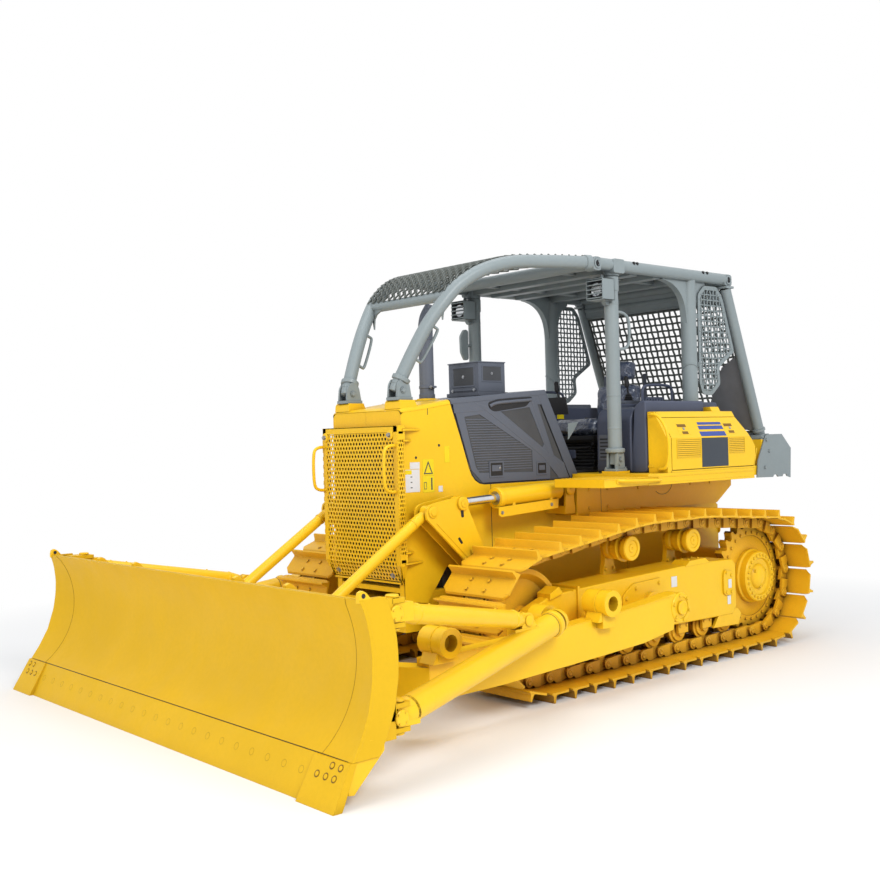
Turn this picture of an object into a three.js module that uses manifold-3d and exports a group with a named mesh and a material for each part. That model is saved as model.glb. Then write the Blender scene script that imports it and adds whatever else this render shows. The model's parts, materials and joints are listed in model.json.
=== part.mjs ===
// Crawler dozer with an angling blade and a forestry canopy.
// Millimetres. Stations run forward (+X), +Y is the machine's left, +Z is up from the ground.
import * as THREE from 'three';
import { mergeVertices } from 'three/addons/utils/BufferGeometryUtils.js';
import Module from 'manifold-3d';

const wasm = await Module();
wasm.setup();

// ---------------------------------------------------------------- driving dimensions
const GAP = 0.3; // between fixed neighbours
const HINGE_GAP = 0.5; // round a hinge tube
const SWING = 6; // round a panel that opens
const SHEET = 8; // body sheet thickness
const LAP = 10; // depth by which joined solids overlap

// Tracks
const HALF_GAUGE = 940;
const SHOE_WIDTH = 610;
const SHOE_PITCH = 203.2;
const SHOE_PLATE = 14;
const GROUSER = 55;
const PIN_TO_TIP = 115;
const PIN_TO_RAIL = 45;
const CHAIN_WIDTH = 210;
const SPROCKET_X = -375;
const SPROCKET_R = 440; // at the chain pins
const IDLER_X = 2370;
const IDLER_R = 402; // at the chain pins
const CARRIER_X = [550, 1300];
const CARRIER_R = 93;
const CARRIER_Z = 925;
const ROLLER_R = 92;
const ROLLER_COUNT = 7;
const ROLLER_FIRST_X = 110;
const ROLLER_LAST_X = 1950;
const FRAME_WIDTH = 300; // track frame beam
const FINAL_DRIVE_R = 215;

// Body
const BODY_HALF = 388; // hood and frame sides
const BODY_REAR_X = -780;
const CASE_HALF = 400;
const CASE_TOP_Z = 1150;
const SEAM_X = 2043; // between frame side sheet and hood nose
const NOSE_X = 2884;
const NOSE_BOTTOM_Z = 655;
const HOOD_REAR_X = 1430;
const HOOD_TOP = [[1430, 2118], [2420, 2040], [2670, 2003], [2884, 1980]];
const PANEL_BOTTOM_Z = 1430;
const PANEL_SPLIT = 100; // width of the fixed cowl strip behind each side panel
const HINGE_R = 8;
const GUARD_HALF = 430;
const GUARD_FRONT_X = 2956;
const GUARD_BOTTOM_Z = 770;
const GUARD_TOP_Z = 1858;
const GUARD_HINGE = { x: 2896, y: 426 };
const GUARD_KNUCKLES = [920, 1760];
const KNUCKLE_LENGTH = 60;
const EXHAUST_X = 2300;
const EXHAUST_R = 56;
const AIR_BOX = { rear: 1640, front: 1931, half: 173, low: 2108, high: 2341 };
const COWL_FOOT_X = 1068; // foot of the slanted cowl

// Deck, boxes and seat
const DECK_Z = 1460;
const DECK_THICK = 80;
const DECK_HALF = 1130;
const DECK_REAR_X = -860;
const DECK_MID_X = -240;
const DECK_FRONT_X = 1150;
const STEP_FRONT_X = 1650;
const BOX_INNER = 690;
const BOX_FRONT_X = 912;
const BOX_TOP_Z = 1925;
const BOX_SLANT_Z = 1720;
const BOX_SLANT_IN = 120;
const DOOR_REAR_X = 0;
const DOOR_FRONT_X = 850;
const DOOR_THICK = 12;
const TANK_TOP_Z = 1850;
const SEAT_HALF = 265;
const SEAT_TOP_Z = 1905;

// Canopy
const POST_Y = 760;
const FRONT_POST_X = 1067;
const REAR_POST_X = 85;
const POST_R = 54;
const REAR_POST_R = 63;
const ROOF_HALF = 797;
const ROOF_Z = 3045; // side rail centre line
const LAMP_Z = ROOF_Z - 270; // foot of the work lamps
const ROOF_FRONT_X = 1303;
const ROOF_REAR_X = -372;
const RAIL_R = 50;
const REAR_FOOT_X = -868;
const REAR_FOOT_Z = 1715;
const SWEEP_R = 55;
const SWEEP_STEPS = 14;
const SWEEP_LINE = [[2815, 285, 2140], [2700, 335, ROOF_Z - 665], [2600, 375, ROOF_Z - 483],
  [2450, 439, ROOF_Z - 278], [2380, 465, ROOF_Z - 205], [2220, 520, ROOF_Z - 100],
  [2000, 590, ROOF_Z - 30], [1700, 688, ROOF_Z - 10], [1323, 787, ROOF_Z]];
const CROSSBAR = 3; // the point of that line where the crossbar meets it

// Blade and its frame
const ARM_GAP = 40; // between shoes and push arms
const ARM_THICK = 110;
const TRUNNION = { x: 1160, z: 507, r: 50 };
const SOCKETS = [{ x: 2028, z: 642, out: 100 }, { x: 2560, z: 600, out: 20 }, { x: 3476, z: 583, out: 100 }];
const SOCKET_R = 88;
const ARM_BEND_X = 3450;
const NOSE_BEAM_X = 4100; // front face of the C-frame's nose
const BLADE_BACK_X = 4150;
const BLADE_TOP = { x: 4430, z: 972, half: 1885 };
const BLADE_MID = { x: 4325, z: 640 };
const BLADE_LOW = { x: 4556, z: 212, half: 1966 };
const EDGE_TIP_X = 4668;
const EDGE_HALF = 1674;
const END_BIT_HALF = 1985;
const END_BIT_TIP_X = 4694;
const STRUT_PIN = { x: 4170, z: 349 };
const BRACE_PIN = { x: 4185, z: 880 };
const BLADE_PIN_Y = 1850;
const STRUT_R = 75;
const BRACE_R = 54;
const BRACE_FOOT_X = 2935;
const TONGUE_HALF = 20;

// Lift linkage
const CRANK_PIVOT = { x: 2200, z: 760, r: 50 };
const LIFT_PIN = { x: 2800, z: 1266, r: 24 };
const CYLINDER_EYE = { x: 2530, z: 1310, r: 24 };
const CYLINDER_PIN = { x: 1410, z: 1354, r: 26 };
const ROD_FOOT = { x: 3950, z: 530 };
const CRANK_WIDTH = 130;
const CRANK_PLATE = 18;
const EYE_WIDTH = 60;
const EYE_R = 44;
const BARREL_R = 70;
const ROD_R = 32;
const BARREL_FRONT = 738; // along the cylinder, from its rear pin

// Worked out from the sizes above
const SPROCKET_Z = SPROCKET_R + PIN_TO_TIP;
const IDLER_Z = IDLER_R + PIN_TO_TIP;
const RAIL_Z = PIN_TO_TIP + PIN_TO_RAIL;
const SHOE_INNER = HALF_GAUGE - SHOE_WIDTH / 2;
const SHOE_OUTER = HALF_GAUGE + SHOE_WIDTH / 2;
const FRAME_INNER = HALF_GAUGE - 120;
const FRAME_OUTER = FRAME_INNER + FRAME_WIDTH;
const ARM_INNER = SHOE_OUTER + ARM_GAP;
const ARM_OUTER = ARM_INNER + ARM_THICK;
const LINK_Y = SHOE_INNER - 100; // centre plane of the lift linkage
const UNDERBOX_HALF = SHOE_INNER - 35;
const DOOR_Z = DECK_Z + 26; // fender door's hinge line
const TANK_HALF = BOX_INNER - 10;
const STRUT_ROOT = {
  x: SOCKETS[1].x + 20,
  y: ARM_OUTER + SOCKETS[1].out + STRUT_R + GAP,
  z: SOCKETS[1].z - 4,
};

// ---------------------------------------------------------------- finishes
const finish = (color, roughness, metalness) =>
  new THREE.MeshStandardMaterial({ color, roughness, metalness });
const yellow = () => finish(0xf7bd22, 0.45, 0.1);
const canopyGrey = () => finish(0x8c9698, 0.5, 0.1);
const darkGrey = () => finish(0x5f6470, 0.6, 0.05);
const trackYellow = () => finish(0xe0a41c, 0.6, 0.2);
const black = () => finish(0x1d1e22, 0.8, 0);
const seatBlue = () => finish(0x3a4a63, 0.5, 0);
const castGrey = () => finish(0x4a4c50, 0.7, 0.4);
const chrome = () => finish(0xd8dade, 0.12, 1);

// ---------------------------------------------------------------- solids
// A closed manifold solid from a three.js geometry, with its faces pointing out.
function solid(geometry) {
  const bare = geometry.clone();
  bare.deleteAttribute('normal');
  bare.deleteAttribute('uv');
  const merged = mergeVertices(bare, 1e-3);
  const position = merged.attributes.position.array;
  const index = merged.index.array;
  const triangles = [];
  for (let i = 0; i < index.length; i += 3) {
    const [a, b, c] = [index[i], index[i + 1], index[i + 2]];
    if (a !== b && b !== c && c !== a) {
      triangles.push(a, b, c);
    }
  }
  if (signedVolume(position, triangles) < 0) {
    triangles.reverse();
  }
  return new wasm.Manifold(new wasm.Mesh({
    numProp: 3,
    vertProperties: new Float32Array(position),
    triVerts: new Uint32Array(triangles),
  }));
}

function signedVolume(position, triangles) {
  const corner = (i) => new THREE.Vector3().fromArray(position, 3 * i);
  let total = 0;
  for (let i = 0; i < triangles.length; i += 3) {
    const a = corner(triangles[i]);
    total += a.dot(corner(triangles[i + 1]).cross(corner(triangles[i + 2])));
  }
  return total;
}

function geometryOf(manifold) {
  const mesh = manifold.getMesh();
  const geometry = new THREE.BufferGeometry();
  geometry.setAttribute('position', new THREE.BufferAttribute(mesh.vertProperties, 3));
  geometry.setIndex(new THREE.BufferAttribute(mesh.triVerts, 1));
  geometry.computeVertexNormals();
  return geometry;
}

const join = (...pieces) => pieces.flat().reduce((sum, piece) => sum.add(piece));
const cut = (body, ...tools) => tools.flat().reduce((rest, tool) => rest.subtract(tool), body);

function block(x0, x1, y0, y1, z0, z1) {
  const geometry = new THREE.BoxGeometry(x1 - x0, y1 - y0, z1 - z0);
  geometry.translate((x0 + x1) / 2, (y0 + y1) / 2, (z0 + z1) / 2);
  return solid(geometry);
}

// A round bar between two points.
function bar(from, to, radius, sides = 16) {
  const start = new THREE.Vector3(...from);
  const along = new THREE.Vector3(...to).sub(start);
  const geometry = new THREE.CylinderGeometry(radius, radius, along.length(), sides);
  geometry.translate(0, along.length() / 2, 0);
  const turn = new THREE.Quaternion().setFromUnitVectors(new THREE.Vector3(0, 1, 0), along.normalize());
  geometry.applyQuaternion(turn);
  geometry.translate(...from);
  return solid(geometry);
}

// A bar across the machine at one station and height.
const crossBar = (at, y0, y1, radius, sides = 16) =>
  bar([at.x, y0, at.z], [at.x, y1, at.z], radius, sides);

function outline(points) {
  return new THREE.Shape(points.map(([a, b]) => new THREE.Vector2(a, b)));
}

const asShape = (points) => (points instanceof THREE.Shape ? points : outline(points));

function extrude(points, depth, curveSegments) {
  const options = { depth, bevelEnabled: false, curveSegments };
  return new THREE.ExtrudeGeometry(asShape(points), options);
}

// Side outlines (x, z) carried across the machine from y0 to y1.
function sidePlate(points, y0, y1, curveSegments = 8) {
  const geometry = extrude(points, y1 - y0, curveSegments);
  geometry.rotateX(Math.PI / 2);
  geometry.translate(0, y1, 0);
  return solid(geometry);
}

// Plan outlines (x, y) carried up from z0 to z1.
function planPlate(points, z0, z1, curveSegments = 8) {
  const geometry = extrude(points, z1 - z0, curveSegments);
  geometry.translate(0, 0, z0);
  return solid(geometry);
}

// Front outlines (y, z) carried forward from x0 to x1.
function frontPlate(points, x0, x1, curveSegments = 8) {
  const geometry = extrude(points, x1 - x0, curveSegments);
  const basis = new THREE.Matrix4().makeBasis(
    new THREE.Vector3(0, 1, 0), new THREE.Vector3(0, 0, 1), new THREE.Vector3(1, 0, 0));
  geometry.applyMatrix4(basis);
  geometry.translate(x0, 0, 0);
  return solid(geometry);
}

// A turned piece on an axis across the machine: profile of [radius, y].
function turned(profile, at, segments = 32) {
  const points = profile.map(([r, y]) => new THREE.Vector2(r, y));
  const geometry = new THREE.LatheGeometry(points, segments);
  geometry.translate(at.x, 0, at.z);
  return solid(geometry);
}

// A tube that follows a smooth curve through the given points.
const tubePath = (points) =>
  new THREE.CatmullRomCurve3(points.map((p) => new THREE.Vector3(...p)), false, 'centripetal');

function bentTube(points, radius, steps, sides = 12) {
  const path = tubePath(points);
  const circle = new THREE.Shape();
  circle.absarc(0, 0, radius, 0, 2 * Math.PI);
  const options = { steps, extrudePath: path, bevelEnabled: false, curveSegments: sides / 2 };
  return solid(new THREE.ExtrudeGeometry(circle, options));
}

function mirrored(manifold) {
  const geometry = geometryOf(manifold);
  geometry.scale(1, -1, 1);
  return solid(geometry);
}

// ---------------------------------------------------------------- the machine
const machine = new THREE.Group();

function add(name, body, material) {
  const mesh = new THREE.Mesh(geometryOf(body), material);
  mesh.name = name;
  machine.add(mesh);
}

function addPair(name, leftBody, makeMaterial) {
  add(`${name}_left`, leftBody, makeMaterial());
  add(`${name}_right`, mirrored(leftBody), makeMaterial());
}

const onBothSides = (leftBody) => [leftBody, mirrored(leftBody)];

// ---------------------------------------------------------------- track loop
// The belt line round a train of wheels, rear to front over the top and back along the ground.
function beltLine(wheels) {
  const tangents = wheels.map((wheel, i) => {
    const next = wheels[(i + 1) % wheels.length];
    const along = new THREE.Vector2(next.x - wheel.x, next.z - wheel.z);
    const reach = along.length();
    const u = along.divideScalar(reach);
    const s = (wheel.r - next.r) / reach;
    const c = Math.sqrt(1 - s * s);
    return { normal: Math.atan2(c * u.x + s * u.y, -c * u.y + s * u.x), length: reach * c };
  });
  const runs = [];
  wheels.forEach((wheel, i) => {
    const before = tangents[(i + wheels.length - 1) % wheels.length].normal;
    const after = tangents[i].normal;
    const turn = THREE.MathUtils.euclideanModulo(before - after, 2 * Math.PI);
    runs.push({ wheel, from: before, turn, length: turn * wheel.r });
    runs.push({ wheel, from: after, turn: 0, length: tangents[i].length });
  });
  const length = runs.reduce((sum, run) => sum + run.length, 0);
  const at = (distance) => {
    let rest = THREE.MathUtils.euclideanModulo(distance, length);
    const run = runs.find((r) => {
      if (rest <= r.length) {
        return true;
      }
      rest -= r.length;
      return false;
    });
    const normal = run.from - (run.turn ? (rest / run.length) * run.turn : 0);
    const slide = run.turn ? 0 : rest;
    const x = run.wheel.x + run.wheel.r * Math.cos(normal) + slide * Math.sin(normal);
    const z = run.wheel.z + run.wheel.r * Math.sin(normal) - slide * Math.cos(normal);
    return { x, z, normal };
  };
  return { length, at };
}

const belt = beltLine([
  { x: SPROCKET_X, z: SPROCKET_Z, r: SPROCKET_R },
  { x: CARRIER_X[0], z: CARRIER_Z, r: CARRIER_R + PIN_TO_RAIL },
  { x: CARRIER_X[1], z: CARRIER_Z, r: CARRIER_R + PIN_TO_RAIL },
  { x: IDLER_X, z: IDLER_Z, r: IDLER_R },
]);

// A point beside the belt line: 'along' the shoe and 'out' from the pins.
function beside(spot, along, out) {
  return [
    spot.x + along * Math.sin(spot.normal) + out * Math.cos(spot.normal),
    spot.z - along * Math.cos(spot.normal) + out * Math.sin(spot.normal),
  ];
}

// The belt line at a fixed distance out, with points only where it bends.
function beltOffset(out, perShoe) {
  const steps = Math.round(belt.length / SHOE_PITCH) * perShoe;
  const spots = Array.from({ length: steps }, (_, i) => belt.at((i * belt.length) / steps));
  const bends = (i) => Math.abs(spots[(i + 1) % steps].normal - spots[(i + steps - 1) % steps].normal) > 1e-6;
  return spots.filter((_, i) => bends(i)).map((spot) => beside(spot, 0, out));
}

function ring(outer, inner, y0, y1) {
  return cut(sidePlate(outer, y0, y1), sidePlate(inner, y0 - 10, y1 + 10));
}

function trackLoop() {
  const count = Math.round(belt.length / SHOE_PITCH);
  const pitch = belt.length / count;
  const plateOut = PIN_TO_TIP - GROUSER;
  const shoes = [];
  for (let i = 0; i < count; i += 1) {
    const spot = belt.at(i * pitch);
    shoes.push(beside(spot, -0.4 * pitch, plateOut));
    shoes.push(beside(spot, -0.37 * pitch, PIN_TO_TIP));
    shoes.push(beside(spot, -0.3 * pitch, PIN_TO_TIP));
    shoes.push(beside(spot, -0.25 * pitch, plateOut));
  }
  const plateIn = plateOut - SHOE_PLATE;
  const shoeRing = ring(shoes, beltOffset(plateIn, 2), SHOE_INNER, SHOE_OUTER);
  const chainOuter = beltOffset(plateIn + 4, 1);
  const half = CHAIN_WIDTH / 2;
  const chain = ring(chainOuter, beltOffset(-PIN_TO_RAIL, 2), HALF_GAUGE - half, HALF_GAUGE + half);
  return join(shoeRing, chain);
}

function sprocket() {
  const chordSag = SPROCKET_R * (1 - Math.cos(SHOE_PITCH / 4 / SPROCKET_R));
  const rim = SPROCKET_R - PIN_TO_RAIL - chordSag - 1;
  const inner = HALF_GAUGE - 82 + GAP;
  return turned([
    [0, inner], [FINAL_DRIVE_R - 15, inner], [FINAL_DRIVE_R - 15, HALF_GAUGE - 35], [rim, HALF_GAUGE - 35],
    [rim, HALF_GAUGE + 35], [FINAL_DRIVE_R, HALF_GAUGE + 35], [FINAL_DRIVE_R, HALF_GAUGE + 130],
    [FINAL_DRIVE_R - 60, HALF_GAUGE + 138], [FINAL_DRIVE_R - 70, HALF_GAUGE + 155], [60, HALF_GAUGE + 165],
    [0, HALF_GAUGE + 165],
  ], { x: SPROCKET_X, z: SPROCKET_Z }, 24);
}

function idler() {
  const chordSag = IDLER_R * (1 - Math.cos(SHOE_PITCH / 4 / IDLER_R));
  const rim = IDLER_R - PIN_TO_RAIL - chordSag - 1;
  const half = 72;
  const axle = 90 - GAP;
  const profile = [[0, -axle], [45, -axle], [45, -half - 3], [95, -half - 3], [95, -30],
    [rim - 55, -30], [rim - 55, -half], [rim, -half]];
  const other = profile.map(([r, y]) => [r, -y]).reverse();
  return turned([...profile, ...other].map(([r, y]) => [r, HALF_GAUGE + y]), { x: IDLER_X, z: IDLER_Z }, 20);
}

// ---------------------------------------------------------------- track frame
function trackFrame() {
  const beamEnd = IDLER_X - IDLER_R + PIN_TO_RAIL - 20;
  const beam = sidePlate([[60, 300], [60, 735], [520, 755], [1490, 720], [beamEnd, 700], [beamEnd, 330]],
    FRAME_INNER, FRAME_OUTER);
  const cheek = [[beamEnd - 20, 330], [beamEnd - 20, 700], [beamEnd + 232, 685], [IDLER_X + 90, 600],
    [IDLER_X + 90, 430], [beamEnd + 232, 330]];
  const cheeks = [
    sidePlate(cheek, HALF_GAUGE + 90, FRAME_OUTER),
    sidePlate(cheek, FRAME_INNER - 50, HALF_GAUGE - 90),
  ];
  const rollers = [];
  for (let i = 0; i < ROLLER_COUNT; i += 1) {
    const x = ROLLER_FIRST_X + (i * (ROLLER_LAST_X - ROLLER_FIRST_X)) / (ROLLER_COUNT - 1);
    const centre = { x, z: RAIL_Z + ROLLER_R + HINGE_GAP };
    rollers.push(crossBar(centre, HALF_GAUGE - 92, HALF_GAUGE + 92, ROLLER_R, 14));
  }
  const carriers = CARRIER_X.flatMap((x) => [
    crossBar({ x, z: CARRIER_Z }, HALF_GAUGE - 70, HALF_GAUGE + 146, CARRIER_R - 2.5, 18),
    block(x - 45, x + 45, HALF_GAUGE - 30, HALF_GAUGE + 60, 700, CARRIER_Z),
  ]);
  const trunnion = [
    crossBar(TRUNNION, FRAME_OUTER - 20, ARM_OUTER + 20, TRUNNION.r),
    crossBar(TRUNNION, FRAME_OUTER - 10, FRAME_OUTER + 40, TRUNNION.r + 40),
  ];
  const brace = block(250, 420, CASE_HALF + GAP, FRAME_INNER + 20, 430, 620);
  return join(beam, cheeks, rollers, carriers, trunnion, brace);
}

// ---------------------------------------------------------------- main frame and engine bay
function mainFrame() {
  const axleCase = sidePlate([[BODY_REAR_X, 520], [BODY_REAR_X, CASE_TOP_Z - 40],
    [BODY_REAR_X + 60, CASE_TOP_Z - GAP], [500, CASE_TOP_Z - GAP], [500, 430], [BODY_REAR_X + 90, 430]],
  -CASE_HALF, CASE_HALF);
  const finalDrives = onBothSides(
    crossBar({ x: SPROCKET_X, z: SPROCKET_Z }, CASE_HALF - 20, HALF_GAUGE - 82, FINAL_DRIVE_R, 20));
  const sheet = sidePlate([[480, 620], [480, CASE_TOP_Z - GAP], [1350, CASE_TOP_Z - GAP],
    [1350, PANEL_BOTTOM_Z - SHEET], [SEAM_X - 3, PANEL_BOTTOM_Z - SHEET], [SEAM_X - 3, 620]],
  BODY_HALF - 25, BODY_HALF);
  const rail = block(480, NOSE_X - 30, 300, 350, 560, 700);
  const tie = block(700, 900, 340, BODY_HALF - 20, 640, 690);
  const tieFront = block(1800, 2000, 340, BODY_HALF - 20, 640, 690);
  const crankShaft = [
    crossBar(CRANK_PIVOT, 340, LINK_Y + CRANK_WIDTH / 2 + 12, CRANK_PIVOT.r),
    crossBar(CRANK_PIVOT, 340, LINK_Y - CRANK_WIDTH / 2 - SWING, CRANK_PIVOT.r + 30),
    block(CRANK_PIVOT.x - 80, CRANK_PIVOT.x + 80, 322, 350, 600, CRANK_PIVOT.z + 60),
  ];
  const pan = block(480, 2700, -320, 320, 430, 450);
  const panSide = block(480, 2700, 300, 320, 440, 600);
  const frontTie = block(NOSE_X - 160, NOSE_X - 30, -350, 350, 430, 640);
  const equaliser = block(1700, 1800, -FRAME_INNER + GAP, FRAME_INNER - GAP, 560, 660);
  const side = join(sheet, rail, tie, tieFront, panSide, ...crankShaft, cylinderBracket());
  return join(axleCase, finalDrives, pan, frontTie, equaliser, onBothSides(side));
}

// The two ears that hold a lift cylinder's rear pin.
function cylinderBracket() {
  const { x, z } = CYLINDER_PIN;
  const foot = 1170;
  const ear = [[x - 62, foot], [x - 45, z + 20], [x, z + 48], [x + 40, z + 20], [x + 50, foot]];
  const inner = LINK_Y - EYE_WIDTH / 2 - SWING;
  const outer = LINK_Y + EYE_WIDTH / 2 + SWING;
  return join(
    sidePlate(ear, inner - CRANK_PLATE, inner),
    sidePlate(ear, outer, outer + CRANK_PLATE),
    block(x - 62, x + 50, BODY_HALF - LAP, outer + CRANK_PLATE, foot, foot + 60),
    crossBar(CYLINDER_PIN, inner - 10, outer + CRANK_PLATE + 8, CYLINDER_PIN.r),
  );
}

function hoodTopAt(x) {
  const i = HOOD_TOP.findIndex(([end], k) => k > 0 && x <= end);
  const [x0, z0] = HOOD_TOP[i - 1];
  const [x1, z1] = HOOD_TOP[i];
  return z0 + ((z1 - z0) * (x - x0)) / (x1 - x0);
}

// Front edge of a side panel, shared with the hood nose; 'inset' moves it back.
function panelEdge(shape, inset, upward) {
  const low = [2110 - inset, upward ? PANEL_BOTTOM_Z : PANEL_BOTTOM_Z - 8];
  const bend = [2212 - inset, low[1] + 4];
  const high = [2247 - inset, PANEL_BOTTOM_Z + 105];
  if (upward) {
    shape.lineTo(...low);
    shape.quadraticCurveTo(...bend, ...high);
  } else {
    shape.lineTo(...high);
    shape.quadraticCurveTo(...bend, ...low);
  }
}

function noseSide() {
  const shape = new THREE.Shape();
  shape.moveTo(SEAM_X, CRANK_PIVOT.z + 95);
  shape.lineTo(2500, CRANK_PIVOT.z + 95);
  shape.lineTo(2680, 620);
  shape.lineTo(NOSE_X, NOSE_BOTTOM_Z);
  shape.lineTo(NOSE_X, hoodTopAt(NOSE_X) - 3);
  shape.lineTo(2670, hoodTopAt(2670) - 3);
  shape.lineTo(2420, hoodTopAt(2420) - 3);
  panelEdge(shape, 0, false);
  shape.lineTo(SEAM_X, PANEL_BOTTOM_Z - 8);
  return sidePlate(shape, BODY_HALF - SHEET, BODY_HALF);
}

function hood() {
  const under = [...HOOD_TOP].reverse().map(([x, z]) => [x, z - 6]);
  const top = sidePlate([...HOOD_TOP, ...under], -BODY_HALF, BODY_HALF);
  const half = BODY_HALF - 2;
  const rear = NOSE_X - 2 * SHEET;
  const band = block(rear, NOSE_X, -half, half, GUARD_TOP_Z - LAP, hoodTopAt(NOSE_X) - 3);
  const flange = block(rear, NOSE_X, half - 58, half, NOSE_BOTTOM_Z, GUARD_TOP_Z);
  const sill = block(NOSE_X - 190, NOSE_X, -half, half, NOSE_BOTTOM_Z + 50, NOSE_BOTTOM_Z + 85);
  const pad = block(2720, 2868, 212, 366, 1975, 2035);
  const exhaustPad = bar([EXHAUST_X, 0, 2040], [EXHAUST_X, 0, 2062], EXHAUST_R + 19, 24);
  const reach = AIR_BOX.half + 7;
  const boxPad = block(AIR_BOX.rear - 10, AIR_BOX.front + 9, -reach, reach, AIR_BOX.low - 34, AIR_BOX.low);
  const ear = (z) => block(NOSE_X - 40, GUARD_HINGE.x + 12, BODY_HALF - 4, GUARD_HINGE.y + 12, z, z + 12);
  const ears = GUARD_KNUCKLES.flatMap((z) => [ear(z - 12 - HINGE_GAP), ear(z + KNUCKLE_LENGTH + HINGE_GAP)]);
  return join(top, onBothSides(join(noseSide(), flange, pad)), band, sill, exhaustPad, boxPad, ears);
}

// Perforated guard before the radiator, hinged on the machine's left.
function radiatorGuard() {
  const chamfer = 55;
  const cornerZ = GUARD_BOTTOM_Z + 126;
  const face = [[-GUARD_HALF, cornerZ], [-GUARD_HALF + chamfer, GUARD_BOTTOM_Z],
    [GUARD_HALF - chamfer, GUARD_BOTTOM_Z], [GUARD_HALF, cornerZ],
    [GUARD_HALF, GUARD_TOP_Z], [-GUARD_HALF, GUARD_TOP_Z]];
  const back = NOSE_X + SWING;
  const hollow = GUARD_HALF - 10;
  const tray = cut(
    frontPlate(face, back, GUARD_FRONT_X),
    block(back - 1, GUARD_FRONT_X - 10, -hollow, hollow, GUARD_BOTTOM_Z - 1, GUARD_TOP_Z - 10),
  );
  const clearings = GUARD_KNUCKLES.map((z) =>
    block(back - 5, GUARD_HINGE.x + 34, GUARD_HALF - 60, GUARD_HALF + 5, z - 20, z + KNUCKLE_LENGTH + 20));
  const { x, y } = GUARD_HINGE;
  const knuckles = GUARD_KNUCKLES.flatMap((z) => [
    bar([x, y, z], [x, y, z + KNUCKLE_LENGTH], 9, 16),
    block(x, x + 50, GUARD_HALF - 9, GUARD_HALF, z, z + KNUCKLE_LENGTH),
  ]);
  return join(cut(tray, clearings), knuckles);
}

function radiator() {
  return block(NOSE_X - 184, NOSE_X - 94, -325, 325, NOSE_BOTTOM_Z + 85 + GAP, GUARD_TOP_Z - 20);
}

// Hinged side cover of the engine bay; its hinge tube runs under the hood's edge.
function sidePanel() {
  const below = 6 + HINGE_GAP + HINGE_R;
  const axisY = BODY_HALF - 1 - HINGE_R;
  const rearTop = HOOD_REAR_X + PANEL_SPLIT + SWING + 3;
  const rearLow = COWL_FOOT_X + PANEL_SPLIT + SWING + 3;
  const frontTop = 2420 - SWING - 10;
  const shape = new THREE.Shape();
  shape.moveTo(rearTop, hoodTopAt(rearTop) - below);
  shape.lineTo(rearLow, PANEL_BOTTOM_Z);
  panelEdge(shape, SWING + 3, true);
  shape.lineTo(frontTop, hoodTopAt(frontTop) - below);
  const plate = sidePlate(shape, axisY, BODY_HALF - 1);
  const onHinge = (x) => [x, axisY, hoodTopAt(x) - below];
  return join(plate, bar(onHinge(rearTop + 5), onHinge(frontTop), HINGE_R, 16));
}

function dashboard() {
  const top = (x) => hoodTopAt(x) - 6 - GAP;
  const slanted = (width) => [[COWL_FOOT_X, PANEL_BOTTOM_Z], [HOOD_REAR_X, top(HOOD_REAR_X)],
    [HOOD_REAR_X + width, top(HOOD_REAR_X + width)], [COWL_FOOT_X + width, PANEL_BOTTOM_Z]];
  const side = BODY_HALF - 1;
  const wall = sidePlate(slanted(60), -side, side);
  const strip = sidePlate(slanted(PANEL_SPLIT), side - SHEET, side);
  return join(wall, onBothSides(strip));
}

function engineBlock() {
  return block(1480, 2480, -320, 320, 700 + GAP, 1560);
}

function exhaustStack() {
  const bend = [EXHAUST_X, 0, 2640];
  const elbow = new THREE.SphereGeometry(EXHAUST_R, 14, 8);
  elbow.translate(...bend);
  const stem = bar([EXHAUST_X, 0, 2062 + GAP], bend, EXHAUST_R);
  return join(stem, solid(elbow), bar(bend, [EXHAUST_X - 60, 0, 2735], EXHAUST_R));
}

function airBox() {
  const { rear, front, half, low, high } = AIR_BOX;
  return block(rear, front, -half, half, low + GAP, high);
}

// ---------------------------------------------------------------- deck and what stands on it
function platform() {
  const low = DECK_Z - DECK_THICK;
  const main = block(DECK_MID_X, DECK_FRONT_X, -DECK_HALF, DECK_HALF, low, DECK_Z);
  const rear = block(DECK_REAR_X, DECK_MID_X + 10, -ROOF_HALF - 50, ROOF_HALF + 50, low, DECK_Z);
  const step = block(DECK_FRONT_X - 10, STEP_FRONT_X, LINK_Y + 125, DECK_HALF, low, DECK_Z - 20);
  const underBox = sidePlate([[1340, low + LAP], [1340, CASE_TOP_Z], [-480, CASE_TOP_Z],
    [-700, CASE_TOP_Z + 140], [-700, low + LAP]], -UNDERBOX_HALF, UNDERBOX_HALF);
  const footBracket = block(DECK_REAR_X, DECK_REAR_X + 60, ROOF_HALF - 50, ROOF_HALF + 50,
    DECK_Z - LAP, REAR_FOOT_Z - 30);
  const postPad = block(FRONT_POST_X - 75, FRONT_POST_X + 75, POST_Y - 75, POST_Y + 75,
    DECK_Z - LAP, DECK_Z + 20);
  const half = BODY_HALF + 5;
  const cowlRoom = block(COWL_FOOT_X - 12, 1400, -half, half, PANEL_BOTTOM_Z - 1, DECK_Z + 10);
  return cut(join(main, rear, underBox, onBothSides(join(step, footBracket, postPad))), cowlRoom);
}

// Outer surface of the fender boxes: upright, then leaning in above the slant line.
function slantAt(z) {
  return DECK_HALF - (BOX_SLANT_IN * Math.max(0, z - BOX_SLANT_Z)) / (BOX_TOP_Z - BOX_SLANT_Z);
}

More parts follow.
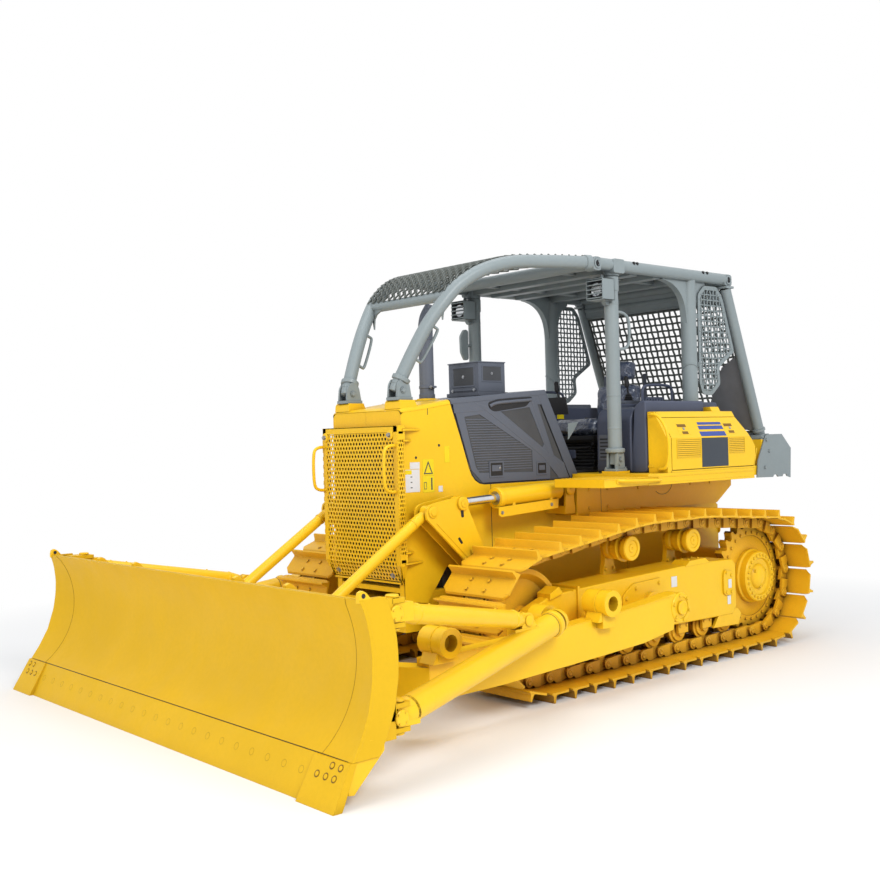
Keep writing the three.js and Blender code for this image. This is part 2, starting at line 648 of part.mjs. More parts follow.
function fenderBox() {
  const floor = DECK_Z + GAP;
  const body = sidePlate([[BOX_FRONT_X, floor], [BOX_FRONT_X - 7, BOX_TOP_Z], [41, BOX_TOP_Z],
    [-293, 1617], [-242, floor]], BOX_INNER, DECK_HALF);
  const [beyond, above] = [DECK_HALF + 90, BOX_TOP_Z + 50];
  const shave = frontPlate([[DECK_HALF, BOX_SLANT_Z], [beyond, BOX_SLANT_Z], [beyond, above],
    [slantAt(above), above]], -400, 1000);
  const doorTop = BOX_TOP_Z - 13;
  const bay = block(DOOR_REAR_X - SWING, DOOR_FRONT_X + SWING, BOX_INNER + 70, DECK_HALF + 5,
    DOOR_Z - HINGE_R - HINGE_GAP, doorTop);
  const pad = block(REAR_POST_X - 80, REAR_POST_X + 80, BOX_INNER, POST_Y + 80,
    BOX_TOP_Z - LAP, BOX_TOP_Z + 35);
  return join(cut(body, shave, bay), pad);
}

function fenderDoor() {
  const top = BOX_TOP_Z - 13 - SWING;
  const outside = [[DECK_HALF, DOOR_Z], [DECK_HALF, BOX_SLANT_Z], [slantAt(top), top]];
  const inside = outside.map(([y, z]) => [y - DOOR_THICK, z]).reverse();
  const skin = frontPlate([...outside, ...inside], DOOR_REAR_X, DOOR_FRONT_X);
  const onHinge = (x) => [x, DECK_HALF - HINGE_R, DOOR_Z];
  return join(skin, bar(onHinge(DOOR_REAR_X), onHinge(DOOR_FRONT_X), HINGE_R, 16));
}

function fuelTank() {
  const floor = DECK_Z + GAP;
  const rear = DECK_REAR_X + 75;
  return sidePlate([[rear + 40, floor], [rear, floor + 40], [rear, TANK_TOP_Z - 90], [rear + 60, TANK_TOP_Z],
    [DECK_MID_X - 60, TANK_TOP_Z], [DECK_MID_X - 60, floor]], -TANK_HALF, TANK_HALF);
}

function seatBase() {
  return block(40, 690, -SEAT_HALF + 30, SEAT_HALF - 30, DECK_Z + GAP, SEAT_TOP_Z - 145);
}

function seatCushion() {
  const low = SEAT_TOP_Z - 145 + GAP;
  return sidePlate([[168, low], [700, low], [722, low + 40], [715, SEAT_TOP_Z - 15], [680, SEAT_TOP_Z],
    [178, SEAT_TOP_Z - 20]], -SEAT_HALF, SEAT_HALF);
}

function seatBack() {
  const low = SEAT_TOP_Z - 145 + GAP;
  return sidePlate([[40, low], [166, low], [150, 2100], [95, 2390], [60, 2410], [-15, 2400],
    [-30, 2370], [0, 2100]], -SEAT_HALF + 15, SEAT_HALF - 15);
}

function sideConsole() {
  const floor = DECK_Z + GAP;
  const inner = SEAT_HALF + 60;
  const front = BOX_FRONT_X + 40;
  const pod = sidePlate([[DECK_MID_X + 30, floor], [front, floor], [front - 10, 1880], [front - 60, 1960],
    [150, 1960], [80, 2010], [DECK_MID_X + 30, 2010]], inner + 150, BOX_INNER - 6);
  const rest = sidePlate([[-60, floor], [640, floor], [700, 1850], [690, 1985], [640, 2010], [-60, 2010]],
    inner, inner + 160);
  return join(pod, rest);
}

// ---------------------------------------------------------------- canopy
function canopy() {
  const rail = crossRail(ROOF_REAR_X, ROOF_FRONT_X);
  const roof = block(ROOF_REAR_X, ROOF_FRONT_X, -ROOF_HALF, ROOF_HALF, ROOF_Z + 12, ROOF_Z + 26);
  const beams = [ROOF_REAR_X, ROOF_FRONT_X].map((x) =>
    bar([x, -ROOF_HALF, ROOF_Z], [x, ROOF_HALF, ROOF_Z], RAIL_R));
  const ties = [REAR_POST_X, FRONT_POST_X].map((x) =>
    block(x - 50, x + 50, -ROOF_HALF, ROOF_HALF, ROOF_Z - RAIL_R - 5, ROOF_Z + 15));
  const base = BOX_TOP_Z + 35 + GAP;
  const post = join(
    bar([REAR_POST_X, POST_Y, base], [REAR_POST_X, POST_Y, ROOF_Z], REAR_POST_R),
    block(REAR_POST_X - 70, REAR_POST_X + 70, BOX_INNER + 5, POST_Y + 70, base, base + 20),
    sidePlate(frontGusset(), POST_Y - 30, POST_Y + 30),
    sidePlate(rearGusset(), POST_Y - 30, POST_Y + 30),
  );
  const [near, far] = [ROOF_HALF - 57, ROOF_HALF + 53];
  const corner = block(ROOF_REAR_X - 68, ROOF_REAR_X + 42, near, far, ROOF_Z - 55, ROOF_Z + 45);
  const nodeBlock = block(ROOF_FRONT_X - 40, ROOF_FRONT_X + 50, near, far, ROOF_Z - 60, ROOF_Z + 50);
  return join(roof, beams, ties, onBothSides(join(rail, post, corner, nodeBlock)));
}

const crossRail = (x0, x1) => bar([x0, ROOF_HALF, ROOF_Z], [x1, ROOF_HALF, ROOF_Z], RAIL_R);

function frontGusset() {
  const shape = new THREE.Shape();
  const face = REAR_POST_X + REAR_POST_R - 8;
  shape.moveTo(REAR_POST_X, ROOF_Z - 20);
  shape.lineTo(REAR_POST_X, ROOF_Z - 485);
  shape.lineTo(face, ROOF_Z - 485);
  shape.quadraticCurveTo(face + 60, ROOF_Z - 110, REAR_POST_X + 390, ROOF_Z - 70);
  shape.lineTo(REAR_POST_X + 390, ROOF_Z - 20);
  return shape;
}

function rearGusset() {
  const shape = new THREE.Shape();
  const face = REAR_POST_X - REAR_POST_R + 8;
  shape.moveTo(REAR_POST_X, ROOF_Z - 20);
  shape.lineTo(REAR_POST_X - 200, ROOF_Z - 20);
  shape.quadraticCurveTo(face - 10, ROOF_Z - 130, face, ROOF_Z - 345);
  shape.lineTo(REAR_POST_X, ROOF_Z - 345);
  return shape;
}

function frontPost() {
  const base = DECK_Z + 20 + GAP;
  const top = ROOF_Z - RAIL_R - 5 - GAP;
  return join(
    bar([FRONT_POST_X, POST_Y, base], [FRONT_POST_X, POST_Y, top], POST_R),
    block(FRONT_POST_X - 68, FRONT_POST_X + 68, POST_Y - 68, POST_Y + 68, base, base + 18),
    bar([FRONT_POST_X, POST_Y, base + 120], [FRONT_POST_X, POST_Y, base + 138], POST_R + 22),
    block(FRONT_POST_X + 30, FRONT_POST_X + 78, POST_Y - 40, POST_Y + 40, LAMP_Z - 35, LAMP_Z),
  );
}

function workLamp() {
  const x0 = FRONT_POST_X + POST_R + GAP;
  return block(x0, x0 + 150, POST_Y - 80, POST_Y + 80, LAMP_Z + GAP, LAMP_Z + 165);
}

function frontSweeps() {
  const foot = block(2750, 2865, 232, 340, 2035 + GAP, 2145);
  const [x, y, z] = SWEEP_LINE[CROSSBAR];
  const cross = bar([x, -y, z], [x, y, z], SWEEP_R - 8);
  const gusset = frontPlate([[y - 10, z - 10], [y - 150, z - 10], [y - 60, z - 60], [y - 40, z - 120]],
    x - 8, x + 8);
  const roofNode = block(ROOF_FRONT_X - 200, ROOF_FRONT_X + 50 + GAP, 0, 1000, ROOF_Z - 245, ROOF_Z + 255);
  const sweep = cut(bentTube(SWEEP_LINE, SWEEP_R, SWEEP_STEPS, 10), roofNode);
  return join(cross, onBothSides(join(foot, sweep, gusset)));
}

// Steel mesh laid over the front sweeps behind their crossbar, as one thin sheet.
function sweepMesh() {
  const [x, y, z] = SWEEP_LINE[CROSSBAR];
  const line = tubePath(SWEEP_LINE).getSpacedPoints(SWEEP_STEPS).filter((p) => p.x <= x + 160);
  const raised = (height) => line.map((p, i) => {
    const ahead = line[Math.min(i + 1, line.length - 1)];
    const behind = line[Math.max(i - 1, 0)];
    const run = new THREE.Vector2(behind.x - ahead.x, behind.z - ahead.z).normalize();
    return [p.x - height * run.y, p.z + height * run.x];
  });
  const low = raised(SWEEP_R - 4);
  const high = raised(SWEEP_R + 5);
  const sheet = sidePlate([...low, ...high.reverse()], -ROOF_HALF, ROOF_HALF);
  const sides = line.map((p) => [p.x + 60, p.y + 10]);
  sides.push([ROOF_FRONT_X, ROOF_HALF - 10]);
  const plan = planPlate([...sides, ...[...sides].reverse().map(([sx, sy]) => [sx, -sy])], ROOF_Z - 545, ROOF_Z + 255);
  const frontEdge = block(x + 20, x + 600, -1000, 1000, ROOF_Z - 1045, ROOF_Z + 255);
  const roofEdge = block(ROOF_FRONT_X - 200, ROOF_FRONT_X + 50 + GAP, -1000, 1000, ROOF_Z - 245, ROOF_Z + 255);
  const tubeRoom = onBothSides(bentTube(SWEEP_LINE, SWEEP_R + 2 * GAP, SWEEP_STEPS, 10));
  const crossRoom = bar([x, -y, z], [x, y, z], SWEEP_R - 8 + GAP);
  return cut(sheet.intersect(plan), roofEdge, frontEdge, tubeRoom, crossRoom);
}

function rearGuard() {
  const topZ = ROOF_Z - 55 - GAP;
  const head = block(ROOF_REAR_X - 78, ROOF_REAR_X + 32, ROOF_HALF - 57, ROOF_HALF + 53, topZ - 20, topZ);
  const tube = bar([ROOF_REAR_X - 25, ROOF_HALF, topZ - 14], [REAR_FOOT_X, ROOF_HALF, REAR_FOOT_Z], 45);
  const foot = block(REAR_FOOT_X - 60, REAR_FOOT_X + 70, ROOF_HALF - 50, ROOF_HALF + 53,
    REAR_FOOT_Z - 30 + GAP, REAR_FOOT_Z + 20);
  const low = crossBar({ x: REAR_FOOT_X, z: REAR_FOOT_Z }, -ROOF_HALF, ROOF_HALF, 30);
  const high = crossBar({ x: ROOF_REAR_X - 60, z: ROOF_Z - 155 }, -ROOF_HALF, ROOF_HALF, 28);
  const above = block(ROOF_REAR_X - 200, ROOF_REAR_X + 200, 600, 1000, topZ, topZ + 200);
  return join(low, high, onBothSides(join(head, cut(tube, above), foot)));
}

function rearMesh() {
  const topPoint = [ROOF_REAR_X - 72, ROOF_Z - 190];
  const lowPoint = [REAR_FOOT_X + 16, REAR_FOOT_Z + 36];
  const thick = 8;
  const plate = [topPoint, lowPoint, [lowPoint[0] + thick, lowPoint[1]], [topPoint[0] + thick, topPoint[1]]];
  return sidePlate(plate, -ROOF_HALF + 45 + GAP, ROOF_HALF - 45 - GAP);
}

function sideWindow() {
  return sidePlate([[-20, ROOF_Z - 115], [-240, ROOF_Z - 85], [-330, ROOF_Z - 285], [-470, 2400], [-330, 2270], [-330, 2130],
    [-270, 2010], [-130, 2010], [-60, 2110], [-20, 2560]], POST_Y + 30 + GAP, POST_Y + 42);
}

function rearPlate() {
  return sidePlate([[-785, 1357], [-800, 1500], [-905, 1721], [-1090, 1728], [-1253, 1640], [-1236, 1338]],
    ROOF_HALF + 53 + GAP, ROOF_HALF + 65);
}

// ---------------------------------------------------------------- C-frame
function cFrame() {
  const armEnd = ARM_BEND_X + ARM_THICK;
  const arm = sidePlate([[1200, 618], [1650, 571], [2280, 530], [armEnd, 490], [armEnd, 240],
    [2950, 248], [2000, 289], [1580, 312], [1250, 361]], ARM_INNER, ARM_OUTER);
  const eye = crossBar(TRUNNION, ARM_INNER - 5, ARM_OUTER + 2, 108, 18);
  const sockets = SOCKETS.map((at) => join(
    crossBar(at, ARM_INNER + 10, ARM_OUTER + at.out, SOCKET_R, 14),
    block(at.x - 60, at.x + 60, ARM_INNER + 20, ARM_OUTER + at.out * 0.6, 480, at.z - 20),
  ));
  const bores = SOCKETS.map((at) => crossBar(at, ARM_OUTER - 70 + at.out, ARM_OUTER + 120, 50, 14));
  const trunnionBore = crossBar(TRUNNION, ARM_INNER - 20, ARM_OUTER + 20, TRUNNION.r + 1, 20);
  const left = cut(join(arm, eye, sockets), bores, trunnionBore);
  const back = NOSE_BEAM_X - 150;
  const nosePlan = [[ARM_BEND_X, ARM_OUTER], [armEnd, ARM_OUTER], [NOSE_BEAM_X - 40, 560],
    [NOSE_BEAM_X, 300]];
  const noseInner = [[back, 280], [back - 30, 520], [ARM_BEND_X + 20, ARM_INNER], [ARM_BEND_X, ARM_INNER]];
  const flip = (points) => [...points].reverse().map(([x, y]) => [x, -y]);
  const nose = planPlate([...nosePlan, ...flip(nosePlan), ...flip(noseInner), ...noseInner], 240, 440);
  const ball = bar([NOSE_BEAM_X - 20, 0, 340], [BLADE_BACK_X - GAP, 0, 340], 70);
  const ear = [[ROD_FOOT.x - 50, 430], [ROD_FOOT.x - 45, ROD_FOOT.z + 20], [ROD_FOOT.x, ROD_FOOT.z + 50],
    [ROD_FOOT.x + 45, ROD_FOOT.z + 20], [ROD_FOOT.x + 60, 430]];
  const clear = EYE_WIDTH / 2 + 14;
  const ears = [
    sidePlate(ear, LINK_Y - clear - CRANK_PLATE, LINK_Y - clear),
    sidePlate(ear, LINK_Y + clear, LINK_Y + clear + CRANK_PLATE),
  ];
  return join(nose, ball, onBothSides(join(left, ears)));
}

// ---------------------------------------------------------------- blade
// Points of a circular arc through three points, ends included.
function arcThrough(a, b, c, steps) {
  const [ax, ay, bx, by, cx, cy] = [...a, ...b, ...c];
  const d = 2 * (ax * (by - cy) + bx * (cy - ay) + cx * (ay - by));
  const [sa, sb, sc] = [ax * ax + ay * ay, bx * bx + by * by, cx * cx + cy * cy];
  const x = (sa * (by - cy) + sb * (cy - ay) + sc * (ay - by)) / d;
  const y = (sa * (cx - bx) + sb * (ax - cx) + sc * (bx - ax)) / d;
  const r = Math.hypot(ax - x, ay - y);
  const wrap = (angle) => THREE.MathUtils.euclideanModulo(angle, 2 * Math.PI);
  const from = wrap(Math.atan2(ay - y, ax - x));
  const to = wrap(Math.atan2(cy - y, cx - x));
  return Array.from({ length: steps + 1 }, (_, i) => {
    const angle = from + ((to - from) * i) / steps;
    return [x + r * Math.cos(angle), y + r * Math.sin(angle)];
  });
}

const bladeFace = (steps) =>
  arcThrough([BLADE_TOP.x, BLADE_TOP.z], [BLADE_MID.x, BLADE_MID.z], [BLADE_LOW.x, BLADE_LOW.z + GAP], steps);

function blade() {
  const face = bladeFace(7);
  const back = (depth) => [...face].reverse().map(([x, z]) => [x - depth, z]);
  const board = sidePlate([...face, ...back(22)], -BLADE_LOW.half, BLADE_LOW.half);
  const endRibs = sidePlate([...face, ...back(110)], BLADE_TOP.half - 120, BLADE_LOW.half);
  const spread = (BLADE_LOW.half - BLADE_TOP.half) / (BLADE_TOP.z - BLADE_LOW.z);
  const slope = (z) => BLADE_TOP.half + spread * (BLADE_TOP.z - z);
  const [low, high] = [0, 1100];
  const wedge = (y, inset) =>
    frontPlate([[slope(low) - inset, low], [y, low], [y, high], [slope(high) - inset, high]], 4000, 4800);
  const outside = wedge(2200, 0);
  const endPlate = cut(endRibs, outside, wedge(1500, 26));
  const topBeam = block(BLADE_MID.x - 75, BLADE_TOP.x - 60, -BLADE_TOP.half, BLADE_TOP.half, 840, 930);
  const midBeam = block(BLADE_MID.x - 115, BLADE_MID.x - 5, -BLADE_TOP.half, BLADE_TOP.half, 340, 540);
  const lowBeam = block(BLADE_MID.x - 20, BLADE_LOW.x - 80, -BLADE_TOP.half, BLADE_TOP.half, 250, 350);
  const rib = (y) => sidePlate([[BLADE_MID.x - 70, 900], [BLADE_MID.x - 110, 520], [BLADE_MID.x - 10, 520],
    [BLADE_MID.x - 5, 700], [BLADE_TOP.x - 80, 900]], y - 10, y + 10);
  const ribs = [-1300, -700, -250, 250, 700, 1300].map(rib);
  const socket = block(BLADE_BACK_X, BLADE_MID.x, -130, 130, 260, 440);
  const pinBlock = (pin, reach) => {
    const plate = (z) => planPlate([[pin.x - 60, BLADE_PIN_Y - 55], [pin.x - 60, BLADE_PIN_Y + 35],
      [pin.x + reach, BLADE_PIN_Y + 35], [pin.x + reach, BLADE_PIN_Y - 75]], z, z + 25);
    return [plate(pin.z - 75), plate(pin.z + 50),
      bar([pin.x, BLADE_PIN_Y - 10, pin.z - 90], [pin.x, BLADE_PIN_Y - 10, pin.z - 50], 28, 16),
      bar([pin.x, BLADE_PIN_Y - 10, pin.z + 50], [pin.x, BLADE_PIN_Y - 10, pin.z + 90], 28, 16)];
  };
  const cheeks = [
    block(BLADE_MID.x - 110, BLADE_MID.x - 10, BLADE_PIN_Y - 75, BLADE_PIN_Y + 35, 250, 960),
    ...pinBlock(STRUT_PIN, 60), ...pinBlock(BRACE_PIN, 60),
  ];
  const body = join(board, topBeam, midBeam, lowBeam, ribs, socket, onBothSides(join(endPlate, ...cheeks)));
  const front = [[4800, BLADE_LOW.z], [4800, 1000], [BLADE_TOP.x, 1000]];
  const beforeFace = sidePlate([...face, ...front], -2100, 2100);
  const edgeRoom = block(4500, 4800, -2100, 2100, 0, BLADE_LOW.z + GAP);
  return cut(body, beforeFace, onBothSides(outside), edgeRoom);
}

// Bolt-on cutting edge with its two end bits.
function cuttingEdge() {
  const section = (proud, tipX) => [[BLADE_LOW.x + proud, BLADE_LOW.z], [tipX, 0], [EDGE_TIP_X - 28, 0],
    [BLADE_LOW.x - 26, BLADE_LOW.z]];
  const edge = sidePlate(section(6, EDGE_TIP_X), -EDGE_HALF, EDGE_HALF);
  const bit = sidePlate(section(16, END_BIT_TIP_X), EDGE_HALF - 1, END_BIT_HALF);
  const top = BLADE_LOW.z + 5;
  const trim = frontPlate([[BLADE_LOW.half, top], [END_BIT_HALF, 29], [2100, 29], [2100, top]], 4400, 4800);
  return join(edge, onBothSides(cut(bit, trim)));
}

// ---------------------------------------------------------------- struts from blade to arm
// Centre line of a strut at a station.
function strutAt(x) {
  const t = (x - STRUT_ROOT.x) / (STRUT_PIN.x - STRUT_ROOT.x);
  const y = STRUT_ROOT.y + t * (BLADE_PIN_Y - 12 - STRUT_ROOT.y);
  return [x, y, STRUT_ROOT.z + t * (STRUT_PIN.z - STRUT_ROOT.z)];
}

// Flat block that sits between a pin's two plates on the blade.
function pinTongue(pin, tail) {
  return planPlate([[pin.x - tail, BLADE_PIN_Y - 56], [pin.x - tail, BLADE_PIN_Y + 34],
    [pin.x + 28, BLADE_PIN_Y + 30], [pin.x + 28, BLADE_PIN_Y - 50]], pin.z - 50 + GAP, pin.z + 50 - GAP);
}

function strut() {
  const rear = SOCKETS[1];
  const rim = ARM_OUTER + rear.out + GAP;
  const [, lugY, lugZ] = strutAt(BRACE_FOOT_X);
  const lugPlate = (y) => block(BRACE_FOOT_X - 55, BRACE_FOOT_X + 40, y, y + 14, lugZ, lugZ + 165);
  return join(
    crossBar(rear, rim, rim + 2 * STRUT_R, 92, 20),
    crossBar(rear, rim - 60, rim + 10, 48, 16),
    bar(strutAt(STRUT_ROOT.x), strutAt(STRUT_PIN.x - 85), STRUT_R, 20),
    pinTongue(STRUT_PIN, 120),
    lugPlate(lugY + TONGUE_HALF + GAP),
    lugPlate(lugY - TONGUE_HALF - GAP - 14),
  );
}

// Upper brace, from the blade's upper pin down to the lug on the strut.
function brace() {
  const [, footY, strutZ] = strutAt(BRACE_FOOT_X);
  const footZ = strutZ + STRUT_R + 42;
  const foot = [BRACE_FOOT_X, footY, footZ];
  const head = [BRACE_PIN.x, BLADE_PIN_Y - 12, BRACE_PIN.z];
  const at = (t) => foot.map((value, i) => value + t * (head[i] - value));
  return join(
    bar(at(0.075), at(0.93), BRACE_R, 20),
    block(BRACE_FOOT_X - 40, BRACE_FOOT_X + 130, footY - TONGUE_HALF, footY + TONGUE_HALF,
      footZ - 30, footZ + 30),
    pinTongue(BRACE_PIN, 110),
  );
}

// ---------------------------------------------------------------- lift linkage
function bellCrank() {
  const lever = new THREE.Shape();
  lever.moveTo(CRANK_PIVOT.x + 40, CRANK_PIVOT.z - 90);
  lever.lineTo(LIFT_PIN.x + 55, LIFT_PIN.z - 45);
  lever.quadraticCurveTo(LIFT_PIN.x + 80, LIFT_PIN.z + 45, LIFT_PIN.x - 10, LIFT_PIN.z + 58);
  lever.lineTo(CYLINDER_EYE.x + 12, CYLINDER_EYE.z + 50);
  lever.absarc(CYLINDER_EYE.x, CYLINDER_EYE.z, 51, Math.PI / 2, 1.1 * Math.PI, false);
  lever.lineTo(2340, 1010);
  lever.lineTo(CRANK_PIVOT.x - 95, CRANK_PIVOT.z + 60);
  lever.quadraticCurveTo(CRANK_PIVOT.x - 110, CRANK_PIVOT.z - 80, CRANK_PIVOT.x + 40, CRANK_PIVOT.z - 90);
  const low = LINK_Y - CRANK_WIDTH / 2;
  const high = LINK_Y + CRANK_WIDTH / 2;
  const plates = [
    sidePlate(lever, low, low + CRANK_PLATE, 4),
    sidePlate(lever, high - CRANK_PLATE, high, 4),
  ];
  const hub = crossBar(CRANK_PIVOT, low, high, 85, 20);
  const web = sidePlate([[CRANK_PIVOT.x + 70, CRANK_PIVOT.z - 50], [2590, 1070], [2575, 1095],
    [CRANK_PIVOT.x + 30, CRANK_PIVOT.z + 10]], low + 5, high - 5);
  const liftPin = crossBar(LIFT_PIN, low - 4, high + 8, LIFT_PIN.r);
  const caps = [
    crossBar(CYLINDER_EYE, high - 5, high + 18, 46),
    crossBar(CYLINDER_EYE, low - 8, low + 5, 40),
  ];
  const bore = crossBar(CRANK_PIVOT, low - 10, high + 10, CRANK_PIVOT.r + 1, 20);
  return cut(join(plates, hub, web, liftPin, caps), bore);
}

function liftRod() {
  const from = [LIFT_PIN.x, LINK_Y, LIFT_PIN.z];
  const to = [ROD_FOOT.x, LINK_Y, ROD_FOOT.z];
  const half = EYE_WIDTH / 2;
  const body = join(
    bar(from, to, 38),
    crossBar(LIFT_PIN, LINK_Y - half, LINK_Y + half, EYE_R),
    crossBar(ROD_FOOT, LINK_Y - half, LINK_Y + half, EYE_R - 2),
  );
  const room = crossBar(LIFT_PIN, LINK_Y - 60, LINK_Y + 60, LIFT_PIN.r + 0.8, 16);
  const cheek = (y0, y1) =>
    block(LIFT_PIN.x - 60, LIFT_PIN.x + 90, y0, y1, LIFT_PIN.z - 120, LIFT_PIN.z + 60);
  return cut(body, room, cheek(LINK_Y + half, LINK_Y + 80), cheek(LINK_Y - 80, LINK_Y - half));
}

// Cylinder axis from the rear pin to the rod's eye.
const cylinderLine = new THREE.Vector2(CYLINDER_EYE.x - CYLINDER_PIN.x, CYLINDER_EYE.z - CYLINDER_PIN.z);
function alongCylinder(distance) {
  const share = distance / cylinderLine.length();
  return [CYLINDER_PIN.x + cylinderLine.x * share, LINK_Y, CYLINDER_PIN.z + cylinderLine.y * share];
}

function liftCylinder() {
  const half = EYE_WIDTH / 2;
  const tube = join(
    bar(alongCylinder(78), alongCylinder(BARREL_FRONT), BARREL_R, 20),
    bar(alongCylinder(40), alongCylinder(90), 30, 16),
    crossBar(CYLINDER_PIN, LINK_Y - half, LINK_Y + half, 46, 18),
  );
  const { z } = CYLINDER_PIN;
  const hoseGuard = sidePlate([[1560, z - 95], [2110, z - 115], [2110, z - 60], [1560, z - 45]],
    LINK_Y - 20, LINK_Y + 50);
  const bore = bar(alongCylinder(150), alongCylinder(BARREL_FRONT + 10), ROD_R + 0.8, 18);
  const pinRoom = crossBar(CYLINDER_PIN, LINK_Y - 60, LINK_Y + 60, CYLINDER_PIN.r + 0.8, 16);
  return cut(join(tube, hoseGuard), bore, pinRoom);
}

function cylinderRod() {
  const reach = cylinderLine.length();
  const half = EYE_WIDTH / 2 - 4;
  return join(
    bar(alongCylinder(520), alongCylinder(reach - 20), ROD_R, 18),
    crossBar(CYLINDER_EYE, LINK_Y - half, LINK_Y + half, EYE_R, 18),
  );
}

function drawbar() {
  const back = BODY_REAR_X - GAP;
  const lug = block(back - 30, back, -170, 170, 540, 820);
  const jaw = (z) => planPlate([[back - 5, -110], [back - 5, 110], [back - 20, 110], [back - 190, 80],
    [back - 240, 40], [back - 240, -40], [back - 190, -80], [back - 20, -110]], z, z + 40);
  return join(lug, jaw(590), jaw(710), bar([back - 150, 0, 570], [back - 150, 0, 780], 30));
}

// ---------------------------------------------------------------- assembly
add('main_frame', mainFrame(), yellow());
add('engine_block', engineBlock(), castGrey());
add('radiator', radiator(), black());
add('hood', hood(), yellow());
add('dashboard', dashboard(), darkGrey());
add('radiator_guard', radiatorGuard(), yellow());
add('exhaust_stack', exhaustStack(), darkGrey());
add('air_box', airBox(), darkGrey());
addPair('side_panel', sidePanel(), darkGrey);
addPair('track', trackLoop(), trackYellow);
addPair('track_frame', trackFrame(), yellow);
addPair('sprocket', sprocket(), yellow);
addPair('idler', idler(), yellow);
add('platform', platform(), yellow());
addPair('fender_box', fenderBox(), yellow);
addPair('fender_door', fenderDoor(), yellow);
add('fuel_tank', fuelTank(), darkGrey());
add('seat_base', seatBase(), black());
add('seat_cushion', seatCushion(), seatBlue());
add('seat_back', seatBack(), seatBlue());
addPair('console', sideConsole(), darkGrey);
add('canopy', canopy(), canopyGrey());
addPair('front_post', frontPost(), canopyGrey);
addPair('work_lamp', workLamp(), canopyGrey);
add('front_sweeps', frontSweeps(), canopyGrey());
add('sweep_mesh', sweepMesh(), castGrey());
add('rear_guard', rearGuard(), canopyGrey());
add('rear_mesh', rearMesh(), castGrey());
addPair('side_window', sideWindow(), canopyGrey);
addPair('rear_plate', rearPlate(), canopyGrey);
add('c_frame', cFrame(), yellow());
add('blade', blade(), yellow());
add('cutting_edge', cuttingEdge(), yellow());
addPair('strut', strut(), yellow);
addPair('brace', brace(), yellow);
addPair('bell_crank', bellCrank(), yellow);
addPair('lift_rod', liftRod(), yellow);
addPair('lift_cylinder', liftCylinder(), yellow);
addPair('cylinder_rod', cylinderRod(), chrome);
add('drawbar', drawbar(), yellow());

// The frame's origin is under the middle of the machine, on the ground.
const bounds = new THREE.Box3().setFromObject(machine);
const middle = bounds.getCenter(new THREE.Vector3());
machine.position.set(-middle.x, -middle.y, -bounds.min.z);

export default machine;
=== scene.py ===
"""Looks of a crawler dozer with a canopy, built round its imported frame.

Stations are in metres: forward from the sprocket side, left of the middle, up from the ground.
"""
import json
import logging
import math
from dataclasses import dataclass, field
from enum import Enum
from typing import Callable, Iterable, Sequence

import bmesh
import bpy
from mathutils import Euler, Matrix, Vector

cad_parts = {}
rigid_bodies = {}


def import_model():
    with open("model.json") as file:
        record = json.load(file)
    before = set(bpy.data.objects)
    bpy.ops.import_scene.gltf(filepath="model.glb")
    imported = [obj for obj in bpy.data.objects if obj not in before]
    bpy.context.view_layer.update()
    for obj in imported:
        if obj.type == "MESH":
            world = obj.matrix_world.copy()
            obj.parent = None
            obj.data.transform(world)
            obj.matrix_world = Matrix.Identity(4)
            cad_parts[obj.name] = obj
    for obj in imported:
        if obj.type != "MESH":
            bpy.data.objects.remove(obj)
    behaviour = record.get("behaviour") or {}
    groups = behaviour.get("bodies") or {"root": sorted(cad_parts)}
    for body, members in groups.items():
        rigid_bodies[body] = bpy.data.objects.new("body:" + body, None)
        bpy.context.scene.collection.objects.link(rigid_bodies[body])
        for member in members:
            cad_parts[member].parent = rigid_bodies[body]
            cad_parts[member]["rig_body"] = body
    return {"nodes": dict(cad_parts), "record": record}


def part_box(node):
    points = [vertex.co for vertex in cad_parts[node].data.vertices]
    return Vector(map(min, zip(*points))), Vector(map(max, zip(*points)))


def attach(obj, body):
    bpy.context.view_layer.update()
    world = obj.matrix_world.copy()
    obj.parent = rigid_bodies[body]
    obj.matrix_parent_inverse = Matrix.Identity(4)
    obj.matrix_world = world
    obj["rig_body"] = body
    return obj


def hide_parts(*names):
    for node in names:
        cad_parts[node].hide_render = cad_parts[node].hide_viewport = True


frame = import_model()

log = logging.getLogger("dozer")

Point = tuple[float, float, float]
Flat = tuple[float, float]

EDGE_TIP_STATION = 4.694
ROW_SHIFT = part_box("cutting_edge")[1].x - EDGE_TIP_STATION
SMOOTH_ANGLE = math.radians(30.2)
HINGE_DROP = 0.0145
GUARD_PIN = (2.896, 0.426)


class Side(Enum):
    """Side of the machine a piece belongs to."""

    LEFT = 1
    RIGHT = -1

    @property
    def word(self) -> str:
        """Word used in node and body names."""
        return self.name.lower()


